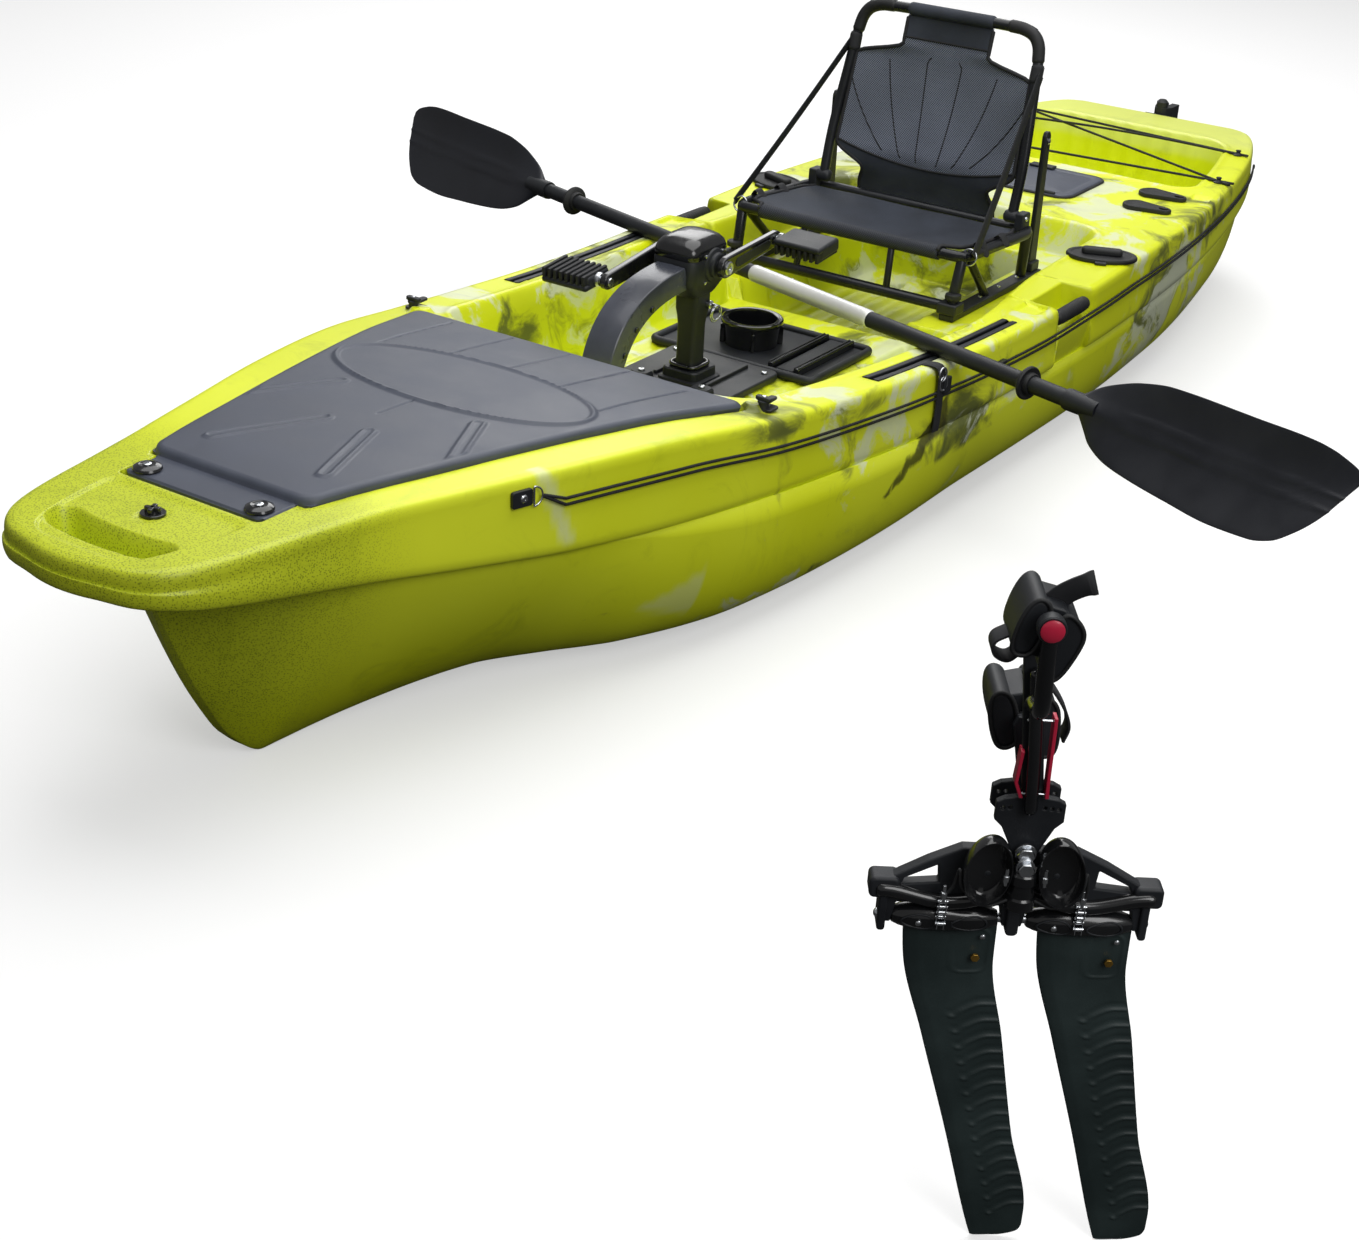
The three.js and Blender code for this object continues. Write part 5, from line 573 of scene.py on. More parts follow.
def tube_rings(path: Array, radius: float | Array, sides: int, closed: bool, squash: float) -> Array:
    """Rings of points round a path, as a grid with domed ends unless it is closed."""
    path = np.asarray(path, dtype=float)
    radii = np.broadcast_to(np.asarray(radius, dtype=float), (len(path),)).copy()
    if closed:
        tangent = np.roll(path, -1, axis=0) - np.roll(path, 1, axis=0)
    else:
        tangent = np.gradient(path, axis=0)
    tangent /= np.linalg.norm(tangent, axis=1, keepdims=True)
    normal = np.empty_like(path)
    guide = np.array([0.0, 0.0, 1.0]) if abs(tangent[0][2]) < 0.9 else np.array([1.0, 0.0, 0.0])
    for i, direction in enumerate(tangent):
        guide = guide - direction * np.dot(guide, direction)
        guide /= np.linalg.norm(guide)
        normal[i] = guide
    binormal = np.cross(tangent, normal)
    angle = angles(sides)
    circle = normal[:, None] * np.cos(angle)[:, None] * squash + binormal[:, None] * np.sin(angle)[:, None]
    rings = path[:, None] + circle * radii[:, None, None]
    if closed:
        return np.concatenate([rings, rings[:1]])
    caps = []
    for end, sign in ((0, -1.0), (-1, 1.0)):
        turn = np.array([0.35, 0.7, 1.0]) * QUARTER
        steps = [path[end] + circle[end] * radii[end] * math.cos(t) + tangent[end] * sign * radii[end] * 0.6
                 * math.sin(t) for t in turn]
        caps.append(np.array(steps[::-1] if end == 0 else steps))
    return np.concatenate([caps[0], rings, caps[1]])


def spline(points: list | Array, steps: int, closed: bool = False) -> Array:
    """Smooth path through points, evenly spaced along its length (Catmull-Rom)."""
    p = np.asarray(points, dtype=float)
    if closed:
        q = np.vstack([p[-1], p, p[:2]])
    else:
        q = np.vstack([2 * p[0] - p[1], p, 2 * p[-1] - p[-2]])
    fine = []
    for i in range(1, len(q) - 2):
        t = np.linspace(0, 1, 24, endpoint=False)[:, None]
        a, b, c, d = q[i - 1], q[i], q[i + 1], q[i + 2]
        fine.append(0.5 * (2 * b + (c - a) * t + (2 * a - 5 * b + 4 * c - d) * t ** 2
                           + (3 * b - a - 3 * c + d) * t ** 3))
    line = np.vstack(fine + [q[-2][None]])
    length = np.concatenate([[0], np.cumsum(np.linalg.norm(np.diff(line, axis=0), axis=1))])
    at = np.linspace(0, length[-1], steps + 1)
    even = np.stack([np.interp(at, length, line[:, k]) for k in range(3)], axis=1)
    return even[:-1] if closed else even


def rounded(width: float, length: float, radius: float, x: float = 0.0, y: float = 0.0,
            steps: int = 8) -> Array:
    """Outline of a rectangle with round corners."""
    quarter = np.linspace(0, QUARTER, steps + 1)
    out = []
    for k, (sx, sy) in enumerate(((1, 1), (-1, 1), (-1, -1), (1, -1))):
        turn = quarter + k * QUARTER
        out.append(np.column_stack([x + sx * (width / 2 - radius) + radius * np.cos(turn),
                                    y + sy * (length / 2 - radius) + radius * np.sin(turn)]))
    return np.vstack(out)


def standing() -> Matrix:
    """Turns a flat outline so that its x runs along Y, its y along Z and its height along X."""
    return Matrix(((0, 0, 1, 0), (1, 0, 0, 0), (0, 1, 0, 0), (0, 0, 0, 1)))


def standing_across() -> Matrix:
    """Turns a flat outline so that its x runs along X, its y along Z and its height along Y."""
    return Matrix(((1, 0, 0, 0), (0, 0, 1, 0), (0, 1, 0, 0), (0, 0, 0, 1)))


def moved(x: float, y: float, z: float) -> Matrix:
    """Shifts a form along the three axes."""
    return Matrix.Translation((x, y, z))


def turned(angle: float, axis: str) -> Matrix:
    """Turns a form about an axis through the origin."""
    return Matrix.Rotation(angle, 4, axis)


def along_x(x: float, y: float, z: float, side: float = 1.0) -> Matrix:
    """Places a turned form so that its axis points along X to one side."""
    return moved(x, y, z) @ turned(side * QUARTER, "Y")


def along_y(x: float, y: float, z: float) -> Matrix:
    """Places a turned form so that its axis points along -Y."""
    return moved(x, y, z) @ turned(QUARTER, "X")


def carried(matrix: Matrix, points: list | Array) -> Array:
    """Points moved by a matrix."""
    return np.array([tuple(matrix @ Vector(p)) for p in points])


def capped(rows: Array) -> Array:
    """Grid rows with one more row at each end, drawn together in the end row's middle."""
    ends = [np.repeat(rows[i].mean(axis=0)[None, None], rows.shape[1], axis=1) for i in (0, -1)]
    return np.concatenate([ends[0], rows, ends[1]])


def straight(line: Array) -> Array:
    """Points along X at the given places."""
    return np.column_stack([line, 0 * line, 0 * line])


def facing(at: tuple | Vector, direction: tuple | Vector) -> Matrix:
    """Places a form so that its Z points in a direction from a point."""
    turn = Vector((0, 0, 1)).rotation_difference(Vector(direction).normalized())
    return Matrix.Translation(Vector(at)) @ turn.to_matrix().to_4x4()


# Hull

BAND_ROWS = np.array([
    (0, .1, 1, .878), (.004, .24, 1, .875), (.012, .325, 1, .867), (.023, .375, 1, .852), (.04, .415, 1, .83),
    (.07, .462, 1, .79), (.1, .512, 1, .752), (.14, .6, .99, .705), (.19, .71, .975, .655),
    (.25, .815, .945, .615), (.31, .885, .885, .58), (.37, .925, .84, .545), (.43, .955, .805, .515),
    (.5, .985, .785, .505), (.56, 1, .782, .5), (.62, 1, .79, .5), (.68, .99, .8, .505), (.75, .96, .8, .51),
    (.82, .905, .8, .52), (.88, .835, .803, .535), (.93, .755, .81, .55), (.965, .675, .815, .565),
    (.985, .61, .82, .575), (.996, .55, .82, .58), (1, .48, .82, .58)])
BODY_ROWS = np.array([
    (.0395, .755, .004, .012, 1), (.0434, .664, .012, .11, 1), (.0527, .464, .02, .25, 1.05),
    (.0642, .257, .026, .34, 1.2), (.0765, .098, .026, .365, 1.15), (.0929, 0, .035, .43, 1.2),
    (.14, 0, .055, .56, 1.35), (.19, 0, .08, .675, 1.6), (.22, 0, .14, .745, 2), (.25, 0, .22, .805, 2.6),
    (.31, 0, .34, .885, 3.4), (.37, 0, .4, .93, 3.5), (.43, 0, .42, .955, 3.4), (.5, 0, .42, .97, 3.1),
    (.62, 0, .42, .98, 3.1), (.75, 0, .37, .94, 3), (.88, 0, .28, .81, 2.7), (.94, .04, .24, .7, 2.5),
    (.98, .11, .2, .58, 2.3), (1, .16, .18, .45, 2.2)])


@dataclass(frozen=True)
class HullLines:
    """Sizes of the hull and its stations; the same as those of the CAD frame."""

    length: float = 3.66
    beam: float = 0.93
    depth: float = 0.44
    origin: float = 0.6
    lap: float = 0.012
    edge: float = 0.014
    flare: float = 0.008
    ledge: float = 0.285
    plinth: float = 0.245
    floor: float = 0.18
    tank: float = 0.215
    hatch_hinge: float = -1.94602
    hatch_front: float = -1.8871
    hatch_back: float = -1.07055
    cockpit_front: float = -1.04493
    cockpit_back: float = 0.41358
    well_front: float = -0.9333
    well_back: float = -0.2379
    floor_back: float = 0.3477
    mast: float = -0.71187
    handle: float = -0.04026
    drain: float = -2.02508
    rear_deck: float = 0.352
    rear_front: float = 0.57462
    rear_back: float = 0.79422
    tank_front: float = 0.8601
    tank_back: float = 1.32492

    def share(self, y: Array) -> Array:
        """Share of the length at a place along Y."""
        return np.asarray(y) / self.length + self.origin

    def y(self, share: float) -> float:
        """Place along Y at a share of the length."""
        return (share - self.origin) * self.length

    def gunwale(self, y: Array) -> Array:
        """Half width over the gunwales."""
        return GUNWALE(self.share(y)) * self.beam / 2

    def sheer(self, y: Array) -> Array:
        """Height of the deck edge."""
        return SHEER(self.share(y)) * self.depth

    def edge_at(self, y: float) -> tuple[float, float]:
        """Half width and height of the deck's edge at one place."""
        return float(self.gunwale(y)), float(self.sheer(y))

    def foot(self, y: Array) -> Array:
        """Height of the lower edge of the side band."""
        return FOOT(self.share(y)) * self.depth

    def rim(self, y: Array) -> Array:
        """Width of the side deck, wider abreast of the seat."""
        return 0.092 + 0.046 * smoothstep((self.share(y) - 0.5) / 0.12)

    def lid_half(self, y: Array) -> Array:
        """Half width of the front lid's raised panel."""
        t = (np.asarray(y) - self.hatch_front) / (self.hatch_back - self.hatch_front)
        return 0.15 + 0.195 * t


GUNWALE, SHEER, FOOT = (Curve(BAND_ROWS, k) for k in (1, 2, 3))
KEEL, KEEL_HALF, BODY_HALF, FULLNESS = (Curve(BODY_ROWS, k) for k in (1, 2, 3, 4))
LINES = HullLines()


def inside(x: Array, y: Array, half: Array | float, front: float, back: float, corner: float) -> Array:
    """Distance inside a rectangle with round corners that is even about x = 0; negative outside it."""
    qx = np.abs(x) - half + corner
    qy = np.abs(y - (front + back) / 2) - (back - front) / 2 + corner
    outer = np.sqrt(np.maximum(qx, 0) ** 2 + np.maximum(qy, 0) ** 2)
    return corner - outer - np.minimum(np.maximum(qx, qy), 0)


def sunk(height: Array, floor: Array | float, distance: Array, run: float) -> Array:
    """Lowers a surface to a floor over a run of its wall, with rounded head and foot."""
    return height + (floor - height) * smoothstep(distance / run)


@dataclass
class HullTop:
    """Height of the deck and its wells over the plan."""

    lines: HullLines = LINES
    hold_floor: float = 0.12
    bow_panel: tuple[float, float] = (-2.165, -1.972)
    bow_slot: tuple[float, float] = (-2.1372, -2.0872)
    track: tuple[float, float] = (-0.7465, -0.2472)
    latch: tuple[float, float] = (0.348, -1.056)
    grip_pad: tuple[float, float] = (-0.186, -0.112)
    cord_step: tuple[float, float] = (0.782, 0.826)
    rod_land: tuple[float, float] = (0.145, 0.31)
    scupper: float = 0.12
    rail_rise: float = 0.006

    def height(self, x: Array, y: Array) -> Array:
        """Deck height: sheer, less each well, recess and groove, plus ribs, lands and lips."""
        k = self.lines
        side = np.abs(x)
        gun, top = k.gunwale(y), k.sheer(y)
        z = top + 0 * x
        panel = inside(x, y, 0.74 * gun - 0.02, *self.bow_panel, 0.03)
        z = z - 0.004 * smoothstep(panel / 0.008)
        z = self.cockpit(x, y, z, gun)
        z = self.tank_well(x, y, z, gun)
        z = self.hatches(x, y, z)
        slot = inside(x, y - 1.25 * x ** 2, 0.106, *self.bow_slot, 0.0248)
        z = sunk(z, top - 0.066, slot + 0.006, 0.026)
        drain = 0.0215 - np.hypot(x, y - k.drain)
        z = sunk(z, top - 0.0062, drain, 0.003)
        groove = inside(side - (gun - TRACK_INSET), y, 0.0175, *self.track, 0.003)
        z = sunk(z, top - 0.012, groove, 0.0025)
        knob = np.hypot(side - self.latch[0], y - self.latch[1])
        z = z + 0.010 * smoothstep((0.026 - knob) / 0.012) * (y > -1.1)
        pad = inside(side - (gun - 0.05), y, 0.027, *self.grip_pad, 0.008)
        z = sunk(z, top - 0.007, pad, 0.005)
        step = inside(side - (gun - 0.036), y, 0.03, *self.cord_step, 0.006)
        z = z - 0.006 * smoothstep(step / 0.006)
        rod = inside(side - (gun - 0.07), y, 0.058, *self.rod_land, 0.05)
        z = z + 0.004 * smoothstep((rod + 0.01) / 0.014) * (1 - smoothstep(rod / 0.004)) * 0.6
        return z

    def cockpit(self, x: Array, y: Array, z: Array, gun: Array) -> Array:
        """The cockpit: a ledge, the plinth between the foot wells, and the floor under the seat."""
        k = self.lines
        side = np.abs(x)
        half = gun - k.rim(y)
        rim = inside(x, y, half, k.cockpit_front, k.cockpit_back, 0.07)
        lip = bump(rim, -0.009, 0.006)
        z = z + 0.0025 * lip
        z = sunk(z, k.ledge, rim + 0.004, 0.034)
        wide = np.where((y > k.well_front) & (y < k.well_back), 0.225, 0.2)
        plinth = inside(x, y, wide, k.cockpit_front + 0.006, k.well_back + 0.03, 0.012)
        z = np.minimum(z, sunk(z, k.plinth, plinth, 0.02))
        centre = inside(x, y, 0.2, k.cockpit_front + 0.002, k.well_back, 0.01)
        rib = smoothstep(centre / 0.02) * (bump(side, 0.158, 0.012) + bump(side, 0.125, 0.012))
        well_outer = gun - 0.104
        middle = (0.2 + well_outer) / 2
        well = inside(side - middle, y, (well_outer - 0.2) / 2, k.well_front, k.well_back, 0.035)
        z = np.minimum(z, sunk(z, k.floor + 0.004 * np.cos((y + 0.9) * 95) * smoothstep((well - 0.03) / 0.02),
                               well + 0.002, 0.026))
        seat = inside(x, y, 0.205, k.well_back, k.floor_back, 0.03)
        drip = smoothstep((seat - 0.03) / 0.01) * np.cos(np.clip(side / 0.03, 0, 7) * math.pi)
        z = np.minimum(z, sunk(z, k.floor + 0.0035 * drip, seat + 0.002, 0.03))
        for sx, sy, rx, ry in ((0.08, 0.234, 0.02, 0.03), (0.052, -0.196, 0.014, 0.02)):
            hole = 1 - np.hypot((side - sx) / rx, (y - sy) / ry)
            z = (sunk(z, self.scupper, hole * rx + 0.001, 0.008) if rx > 0.015
                 else sunk(z, 0.19, hole * rx, 0.006))
        return z - 0.004 * rib * (z > k.plinth - 0.01) * (z < k.plinth + 0.01)

    def tank_well(self, x: Array, y: Array, z: Array, gun: Array) -> Array:
        """The tank well with ribs on its aft wall and two floor rails."""
        k = self.lines
        well = inside(x, y, gun - 0.078, k.tank_front, k.tank_back, 0.06)
        lip = bump(well, -0.011, 0.006)
        z = z + 0.003 * lip
        ribs = 0.005 * (0.5 + 0.5 * np.cos(x * math.tau / 0.052)) * (y > 1.2)
        ribs = ribs * smoothstep((0.2 - np.abs(x)) / 0.03)
        z = sunk(z, k.tank, well + 0.003 - ribs, 0.034)
        rail = bump(np.abs(x), 0.085, 0.011) + bump(np.abs(x), 0.165, 0.011)
        rail = rail * smoothstep((well - 0.05) / 0.012)
        z = z + self.rail_rise * rail
        for y0 in (0.92, 1.25):
            hole = 1 - np.hypot((np.abs(x) - 0.125) / 0.014, (y - y0) / 0.02)
            z = sunk(z, 0.16, hole * 0.014, 0.006)
        return z

    def hatches(self, x: Array, y: Array, z: Array) -> Array:
        """Seats of the two lids and the holds under them."""
        k = self.lines
        half = k.lid_half(y)
        panel = inside(x, y, half + 0.0024, k.hatch_front - 0.0024, k.hatch_back + 0.0024, 0.012)
        tongue = inside(x, y, 0.1345, k.hatch_hinge - 0.0185, k.hatch_front + 0.03, 0.01)
        seat = np.maximum(panel, tongue)
        z = sunk(z, k.sheer(y) - 0.0125, seat, 0.004)
        hold = inside(x, y, half - 0.034, k.hatch_front + 0.034, k.hatch_back - 0.034, 0.03)
        z = z + 0.006 * bump(hold, -0.008, 0.004) * (seat > 0)
        z = sunk(z, 0.2, hold, 0.03)
        rear = inside(x, y, 0.1556, k.rear_front - 0.0006, k.rear_back + 0.0006, 0.0346)
        z = sunk(z, k.rear_deck - 0.0105, rear, 0.004)
        lower = inside(x, y, 0.129, k.rear_front + 0.026, k.rear_back - 0.026, 0.02)
        return sunk(z, self.hold_floor, lower, 0.02)


@dataclass
class Hull:
    """The moulded hull: deck, wells, side band and underbody as one skin, cut into five lengths."""

    rows: int = 760
    deck_columns: int = 250
    keel_columns: int = 44
    transom: float = 0.012
    cuts: tuple[float, ...] = (-1.62, -1.02, -0.2, 0.44)
    names: tuple[str, ...] = ("hull_nose", "hull_bow", "hull_wells", "hull_middle", "hull_stern")
    bow_scales: tuple[float, ...] = (0.97, 0.9, 0.78, 0.62, 0.44, 0.22, 0.0)
    bow_arc: float = 0.005
    notch_half: float = 0.077
    notch_run: float = 0.006
    top: HullTop = field(default_factory=HullTop)

    def build(self, make: Maker) -> None:
        """Makes the five lengths of the skin.

        Each row is a section: the deck from starboard to port, the gunwale and band on the port
        side, the underbody round the keel, and the starboard side. Columns lie closer where the
        deck is steep, and rows where wells start and end.
        """
        y = self.stations()
        sections = self.sections(y)
        sections = np.concatenate([
            self.bow_end(sections[0])[::-1], sections, self.end(sections[-1], y[-1], self.transom, 1)])
        values = self.marks_and_painted_light(sections)
        cuts = [0, *(int(np.searchsorted(sections[:, 0, 1], at)) for at in self.cuts), len(sections) - 1]
        for part, name in enumerate(self.names):
            rows = slice(cuts[part], cuts[part + 1] + 1)
            obj = make.grid(name, sections[rows], wrap=True, crease=180.0, weld=False, flip=True)
            for key, value in values.items():
                layer = obj.data.attributes.new(key, "FLOAT", "POINT")
                layer.data.foreach_set("value", value[rows].reshape(-1).astype(np.float32))
            make.weld(obj, outward=False)
            make.place(obj, "boat", "hull_lime", ("hull",) if part == 0 else ())

    def stations(self) -> Array:
        """Rows along Y, closer where the deck changes height along the boat."""
        k = self.top.lines
        y = np.linspace(k.y(0), k.y(1), 3661)
        x = np.linspace(-1, 1, 161)[None] * (k.gunwale(y) - 0.019)[:, None]
        z = self.top.height(x, y[:, None] + 0 * x)
        slope = np.abs(np.gradient(z, axis=0) / 0.001)
        weight = 1 + 16 * np.clip(slope, 0, 4).mean(axis=1) + 2.2 * np.clip(slope, 0, 4).max(axis=1) / 4
        notch = np.abs(np.abs(y - k.handle) - self.notch_half) < self.notch_run
        weight = weight + 4 * notch + 1.5 * (y < k.y(0.09)) + 3 * (y < k.y(0.012)) + 2 * (y > k.y(0.985))
        weight = np.convolve(np.pad(weight, 6, mode="edge"), np.ones(13) / 13, mode="valid")
        total = np.concatenate([[0], np.cumsum((weight[1:] + weight[:-1]) / 2)])
        return np.interp(np.linspace(0, total[-1], self.rows), total, y)

    def sections(self, y: Array) -> Array:
        """All the section rows, as rows by columns by 3."""
        k = self.top.lines
        gun, top, foot = k.gunwale(y), k.sheer(y), k.foot(y)
        edge = np.minimum(k.edge, gun / 3)
        flare = np.minimum(k.flare, gun / 8)
        out_x, out_y = self.outward(y, gun)
        notch = smoothstep((self.notch_half + 0.0035 - np.abs(y - k.handle)) / self.notch_run)
        border = flare / 2 + edge + 0.004
        reach = gun - border * out_x
        row_y = y + border * out_y
        reach = reach + (gun - 0.077 - reach) * notch
        fine = np.linspace(-1, 1, 1401)
        x = fine[None] * reach[:, None]
        z = self.top.height(x, row_y[:, None] + 0 * x)
        slope = np.abs(np.gradient(z, axis=1) / np.gradient(x, axis=1))
        weight = np.sqrt(1 + np.clip(slope, 0, 12) ** 2) + 1.2 * np.clip(slope, 0, 1.5)
        weight = self.blur(weight, 5, 1)
        weight = self.blur(weight, 4, 0)
        total = np.concatenate([
            np.zeros((len(y), 1)), np.cumsum((weight[:, 1:] + weight[:, :-1]) / 2, axis=1)], axis=1)
        at = np.linspace(0, 1, self.deck_columns)
        places = np.stack([np.interp(at * row[-1], row, fine) for row in total])
        deck_x = places * reach[:, None]
        deck_y = np.repeat(row_y[:, None], self.deck_columns, axis=1)
        deck = np.stack([deck_x, deck_y, self.top.height(deck_x, deck_y)], axis=-1)
        side = self.side(y, gun, top, foot, edge, flare, notch)
        side = self.lean(side, gun, out_x, out_y)
        belly = self.belly(y, foot)
        belly[..., 1] += ((flare + 0.006) * out_y)[:, None]
        mirror = np.array([-1.0, 1.0, 1.0])
        return np.concatenate([deck, side, belly, (side * mirror)[:, ::-1]], axis=1)

    def outward(self, y: Array, gun: Array) -> tuple[Array, Array]:
        """Across and along parts of the step in from the outline: square to it at the bow, else across."""
        slope = np.gradient(gun, y) * smoothstep((0.11 - self.top.lines.share(y)) / 0.05)
        length = np.sqrt(1 + slope ** 2)
        return 1 / length, slope / length

    @staticmethod
    def lean(side: Array, gun: Array, out_x: Array, out_y: Array) -> Array:
        """Moves the band's points so that their steps in from the outline are square to it."""
        step = gun[:, None] - side[..., 0]
        return np.stack([gun[:, None] - step * out_x[:, None], side[..., 1] + step * out_y[:, None],
                         side[..., 2]], axis=-1)

    def bow_end(self, section: Array) -> Array:
        """Closes the bow: the first section shrinks to its middle plane and moves ahead in a shallow arc."""
        rows = []
        for scale in self.bow_scales:
            row = section * np.array([scale, 1.0, 1.0])
            row[:, 1] -= self.bow_arc * (1 - scale ** 2)
            rows.append(row)
        return np.array(rows)

    def side(self, y: Array, gun: Array, top: Array, foot: Array, edge: Array, flare: Array,
             notch: Array) -> Array:
        """Port gunwale and band, rounded by cutting the corners of a polygon twice."""
        plain = [(gun - flare / 2 - edge, top), (gun - flare / 2 - edge * 0.25, top - edge * 0.2),
                 (gun - flare / 2, top - edge), (gun - flare / 2, top - edge - 0.014),
                 (gun - flare / 2 + 0.002, (top + foot) / 2), (gun, foot + edge + 0.014), (gun, foot + edge),
                 (gun - flare * 0.5, foot + 0.003), (gun - flare - 0.006, foot)]
        cut = [(gun - 0.073, top), (gun - 0.0705, top - 0.002), (gun - 0.07, top - 0.01),
               (gun - 0.067, top - 0.046), (gun - 0.058, top - 0.0535), (gun - 0.012, top - 0.0545),
               (gun - 0.002, top - 0.058), (gun, top - 0.07), (gun - flare - 0.006, foot)]
        points = np.stack([np.stack([a[0] + (b[0] - a[0]) * notch, a[1] + (b[1] - a[1]) * notch], axis=-1)
                           for a, b in zip(plain, cut)], axis=1)
        for _ in range(2):
            first = points[:, :-1] * 0.75 + points[:, 1:] * 0.25
            second = points[:, :-1] * 0.25 + points[:, 1:] * 0.75
            inner = np.stack([first, second], axis=2).reshape(len(points), -1, 2)
            points = np.concatenate([points[:, :1], inner, points[:, -1:]], axis=1)
        column_y = np.repeat(y[:, None], points.shape[1], axis=1)
        return np.stack([points[..., 0], column_y, points[..., 1]], axis=-1)

    def belly(self, y: Array, foot: Array) -> Array:
        """Underbody from the port lip to the starboard lip: flank, keel flat with its pocket, flank."""
        k = self.top.lines
        share = k.share(y)
        keel = KEEL(share) * k.depth
        half = BODY_HALF(share) * k.beam / 2
        flat = KEEL_HALF(share) * k.beam / 2
        power = 2 / FULLNESS(share)
        before = share < BODY_ROWS[0, 0]
        head = foot + k.lap
        keel = np.where(before, head - 0.002, keel)
        half, flat = np.where(before, 0.004, half), np.where(before, 0.001, flat)
        flat = np.minimum(flat, half * 0.98)
        angle = np.linspace(QUARTER, 0, 26)[None]
        x = flat[:, None] + (half - flat)[:, None] * np.sin(angle) ** power[:, None]
        z = keel[:, None] + (head - keel)[:, None] * (1 - np.cos(angle) ** power[:, None])
        z = np.minimum(z, foot[:, None] + 0.003)
        lip_x = np.minimum(half + 0.012, k.gunwale(y) - 0.02)
        x = np.concatenate([lip_x[:, None], x], axis=1)
        z = np.concatenate([foot[:, None] + 0.001, z], axis=1)
        keel_x = np.linspace(1, -1, self.keel_columns + 2)[None, 1:-1] * flat[:, None]
        keel_z = keel[:, None] + self.pocket(keel_x, y[:, None] + 0 * keel_x)
        full_x = np.concatenate([x, keel_x, -x[:, ::-1]], axis=1)
        full_z = np.concatenate([z, keel_z, z[:, ::-1]], axis=1)
        full_y = np.repeat(y[:, None], full_x.shape[1], axis=1)
        return np.stack([full_x, full_y, full_z], axis=-1)

    def pocket(self, x: Array, y: Array) -> Array:
        """Height of the pocket in the keel that the folded leg and propeller lie in."""
        mast = self.top.lines.mast
        slot = inside(x, y, 0.0305, mast - 0.035, mast + 0.356, 0.01)
        leg = 0.085 * smoothstep((slot + 0.004) / 0.008)
        disc = 0.151 - np.hypot(x, y - mast - 0.33)
        return np.maximum(leg, 0.045 * smoothstep((disc + 0.002) / 0.01))

    def end(self, section: Array, y: float, radius: float, sign: int) -> Array:
        """Rounds an end off and closes it at the middle of the section."""
        middle = np.array([0.0, y, (section[:, 2].max() + section[:, 2].min()) / 2])
        half = np.array([np.abs(section[:, 0]).max(), 1.0, (section[:, 2].max() - section[:, 2].min()) / 2])
        turn = np.linspace(0, QUARTER, 9)[1:]
        rows = []
        for angle in turn:
            shrink = 1 - radius * (1 - math.cos(angle)) / half
            shrink[1] = 1
            row = middle + (section - middle) * shrink
            row[:, 1] = y + sign * radius * 0.5 * math.sin(angle)
            rows.append(row)
        flat = rows[-1]
        for scale in (0.75, 0.5, 0.25, 0.0):
            row = middle + (flat - middle) * np.array([scale, 1.0, scale])
            row[:, 1] = flat[:, 1]
            rows.append(row)
        return np.array(rows)

    @staticmethod
    def blur(values: Array, reach: int, axis: int) -> Array:
        """Running mean along an axis."""
        widths = [(0, 0), (0, 0)]
        widths[axis] = (reach + 1, reach)
        total = np.cumsum(np.pad(values, widths, mode="edge"), axis=axis)
        count = values.shape[axis]
        late = np.take(total, np.arange(2 * reach + 1, 2 * reach + 1 + count), axis=axis)
        early = np.take(total, np.arange(0, count), axis=axis)
        return (late - early) / (2 * reach + 1)

    def marks_and_painted_light(self, p: Array) -> dict[str, Array]:
        """Where the plastic is marbled and speckled, where a scratch and a painted shadow of the paddle
        darken it, and where a pale wedge and painted highlights lighten it, as four values per point.
        """
        x, y, z = p[..., 0], p[..., 1], p[..., 2]
        side = np.abs(x)
        s = y + BOW_TIP
        outside = smoothstep((side - LINES.gunwale(y) + 0.03) / 0.015) * smoothstep((0.365 - z) / 0.02)
        front = bump(y, -0.98, 0.24) * smoothstep((0.43 - z) / 0.02) * (1 - 0.62 * outside)
        rear = smoothstep((y - 0.05) / 0.25) * (1 - smoothstep((y - 0.95) / 0.2))
        flank = 0.34 * bump(y, -0.35, 0.45) * smoothstep((0.3 - z) / 0.1)
        ledges = 0.75 * bump(y, -0.5, 0.5) * smoothstep((0.37 - z) / 0.03) * smoothstep((z - 0.15) / 0.02)
        rim = 0.5 * bump(y, -0.4, 0.3) * smoothstep((z - 0.325) / 0.01)
        marble = np.clip(0.12 + front + 0.9 * rear + flank + ledges + rim, 0, 1)
        marble = marble * (1 - 0.75 * smoothstep((-1.2 - y) / 0.2))
        speckle = smoothstep((-1.75 - y) / 0.2)
        port = x > 0
        # Painted shadow of the paddle: a brown wedge on the port side below its blade.
        t = np.clip((s - 1.44) / 0.21, 0, 1)
        under = smoothstep((0.15 + 0.155 * t - z) / 0.014) * smoothstep((z - 0.128 - 0.085 * t) / 0.014)
        shadow_and_scratch = 0.86 * port * under * smoothstep((s - 1.42) / 0.04) * smoothstep((1.665 - s) / 0.02) * outside
        # A scratch low on the port bow, drawn in brown together with the painted shadow.
        scratch = 0.6 * port * smoothstep((0.02 - np.abs(z - 0.13)) / 0.02)
        scratch = scratch * smoothstep((0.86 - s) / 0.06) * smoothstep((s - 0.74) / 0.05)
        # A pale wedge low on the port bow.
        wedge = port * smoothstep((0.05 * (s - 0.83) / 0.14 - np.abs(z - 0.13)) / 0.014)
        wedge = wedge * (s > 0.83) * (s < 0.975)
        # Painted highlight: a pale slanting streak on the port gunwale near the bow.
        slant = np.abs(s - 0.655 + 0.35 * (z - 0.36))
        bow_highlight = port * smoothstep((0.017 - slant) / 0.012) * smoothstep((z - 0.3) / 0.02)
        bow_highlight = bow_highlight * (side > LINES.gunwale(y) - 0.03)
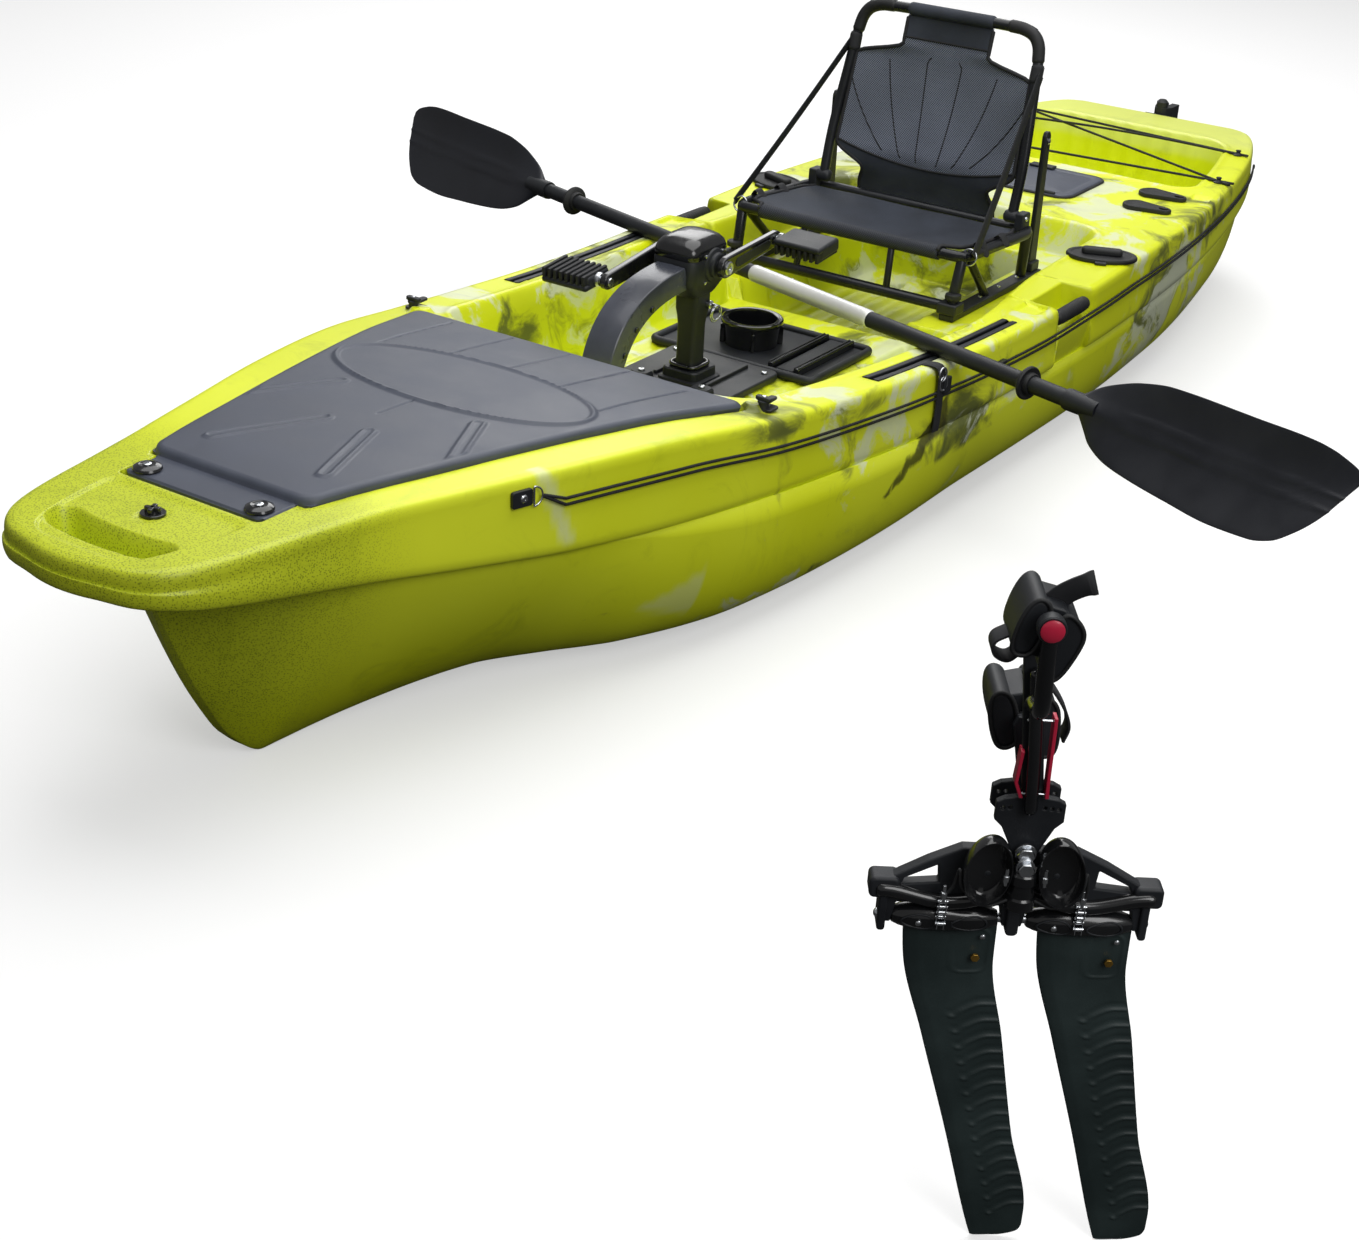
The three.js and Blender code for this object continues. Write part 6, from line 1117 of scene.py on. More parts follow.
        # Painted highlight: the top of the stern drawn paler.
        stern_highlight = 0.3 * smoothstep((y - 1.22) / 0.12) * smoothstep((z - 0.3) / 0.02)
        return {"marble": marble, "speckle": speckle, "shadow_and_scratch": np.clip(shadow_and_scratch + 0.8 * scratch, 0, 1),
                "pale_and_highlight": np.clip(wedge * 0.4 + bow_highlight * 0.6 + stern_highlight, 0, 1)}


# Lids and deck fittings

def capsule(x: Array, y: Array, a: tuple[float, float], b: tuple[float, float]) -> Array:
    """Distance to the line between two points."""
    ax, ay = a
    dx, dy = b[0] - ax, b[1] - ay
    t = np.clip(((x - ax) * dx + (y - ay) * dy) / (dx * dx + dy * dy), 0, 1)
    return np.hypot(x - ax - t * dx, y - ay - t * dy)


def ridge(distance: Array, width: float) -> Array:
    """A round-topped bead of height 1 and a width, over a distance from its line."""
    return smoothstep(1 - np.abs(distance) / width)


@dataclass
class FrontLid:
    """Front hatch lid: a tongue at the hinge and a raised panel with an oval ring, ribs and score lines."""

    tongue_half: float = 0.132
    tip: float = -1.954
    rise: float = 0.0117
    corner: float = 0.026
    ring_middle: float = -1.372
    ring_across: float = 0.243
    ring_along: float = 0.112
    rows: int = 300
    columns: int = 292

    def build(self, make: Maker) -> None:
        """Makes the lid as closed rows: the top from side to side, the rolled edge and the underside."""
        k = LINES
        end = k.hatch_back
        turn = 1 - np.cos(np.linspace(0, QUARTER, 16))
        y = np.concatenate([
            self.tip + 0.006 * turn, np.linspace(self.tip + 0.0063, k.hatch_front - 0.004, 22)[1:-1],
            np.linspace(k.hatch_front - 0.004, k.hatch_front + 0.03, 34),
            np.linspace(k.hatch_front + 0.031, end - self.corner, self.rows - 90),
            end - self.corner + self.corner * np.sin(np.linspace(0, QUARTER, 20))[1:]])
        half = self.half(y)
        x = np.linspace(-1, 1, self.columns)[None] * half[:, None]
        row_y = y[:, None] + 0 * x
        top = self.top(x, row_y)
        sheer = k.sheer(y)[:, None]
        under = np.linspace(0.985, -0.985, 24)
        low = np.stack([under[None] * half[:, None], np.repeat(y[:, None], 24, axis=1),
                        np.repeat(sheer - 0.0115, 24, axis=1)], axis=-1)
        low[:, :, 2] += 0.014 * smoothstep(self.panel(low[..., 0], low[..., 1], 0.045) / 0.01)
        rows = np.concatenate([np.stack([x, row_y, top], axis=-1), low], axis=1)
        first, last = rows[:1].copy(), rows[-1:].copy()
        for edge in (first, last):
            edge[..., 2] = edge[..., 2].mean()
            edge[..., 0] = 0.0
        rows = np.concatenate([first, rows, last])
        obj = make.grid("front_lid", rows, wrap=True, crease=50.0)
        make.place(obj, "front_hatch", "lid_slate", ("front_hatch_lid",))

    def half(self, y: Array) -> Array:
        """Half width of each row, drawn in round the corners."""
        k = LINES
        wide = smoothstep((y - k.hatch_front + 0.001) / 0.009)
        half = self.tongue_half + (k.lid_half(np.maximum(y, k.hatch_front)) - self.tongue_half) * wide
        near = np.clip(1 - (k.hatch_back - y) / self.corner, 0, 1)
        half = half - self.corner * (1 - np.sqrt(np.maximum(1 - near ** 2, 0)))
        start = np.clip(1 - (y - self.tip) / 0.012, 0, 1)
        return half - 0.012 * (1 - np.sqrt(np.maximum(1 - start ** 2, 0)))

    def panel(self, x: Array, y: Array, inset: float = 0.0) -> Array:
        """Distance inside the raised panel."""
        k = LINES
        return inside(x, y, k.lid_half(y), k.hatch_front, k.hatch_back, self.corner) - inset

    def top(self, x: Array, y: Array) -> Array:
        """Height of the top: rolled edges, the oval ring, double ribs and score lines."""
        k = LINES
        d = self.panel(x, y)
        roll = np.sqrt(np.maximum(1 - (1 - np.clip((d + 0.001) / 0.012, 0, 1)) ** 2, 0))
        z = k.sheer(y) + 0.0004 + self.rise * roll
        on = smoothstep((d - 0.012) / 0.006)
        dy = y - self.ring_middle
        r = np.sqrt((x / self.ring_across) ** 2 + (dy / self.ring_along) ** 2) + 1e-6
        steep = np.sqrt((x / self.ring_across ** 2) ** 2 + (dy / self.ring_along ** 2) ** 2) / r + 1e-6
        ring = (r - 1) / steep
        z = z + on * 0.0046 * ridge(ring, 0.0068)
        z = z + on * 0.0012 * smoothstep(-ring / 0.006)
        side = np.abs(x)
        for a, b in (((0.136, -1.501), (0.205, -1.644)), ((0.043, -1.640), (0.108, -1.806))):
            line = capsule(side, y, a, b)
            z = z + on * 0.003 * ridge(line - 0.0095, 0.005)
            z = z + on * 0.0012 * smoothstep((0.0095 - line) / 0.003)
        outside = smoothstep((ring - 0.006) / 0.004)
        for a, b in (((0.0, -1.3), (0.0, -1.085)), ((0.112, -1.3), (0.121, -1.085)),
                     ((0.222, -1.36), (0.245, -1.1)), ((0.0, -1.47), (0.0, -1.57))):
            z = z - on * outside * 0.0026 * ridge(capsule(side, y, a, b), 0.0042)
        tongue = y < k.hatch_front - 0.004
        for edge in (self.tongue_half - side, y - self.tip):
            z = z - tongue * 0.003 * smoothstep(1 - edge / 0.004)
        return z


@dataclass
class DeckFittings:
    """Hinge bolts, toggles, drain plug, rear lid, rod caps and lids, carry handles and gear tracks."""

    bolt_x: float = 0.106
    latch_x: float = 0.365
    cap_y: float = 0.22692
    lids: tuple = (("front", 0.63135), ("back", 0.75213))

    def build(self, make: Maker) -> None:
        """Makes every small deck fitting in turn."""
        for name, side in SIDES:
            self.bolt(make, name, side)
            self.latch(make, name, side)
            self.rod_cap(make, name, side)
            for place, y in self.lids:
                self.flush_lid(make, f"{place}_{name}", side, y)
            self.handle(make, name, side)
            self.track(make, name, side)
        self.drain(make)
        self.rear_lid(make)

    def bolt(self, make: Maker, name: str, side: float) -> None:
        """Oval domed hinge cap with a bright pin let into it."""
        y = LINES.hatch_hinge + 0.013
        at = moved(side * self.bolt_x, y, float(LINES.sheer(y)))
        dome = make.lathe(f"bolt_dome_{name}", [
            (0, -0.011), (0.005, -0.011), (0.005, 0.001), (0.0205, 0.0012), (0.0212, 0.003), (0.0198, 0.006),
            (0.0155, 0.0085), (0.012, 0.0094), (0.0105, 0.0088), (0.0, 0.0088)], at)
        make.place(dome, "front_hatch", "black_gloss", (f"hatch_bolt_{name}",))
        pin = make.lathe(
            f"bolt_pin_{name}", [(0, 0.0082), (0.0062, 0.0082), (0.0064, 0.0098), (0.005, 0.0108),
                                 (0.0022, 0.011), (0.002, 0.0098), (0, 0.0098)], at, sides=24)
        make.place(pin, "front_hatch", "bright_steel")

    def latch(self, make: Maker, name: str, side: float) -> None:
        """Toggle with a foot, a post, two wings and a grip, behind an aft corner of the lid."""
        y = LINES.hatch_back + 0.014
        at = moved(side * self.latch_x, y, float(LINES.sheer(LINES.hatch_back)) + 0.0003)
        body = f"hatch_latch_{name}"
        foot = make.prism(f"latch_foot_{name}", rounded(0.034, 0.03, 0.007, 0, 0.008), 0.0, 0.0042, at,
                          0.0012)
        make.place(foot, body, "black_plastic", (body,))
        post = make.lathe(f"latch_post_{name}", [
            (0, 0), (0.0095, 0), (0.0088, 0.004), (0.0085, 0.013), (0.0105, 0.0135), (0.0105, 0.0165),
            (0.006, 0.0175), (0, 0.0175)], at, sides=28)
        make.place(post, body, "black_plastic")
        wing = make.prism(f"latch_wing_{name}", [
            (-0.006, -0.007), (0.006, -0.007), (0.0075, 0.012), (0.0065, 0.031), (0.003, 0.0335),
            (-0.003, 0.0335), (-0.0065, 0.031), (-0.0075, 0.012)], 0.0102, 0.0155, at, 0.0018)
        make.place(wing, body, "black_plastic")
        grip = make.prism(f"latch_grip_{name}", rounded(0.03, 0.012, 0.0055), 0.0165, 0.0232, at, 0.0018)
        make.place(grip, body, "black_plastic")
        screw = make.lathe(f"latch_screw_{name}",
                           [(0, 0.0225), (0.0035, 0.0232), (0.003, 0.0245), (0, 0.0248)], at, sides=16)
        make.place(screw, body, "bright_steel")

    def rod_cap(self, make: Maker, name: str, side: float) -> None:
        """Oval cap over the rod tube with a raised bar across it and a hinge ear."""
        y = self.cap_y
        half, sheer = LINES.edge_at(y)
        pitch = math.atan2(float(LINES.sheer(y + 0.06) - LINES.sheer(y - 0.06)), 0.12)
        at = moved(side * (half - 0.07), y, sheer) @ turned(pitch, "X") @ turned(side * 0.377, "Z")
        body = f"rod_tube_cap_{name}"
        steps = np.linspace(0, math.tau, 64, endpoint=False)
        oval = np.column_stack([0.073 * np.cos(steps), 0.047 * np.sin(steps)])
        levels = [(0.985, 0.0006), (1.0, 0.0022), (1.0, 0.0062), (0.975, 0.0086), (0.9, 0.0094),
                  (0.86, 0.0086), (0.83, 0.0072), (0.6, 0.0074), (0.3, 0.0078), (0.0, 0.0079)]
        points = np.array([[(p[0] * s, p[1] * s, h) for p in oval] for s, h in [(0.0, 0.0006)] + levels])
        lid = make.grid(f"cap_{name}", points, wrap=True, crease=30.0)
        lid.data.transform(at)
        make.place(lid, body, "black_rubber", (body,))
        bar = make.prism(f"cap_bar_{name}", rounded(0.084, 0.024, 0.0115), 0.0066, 0.0205, at, 0.005, 5)
        make.place(bar, body, "black_rubber")
        collar = make.lathe(f"cap_plug_{name}",
                            [(0, -0.026), (0.025, -0.026), (0.026, -0.024), (0.026, 0.0012), (0, 0.0012)], at)
        make.place(collar, body, "black_rubber")
        ear = make.block(f"cap_ear_{name}", (-0.012, -0.0555, -0.0002), (0.012, -0.042, 0.006), 0.002, at)
        make.place(ear, "boat", "black_plastic")

    def flush_lid(self, make: Maker, name: str, side: float, y: float) -> None:
        """Teardrop lid with a soft crown and a finger dent at its tip."""
        half, sheer = LINES.edge_at(y)
        at = moved(side * (half - 0.142), y, sheer + 0.0006) @ turned(0.0 if side > 0 else math.pi, "Z")
        big, tip, reach = 0.031, 0.016, 0.065
        a = np.linspace(QUARTER + 0.18, 1.5 * math.pi - 0.18, 26)
        b = np.linspace(-QUARTER + 0.18, QUARTER - 0.18, 18)
        outline = np.concatenate([np.column_stack([big * np.cos(a), big * np.sin(a)]),
                                  np.column_stack([reach + tip * np.cos(b), tip * np.sin(b)])])
        middle = np.array([0.018, 0.0])
        rings = [(0.0, 0.0), (0.98, 0.0), (1.0, 0.0015), (1.0, 0.0065), (0.97, 0.0088), (0.9, 0.0098),
                 (0.84, 0.0091), (0.8, 0.0084), (0.5, 0.0092), (0.0, 0.0096)]
        points = np.array([[(*(middle + (p - middle) * s), h) for p in outline] for s, h in rings])
        lid = make.grid(f"teardrop_{name}", points, wrap=True, crease=30.0)
        lid.data.transform(at)
        body = f"rod_lid_{name}"
        make.place(lid, body, "black_rubber", (body,))
        plug = make.lathe(f"teardrop_plug_{name}",
                          [(0, -0.018), (0.018, -0.018), (0.019, -0.016), (0.019, 0.0008), (0, 0.0008)], at)
        make.place(plug, body, "black_rubber")
        tab = make.prism(f"teardrop_tab_{name}", rounded(0.022, 0.01, 0.0045, 0.064), 0.0095, 0.0118, at,
                         0.001)
        make.place(tab, body, "black_rubber")

    def handle(self, make: Maker, name: str, side: float) -> None:
        """Carry handle: a ribbed rubber grip on two arms that turn in the side of the gunwale."""
        y = LINES.handle
        x, z = (value - 0.038 for value in LINES.edge_at(y))
        gx, gz = x + 0.025 * math.cos(0.45), z + 0.025 * math.sin(0.45)
        body = f"carry_handle_{name}"
        line = np.linspace(-0.0625, 0.0625, 85)
        swell = 0.0138 + 0.0012 * smoothstep((0.057 - np.abs(line)) / 0.01)
        swell = swell - 0.0012 * (0.5 + 0.5 * np.cos(line * math.tau / 0.0078)) * (np.abs(line) < 0.05)
        grip = make.sweep(f"grip_{name}",
                          np.column_stack([np.full(85, side * gx), y + line, np.full(85, gz)]), swell, 28)
        make.place(grip, body, "black_rubber", (body,))
        for end in (-1, 1):
            arm = spline([
                (side * gx, y + end * 0.0625, gz), (side * (gx + x) / 2, y + end * 0.0625, (gz + z) / 2),
                (side * x, y + end * 0.0625, z)], 12)
            make.place(make.sweep(f"grip_arm_{name}_{end + 1}", arm, 0.0088, 16), body, "black_plastic")
            pin = np.array([(side * x, y + end * 0.055, z), (side * x, y + end * 0.0795, z)])
            make.place(make.sweep(f"grip_pin_{name}_{end + 1}", pin, 0.005, 12), body, "black_plastic")

    def track(self, make: Maker, name: str, side: float) -> None:
        """Gear track: a black channel with two lips, let into the gunwale, with a screw at each end."""
        y = np.linspace(-0.7445, -0.2491, 40)
        x = side * (LINES.gunwale(y) - TRACK_INSET)
        z = LINES.sheer(y)
        profile = [(-0.0158, -0.0108), (-0.0158, -0.0006), (-0.0148, 0.0006), (-0.0055, 0.0006),
                   (-0.0045, -0.0004), (-0.0045, -0.0026), (-0.0088, -0.0026), (-0.0088, -0.0086),
                   (0.0088, -0.0086), (0.0088, -0.0026), (0.0045, -0.0026), (0.0045, -0.0004),
                   (0.0055, 0.0006), (0.0148, 0.0006), (0.0158, -0.0006), (0.0158, -0.0108)]
        rows = np.array([[(a + u, b, c + w) for u, w in profile] for a, b, c in zip(x, y, z)])
        end = rows[-1:].mean(axis=1, keepdims=True).repeat(len(profile), axis=1)
        obj = make.grid(f"track_{name}", np.concatenate([rows, end]), wrap=True, crease=25.0)
        make.place(obj, "boat", "black_plastic", (f"gear_track_{name}",))
        for k, place in enumerate((-0.735, -0.497, -0.259)):
            half, sheer = LINES.edge_at(place)
            at = moved(side * (half - TRACK_INSET), place, sheer - 0.0086)
            screw = make.lathe(
                f"track_screw_{name}_{k}",
                [(0, 0), (0.0036, 0.0002), (0.003, 0.0018), (0.0012, 0.0022), (0, 0.0014)], at, sides=16)
            make.place(screw, "boat", "bright_steel")

    def drain(self, make: Maker) -> None:
        """Drain plug with a cross grip in a pale seat ring."""
        at = moved(0, LINES.drain, float(LINES.sheer(LINES.drain)) - 0.006)
        cap = make.lathe("plug_cap", [
            (0, -0.01), (0.0105, -0.01), (0.0105, 0.0005), (0.0175, 0.0005), (0.018, 0.0012), (0.0176, 0.004),
            (0.0165, 0.0048), (0.009, 0.005), (0.009, 0.0072), (0, 0.0076)], at)
        make.place(cap, "drain_plug", "black_gloss", ("bow_drain_plug",))
        for k, turn in enumerate((0.4, 0.4 + QUARTER)):
            bar = make.prism(f"plug_bar_{k}", rounded(0.023, 0.0075, 0.003), 0.0045, 0.0125,
                             at @ turned(turn, "Z"), 0.0015)
            make.place(bar, "drain_plug", "black_gloss")

    def rear_lid(self, make: Maker) -> None:
        """Rear hatch lid on a black gasket, with a domed middle and a pull tab."""
        k = LINES
        middle = (k.rear_front + k.rear_back) / 2
        length = k.rear_back - k.rear_front
        base = k.rear_deck - 0.0097
        rings = []
        for inset, height in ((0.155, 0.0), (0.001, 0.0), (0.0, 0.0012), (0.0, 0.0112), (0.002, 0.0148),
                              (0.006, 0.0158), (0.016, 0.016), (0.02, 0.0148), (0.024, 0.0146),
                              (0.03, 0.0158), (0.06, 0.0168), (0.1, 0.0172)):
            w, h = max(0.31 - 2 * inset, 0.0001), max(length - 2 * inset, 0.0001)
            corner = max(min(0.034 - inset * 0.6, w / 2, h / 2), 0.00004)
            rings.append(np.column_stack([rounded(w, h, corner, 0, middle, 10), np.full(44, base + height)]))
        rings.append(np.column_stack([
            rounded(0.0001, 0.0001, 0.00004, 0, middle, 10), np.full(44, base + 0.0174)]))
        obj = make.grid("rear_panel", np.array(rings), wrap=True, crease=30.0)
        make.place(obj, "rear_hatch", "lid_slate", ("rear_hatch_lid",))
        seal = rounded(0.3135, length + 0.0035, 0.0355, 0, middle, 10)
        seal = np.column_stack([seal, np.full(44, k.rear_deck + 0.0015)])
        make.place(make.sweep("rear_gasket", seal, 0.0034, 10, closed=True), "boat", "black_rubber")
        tab = make.block("rear_tab", (-0.03, k.rear_back - 0.03, base + 0.0155),
                         (0.03, k.rear_back - 0.004, base + 0.0215), 0.0025)
        make.place(tab, "rear_hatch", "black_plastic")
        for x in (-0.1, 0.1):
            line = np.array([(x + step, k.rear_front + 0.006, base + 0.0165) for step in (-0.02, 0.02)])
            hinge = make.sweep(f"rear_hinge_{int(x * 10) + 1}", line, 0.0042, 14)
            make.place(hinge, "rear_hatch", "black_plastic")


# Seat

@dataclass
class SeatSizes:
    """Sizes of the seat; the same as those of the CAD frame."""

    front_y: float = -0.14713
    depth: float = 0.3
    half: float = 0.262
    front_z: float = 0.408
    back_z: float = 0.396
    tube: float = 0.011
    foot_x: float = 0.25
    foot_lead: float = 0.018
    ledge: float = 0.2853
    back_half: float = 0.224
    top_half: float = 0.208
    recline: float = 0.228
    back_length: float = 0.368
    pivot_y: float = 0.13387
    pivot_z: float = 0.424

    def back(self, x: Array | float, up: Array | float, out: Array | float = 0.0) -> Array:
        """A point of the back frame, given across, up along its slope and behind it."""
        c, s = math.cos(self.recline), math.sin(self.recline)
        x, up, out = np.broadcast_arrays(x, up, out)
        return np.stack([x, self.pivot_y + up * s + out * c, self.pivot_z + up * c - out * s], axis=-1)


@dataclass
class SeatBase:
    """Tube frame, rails, posts, clamp knobs and the sling."""

    sizes: SeatSizes = field(default_factory=SeatSizes)

    def build(self, make: Maker) -> None:
        """Makes the frame and then the sling."""
        k = self.sizes
        y0, y1 = k.front_y, k.front_y + k.depth
        r = k.tube
        bend = 0.03
        loop = [(-k.half, y0 + bend, k.front_z), (-k.half + 0.009, y0 + 0.009, k.front_z),
                (-k.half + bend, y0, k.front_z), (0, y0, k.front_z), (k.half - bend, y0, k.front_z),
                (k.half - 0.009, y0 + 0.009, k.front_z), (k.half, y0 + bend, k.front_z),
                (k.half, (y0 + y1) / 2, (k.front_z + k.back_z) / 2), (k.half, y1 - bend, k.back_z),
                (k.half - 0.009, y1 - 0.009, k.back_z), (k.half - bend, y1, k.back_z), (0, y1, k.back_z),
                (-k.half + bend, y1, k.back_z), (-k.half + 0.009, y1 - 0.009, k.back_z),
                (-k.half, y1 - bend, k.back_z), (-k.half, (y0 + y1) / 2, (k.front_z + k.back_z) / 2)]
        top = make.sweep("seat_loop", spline(loop, 180, closed=True), r, 18, closed=True)
        make.place(top, "seat", "seat_tube", ("seat_base_frame",))
        foot = k.ledge + 0.014
        for name, side in SIDES:
            x, fx = side * k.half, side * k.foot_x
            brace_y = y0 + k.depth * 0.45
            legs = (("leg_front", (x - side * 0.008, y0 + 0.006, k.front_z), (fx, y0 - k.foot_lead, foot)),
                    ("leg_back", (x, y1 - 0.02, k.back_z), (fx, y1, foot)),
                    ("brace", (x - side * 0.003, y0 + 0.03, k.front_z - 0.012), (fx, brace_y, foot)))
            for part, *line in legs:
                radius = r * 0.8 if part == "brace" else r
                make.place(make.sweep(f"{part}_{name}", np.array(line), radius, 16), "seat", "seat_tube")
            rail = make.block(f"rail_{name}", (fx - 0.016, y0 - k.foot_lead - 0.016, k.ledge),
                              (fx + 0.016, y0 - k.foot_lead + 0.39, k.ledge + 0.014), 0.003)
            make.place(rail, "seat", "black_plastic")
            post_x = side * 0.247
            post_y = y0 + 0.352
            blade = [(post_y - 0.017, k.ledge + 0.006), (post_y + 0.017, k.ledge + 0.006),
                     (post_y + 0.014, k.ledge + 0.12), (post_y + 0.0115, k.ledge + 0.296),
                     (post_y + 0.006, k.ledge + 0.305), (post_y - 0.006, k.ledge + 0.305),
                     (post_y - 0.0115, k.ledge + 0.296), (post_y - 0.014, k.ledge + 0.12)]
            post = make.prism(f"post_{name}", blade, post_x - 0.005, post_x + 0.005, standing(), 0.002)
            bolt = make.lathe(
                f"post_bolt_{name}", [(0, 0), (0.006, 0), (0.0062, 0.0022), (0.004, 0.0036), (0, 0.0036)],
                along_x(post_x + side * 0.005, post_y, k.ledge + 0.286, side), sides=20)
            make.place(bolt, "seat", "bright_steel")
            make.place(post, "seat", "black_plastic")
            shoe = make.block(f"post_shoe_{name}", (post_x - 0.014, post_y - 0.018, k.ledge + 0.0135),
                              (post_x + 0.012, post_y + 0.018, k.ledge + 0.034), 0.003)
            make.place(shoe, "seat", "black_plastic")
            left, right = sorted((side * 0.2353, side * 0.2555))
            lug = make.block(f"pivot_lug_{name}", (left, k.pivot_y - 0.012, k.back_z - 0.012),
                             (right, k.pivot_y + 0.022, k.pivot_z + 0.011), 0.003)
            make.place(lug, "seat", "black_plastic")
            self.knob(make, name, side, fx, y0 - k.foot_lead)
            for step in range(4):
                at = moved(fx, y0 + 0.03 + step * 0.085, k.ledge + 0.0138)
                screw = make.lathe(
                    f"rail_screw_{name}_{step}",
                    [(0, 0), (0.0045, 0), (0.004, 0.0022), (0.0015, 0.003), (0, 0.0022)], at, sides=16)
                make.place(screw, "seat", "bright_steel")
        cross = np.array([(-k.foot_x, y0 - k.foot_lead, foot + r), (k.foot_x, y0 - k.foot_lead, foot + r)])
        make.place(make.sweep("cross_bar", cross, r, 18), "seat", "seat_tube")
        for x in (-0.1, 0.1):
            stay = np.array([(x, y0, k.front_z - 0.004), (x * 1.05, y0 - k.foot_lead, foot + r)])
            make.place(make.sweep(f"front_stay_{int(x * 10) + 1}", stay, 0.007, 14), "seat", "seat_tube")
        self.sling(make)

    def knob(self, make: Maker, name: str, side: float, x: float, y: float) -> None:
        """Clamp block with a finger knob at the front end of a rail."""
        z = self.sizes.ledge
        block = make.block(f"clamp_{name}", (x - 0.021, y - 0.02, z + 0.0135),
                           (x + 0.021, y + 0.02, z + 0.036), 0.004)
        make.place(block, "seat", "black_plastic")
        at = moved(x + side * 0.004, y, z + 0.0355)
        stem = make.lathe(f"clamp_stem_{name}", [
            (0, 0), (0.008, 0), (0.0075, 0.006), (0.0155, 0.008), (0.0165, 0.012), (0.0155, 0.0175),
            (0.011, 0.0195), (0.004, 0.019), (0, 0.0182)], at, sides=36)
        make.place(stem, "seat", "black_rubber")

    def sling(self, make: Maker) -> None:
        """Fabric seat: rolled over the front bar, sagging in the middle, with bound side edges."""
        k = self.sizes
        columns, wrap_rows = 61, 12
        u = np.linspace(-1, 1, columns)
        y0, y1 = k.front_y, k.front_y + 0.281
        turn = np.linspace(-1.9, QUARTER, wrap_rows)
        r = k.tube + 0.0022
        roll_y = y0 - r * np.cos(turn)
        roll_z = k.front_z + r * np.sin(turn)
        v = np.linspace(0, 1, 60)[1:]
        flat_y = y0 + (y1 - y0 - 0.012) * v
        flat_z = k.front_z + r + (k.back_z + 0.004 - k.front_z - r) * v
        line_y = np.concatenate([roll_y, flat_y])
        line_z = np.concatenate([roll_z, flat_z])
        depth = np.concatenate([np.zeros(wrap_rows), v])
        half = 0.236 + 0.012 * smoothstep(depth / 0.25) - 0.03 * smoothstep((0.1 - depth) / 0.1)
        half = half - 0.012 * smoothstep((depth - 0.85) / 0.15)
        span = np.sin(math.pi * (u[None] + 1) / 2)
        sag = 0.03 * span ** 0.8 * (np.sin(math.pi * np.clip(depth, 0, 1)) ** 0.7)[:, None]
        sag = sag + 0.0012 * np.sin(9 * depth[:, None] + 7 * u[None] ** 2) * span * (depth[:, None] > 0.08)
        x = u[None] * half[:, None]
        rows = np.stack([x, np.repeat(line_y[:, None], columns, axis=1), line_z[:, None] - sag], axis=-1)
        obj = make.grid("sling", rows, crease=180.0, weld=False)
        uv_map(obj, rows)
        thicken(obj, 0.0028)
        make.place(obj, "seat", "panel_cloth", ("seat_sling",))
        obj.data.materials.append(make.palette["mesh_dark"])
        paint(obj, lambda c: (c[:, 1] < y0 + 0.02).astype(int))
        for name, side in SIDES:
            edge = rows[8:, -1 if side > 0 else 0].copy()
            edge[:, 2] += 0.0005
            make.place(make.sweep(f"sling_hem_{name}", edge[::2], 0.0042, 10), "seat", "webbing_black")
            for place in (0.3, 0.62):
                i = int(8 + place * (len(rows) - 9))
                a = rows[i, -1 if side > 0 else 0]
                loop = np.array([a - (side * 0.004, 0, 0), (side * (k.half - 0.002), a[1], a[2] + 0.012),
                                 (side * (k.half + 0.012), a[1], k.front_z - 0.004)])
                band = make.sweep(f"sling_loop_{name}_{int(place * 100)}", spline(loop, 14), 0.012, 12,
                                  squash=0.16)
                make.place(band, "seat", "webbing_black")


def run_length(rows: Array, axis: int) -> Array:
    """Length from the first row or column to each other, along a grid."""
    total = np.cumsum(np.linalg.norm(np.diff(rows, axis=axis), axis=-1), axis=axis)
    return np.pad(total, [(int(axis == k), 0) for k in range(2)])


def set_uv(mesh: bpy.types.Mesh, table: Array) -> None:
    """Gives a mesh a UV map from two values per point."""
    loops = np.empty(len(mesh.loops), dtype=int)
    mesh.loops.foreach_get("vertex_index", loops)
    layer = mesh.uv_layers.new(name="UVMap")
    layer.data.foreach_set("uv", table[loops].reshape(-1).astype(np.float32))


def uv_map(obj: bpy.types.Object, rows: Array) -> None:
    """Gives a sheet that was made from a grid a UV map in metres along its rows and columns."""
    across, down = run_length(rows, 1), run_length(rows, 0)
    across = across - across[:, -1:] / 2
    down = np.repeat(down[:, rows.shape[1] // 2:rows.shape[1] // 2 + 1], rows.shape[1], axis=1)
    set_uv(obj.data, np.stack([across, down], axis=-1).reshape(-1, 2))


def thicken(obj: bpy.types.Object, thickness: float) -> None:
    """Gives a sheet its thickness, half to each side, as a live modifier."""
    step = obj.modifiers.new("thickness", "SOLIDIFY")
    step.thickness = thickness
    step.offset = 0.0


def paint(obj: bpy.types.Object, choose: object) -> None:
    """Sets each face's material slot from the middles of the faces."""
    centres = np.empty(len(obj.data.polygons) * 3)
    obj.data.polygons.foreach_get("center", centres)
    index = choose(centres.reshape(-1, 3)).astype(np.int32)
    obj.data.polygons.foreach_set("material_index", index)


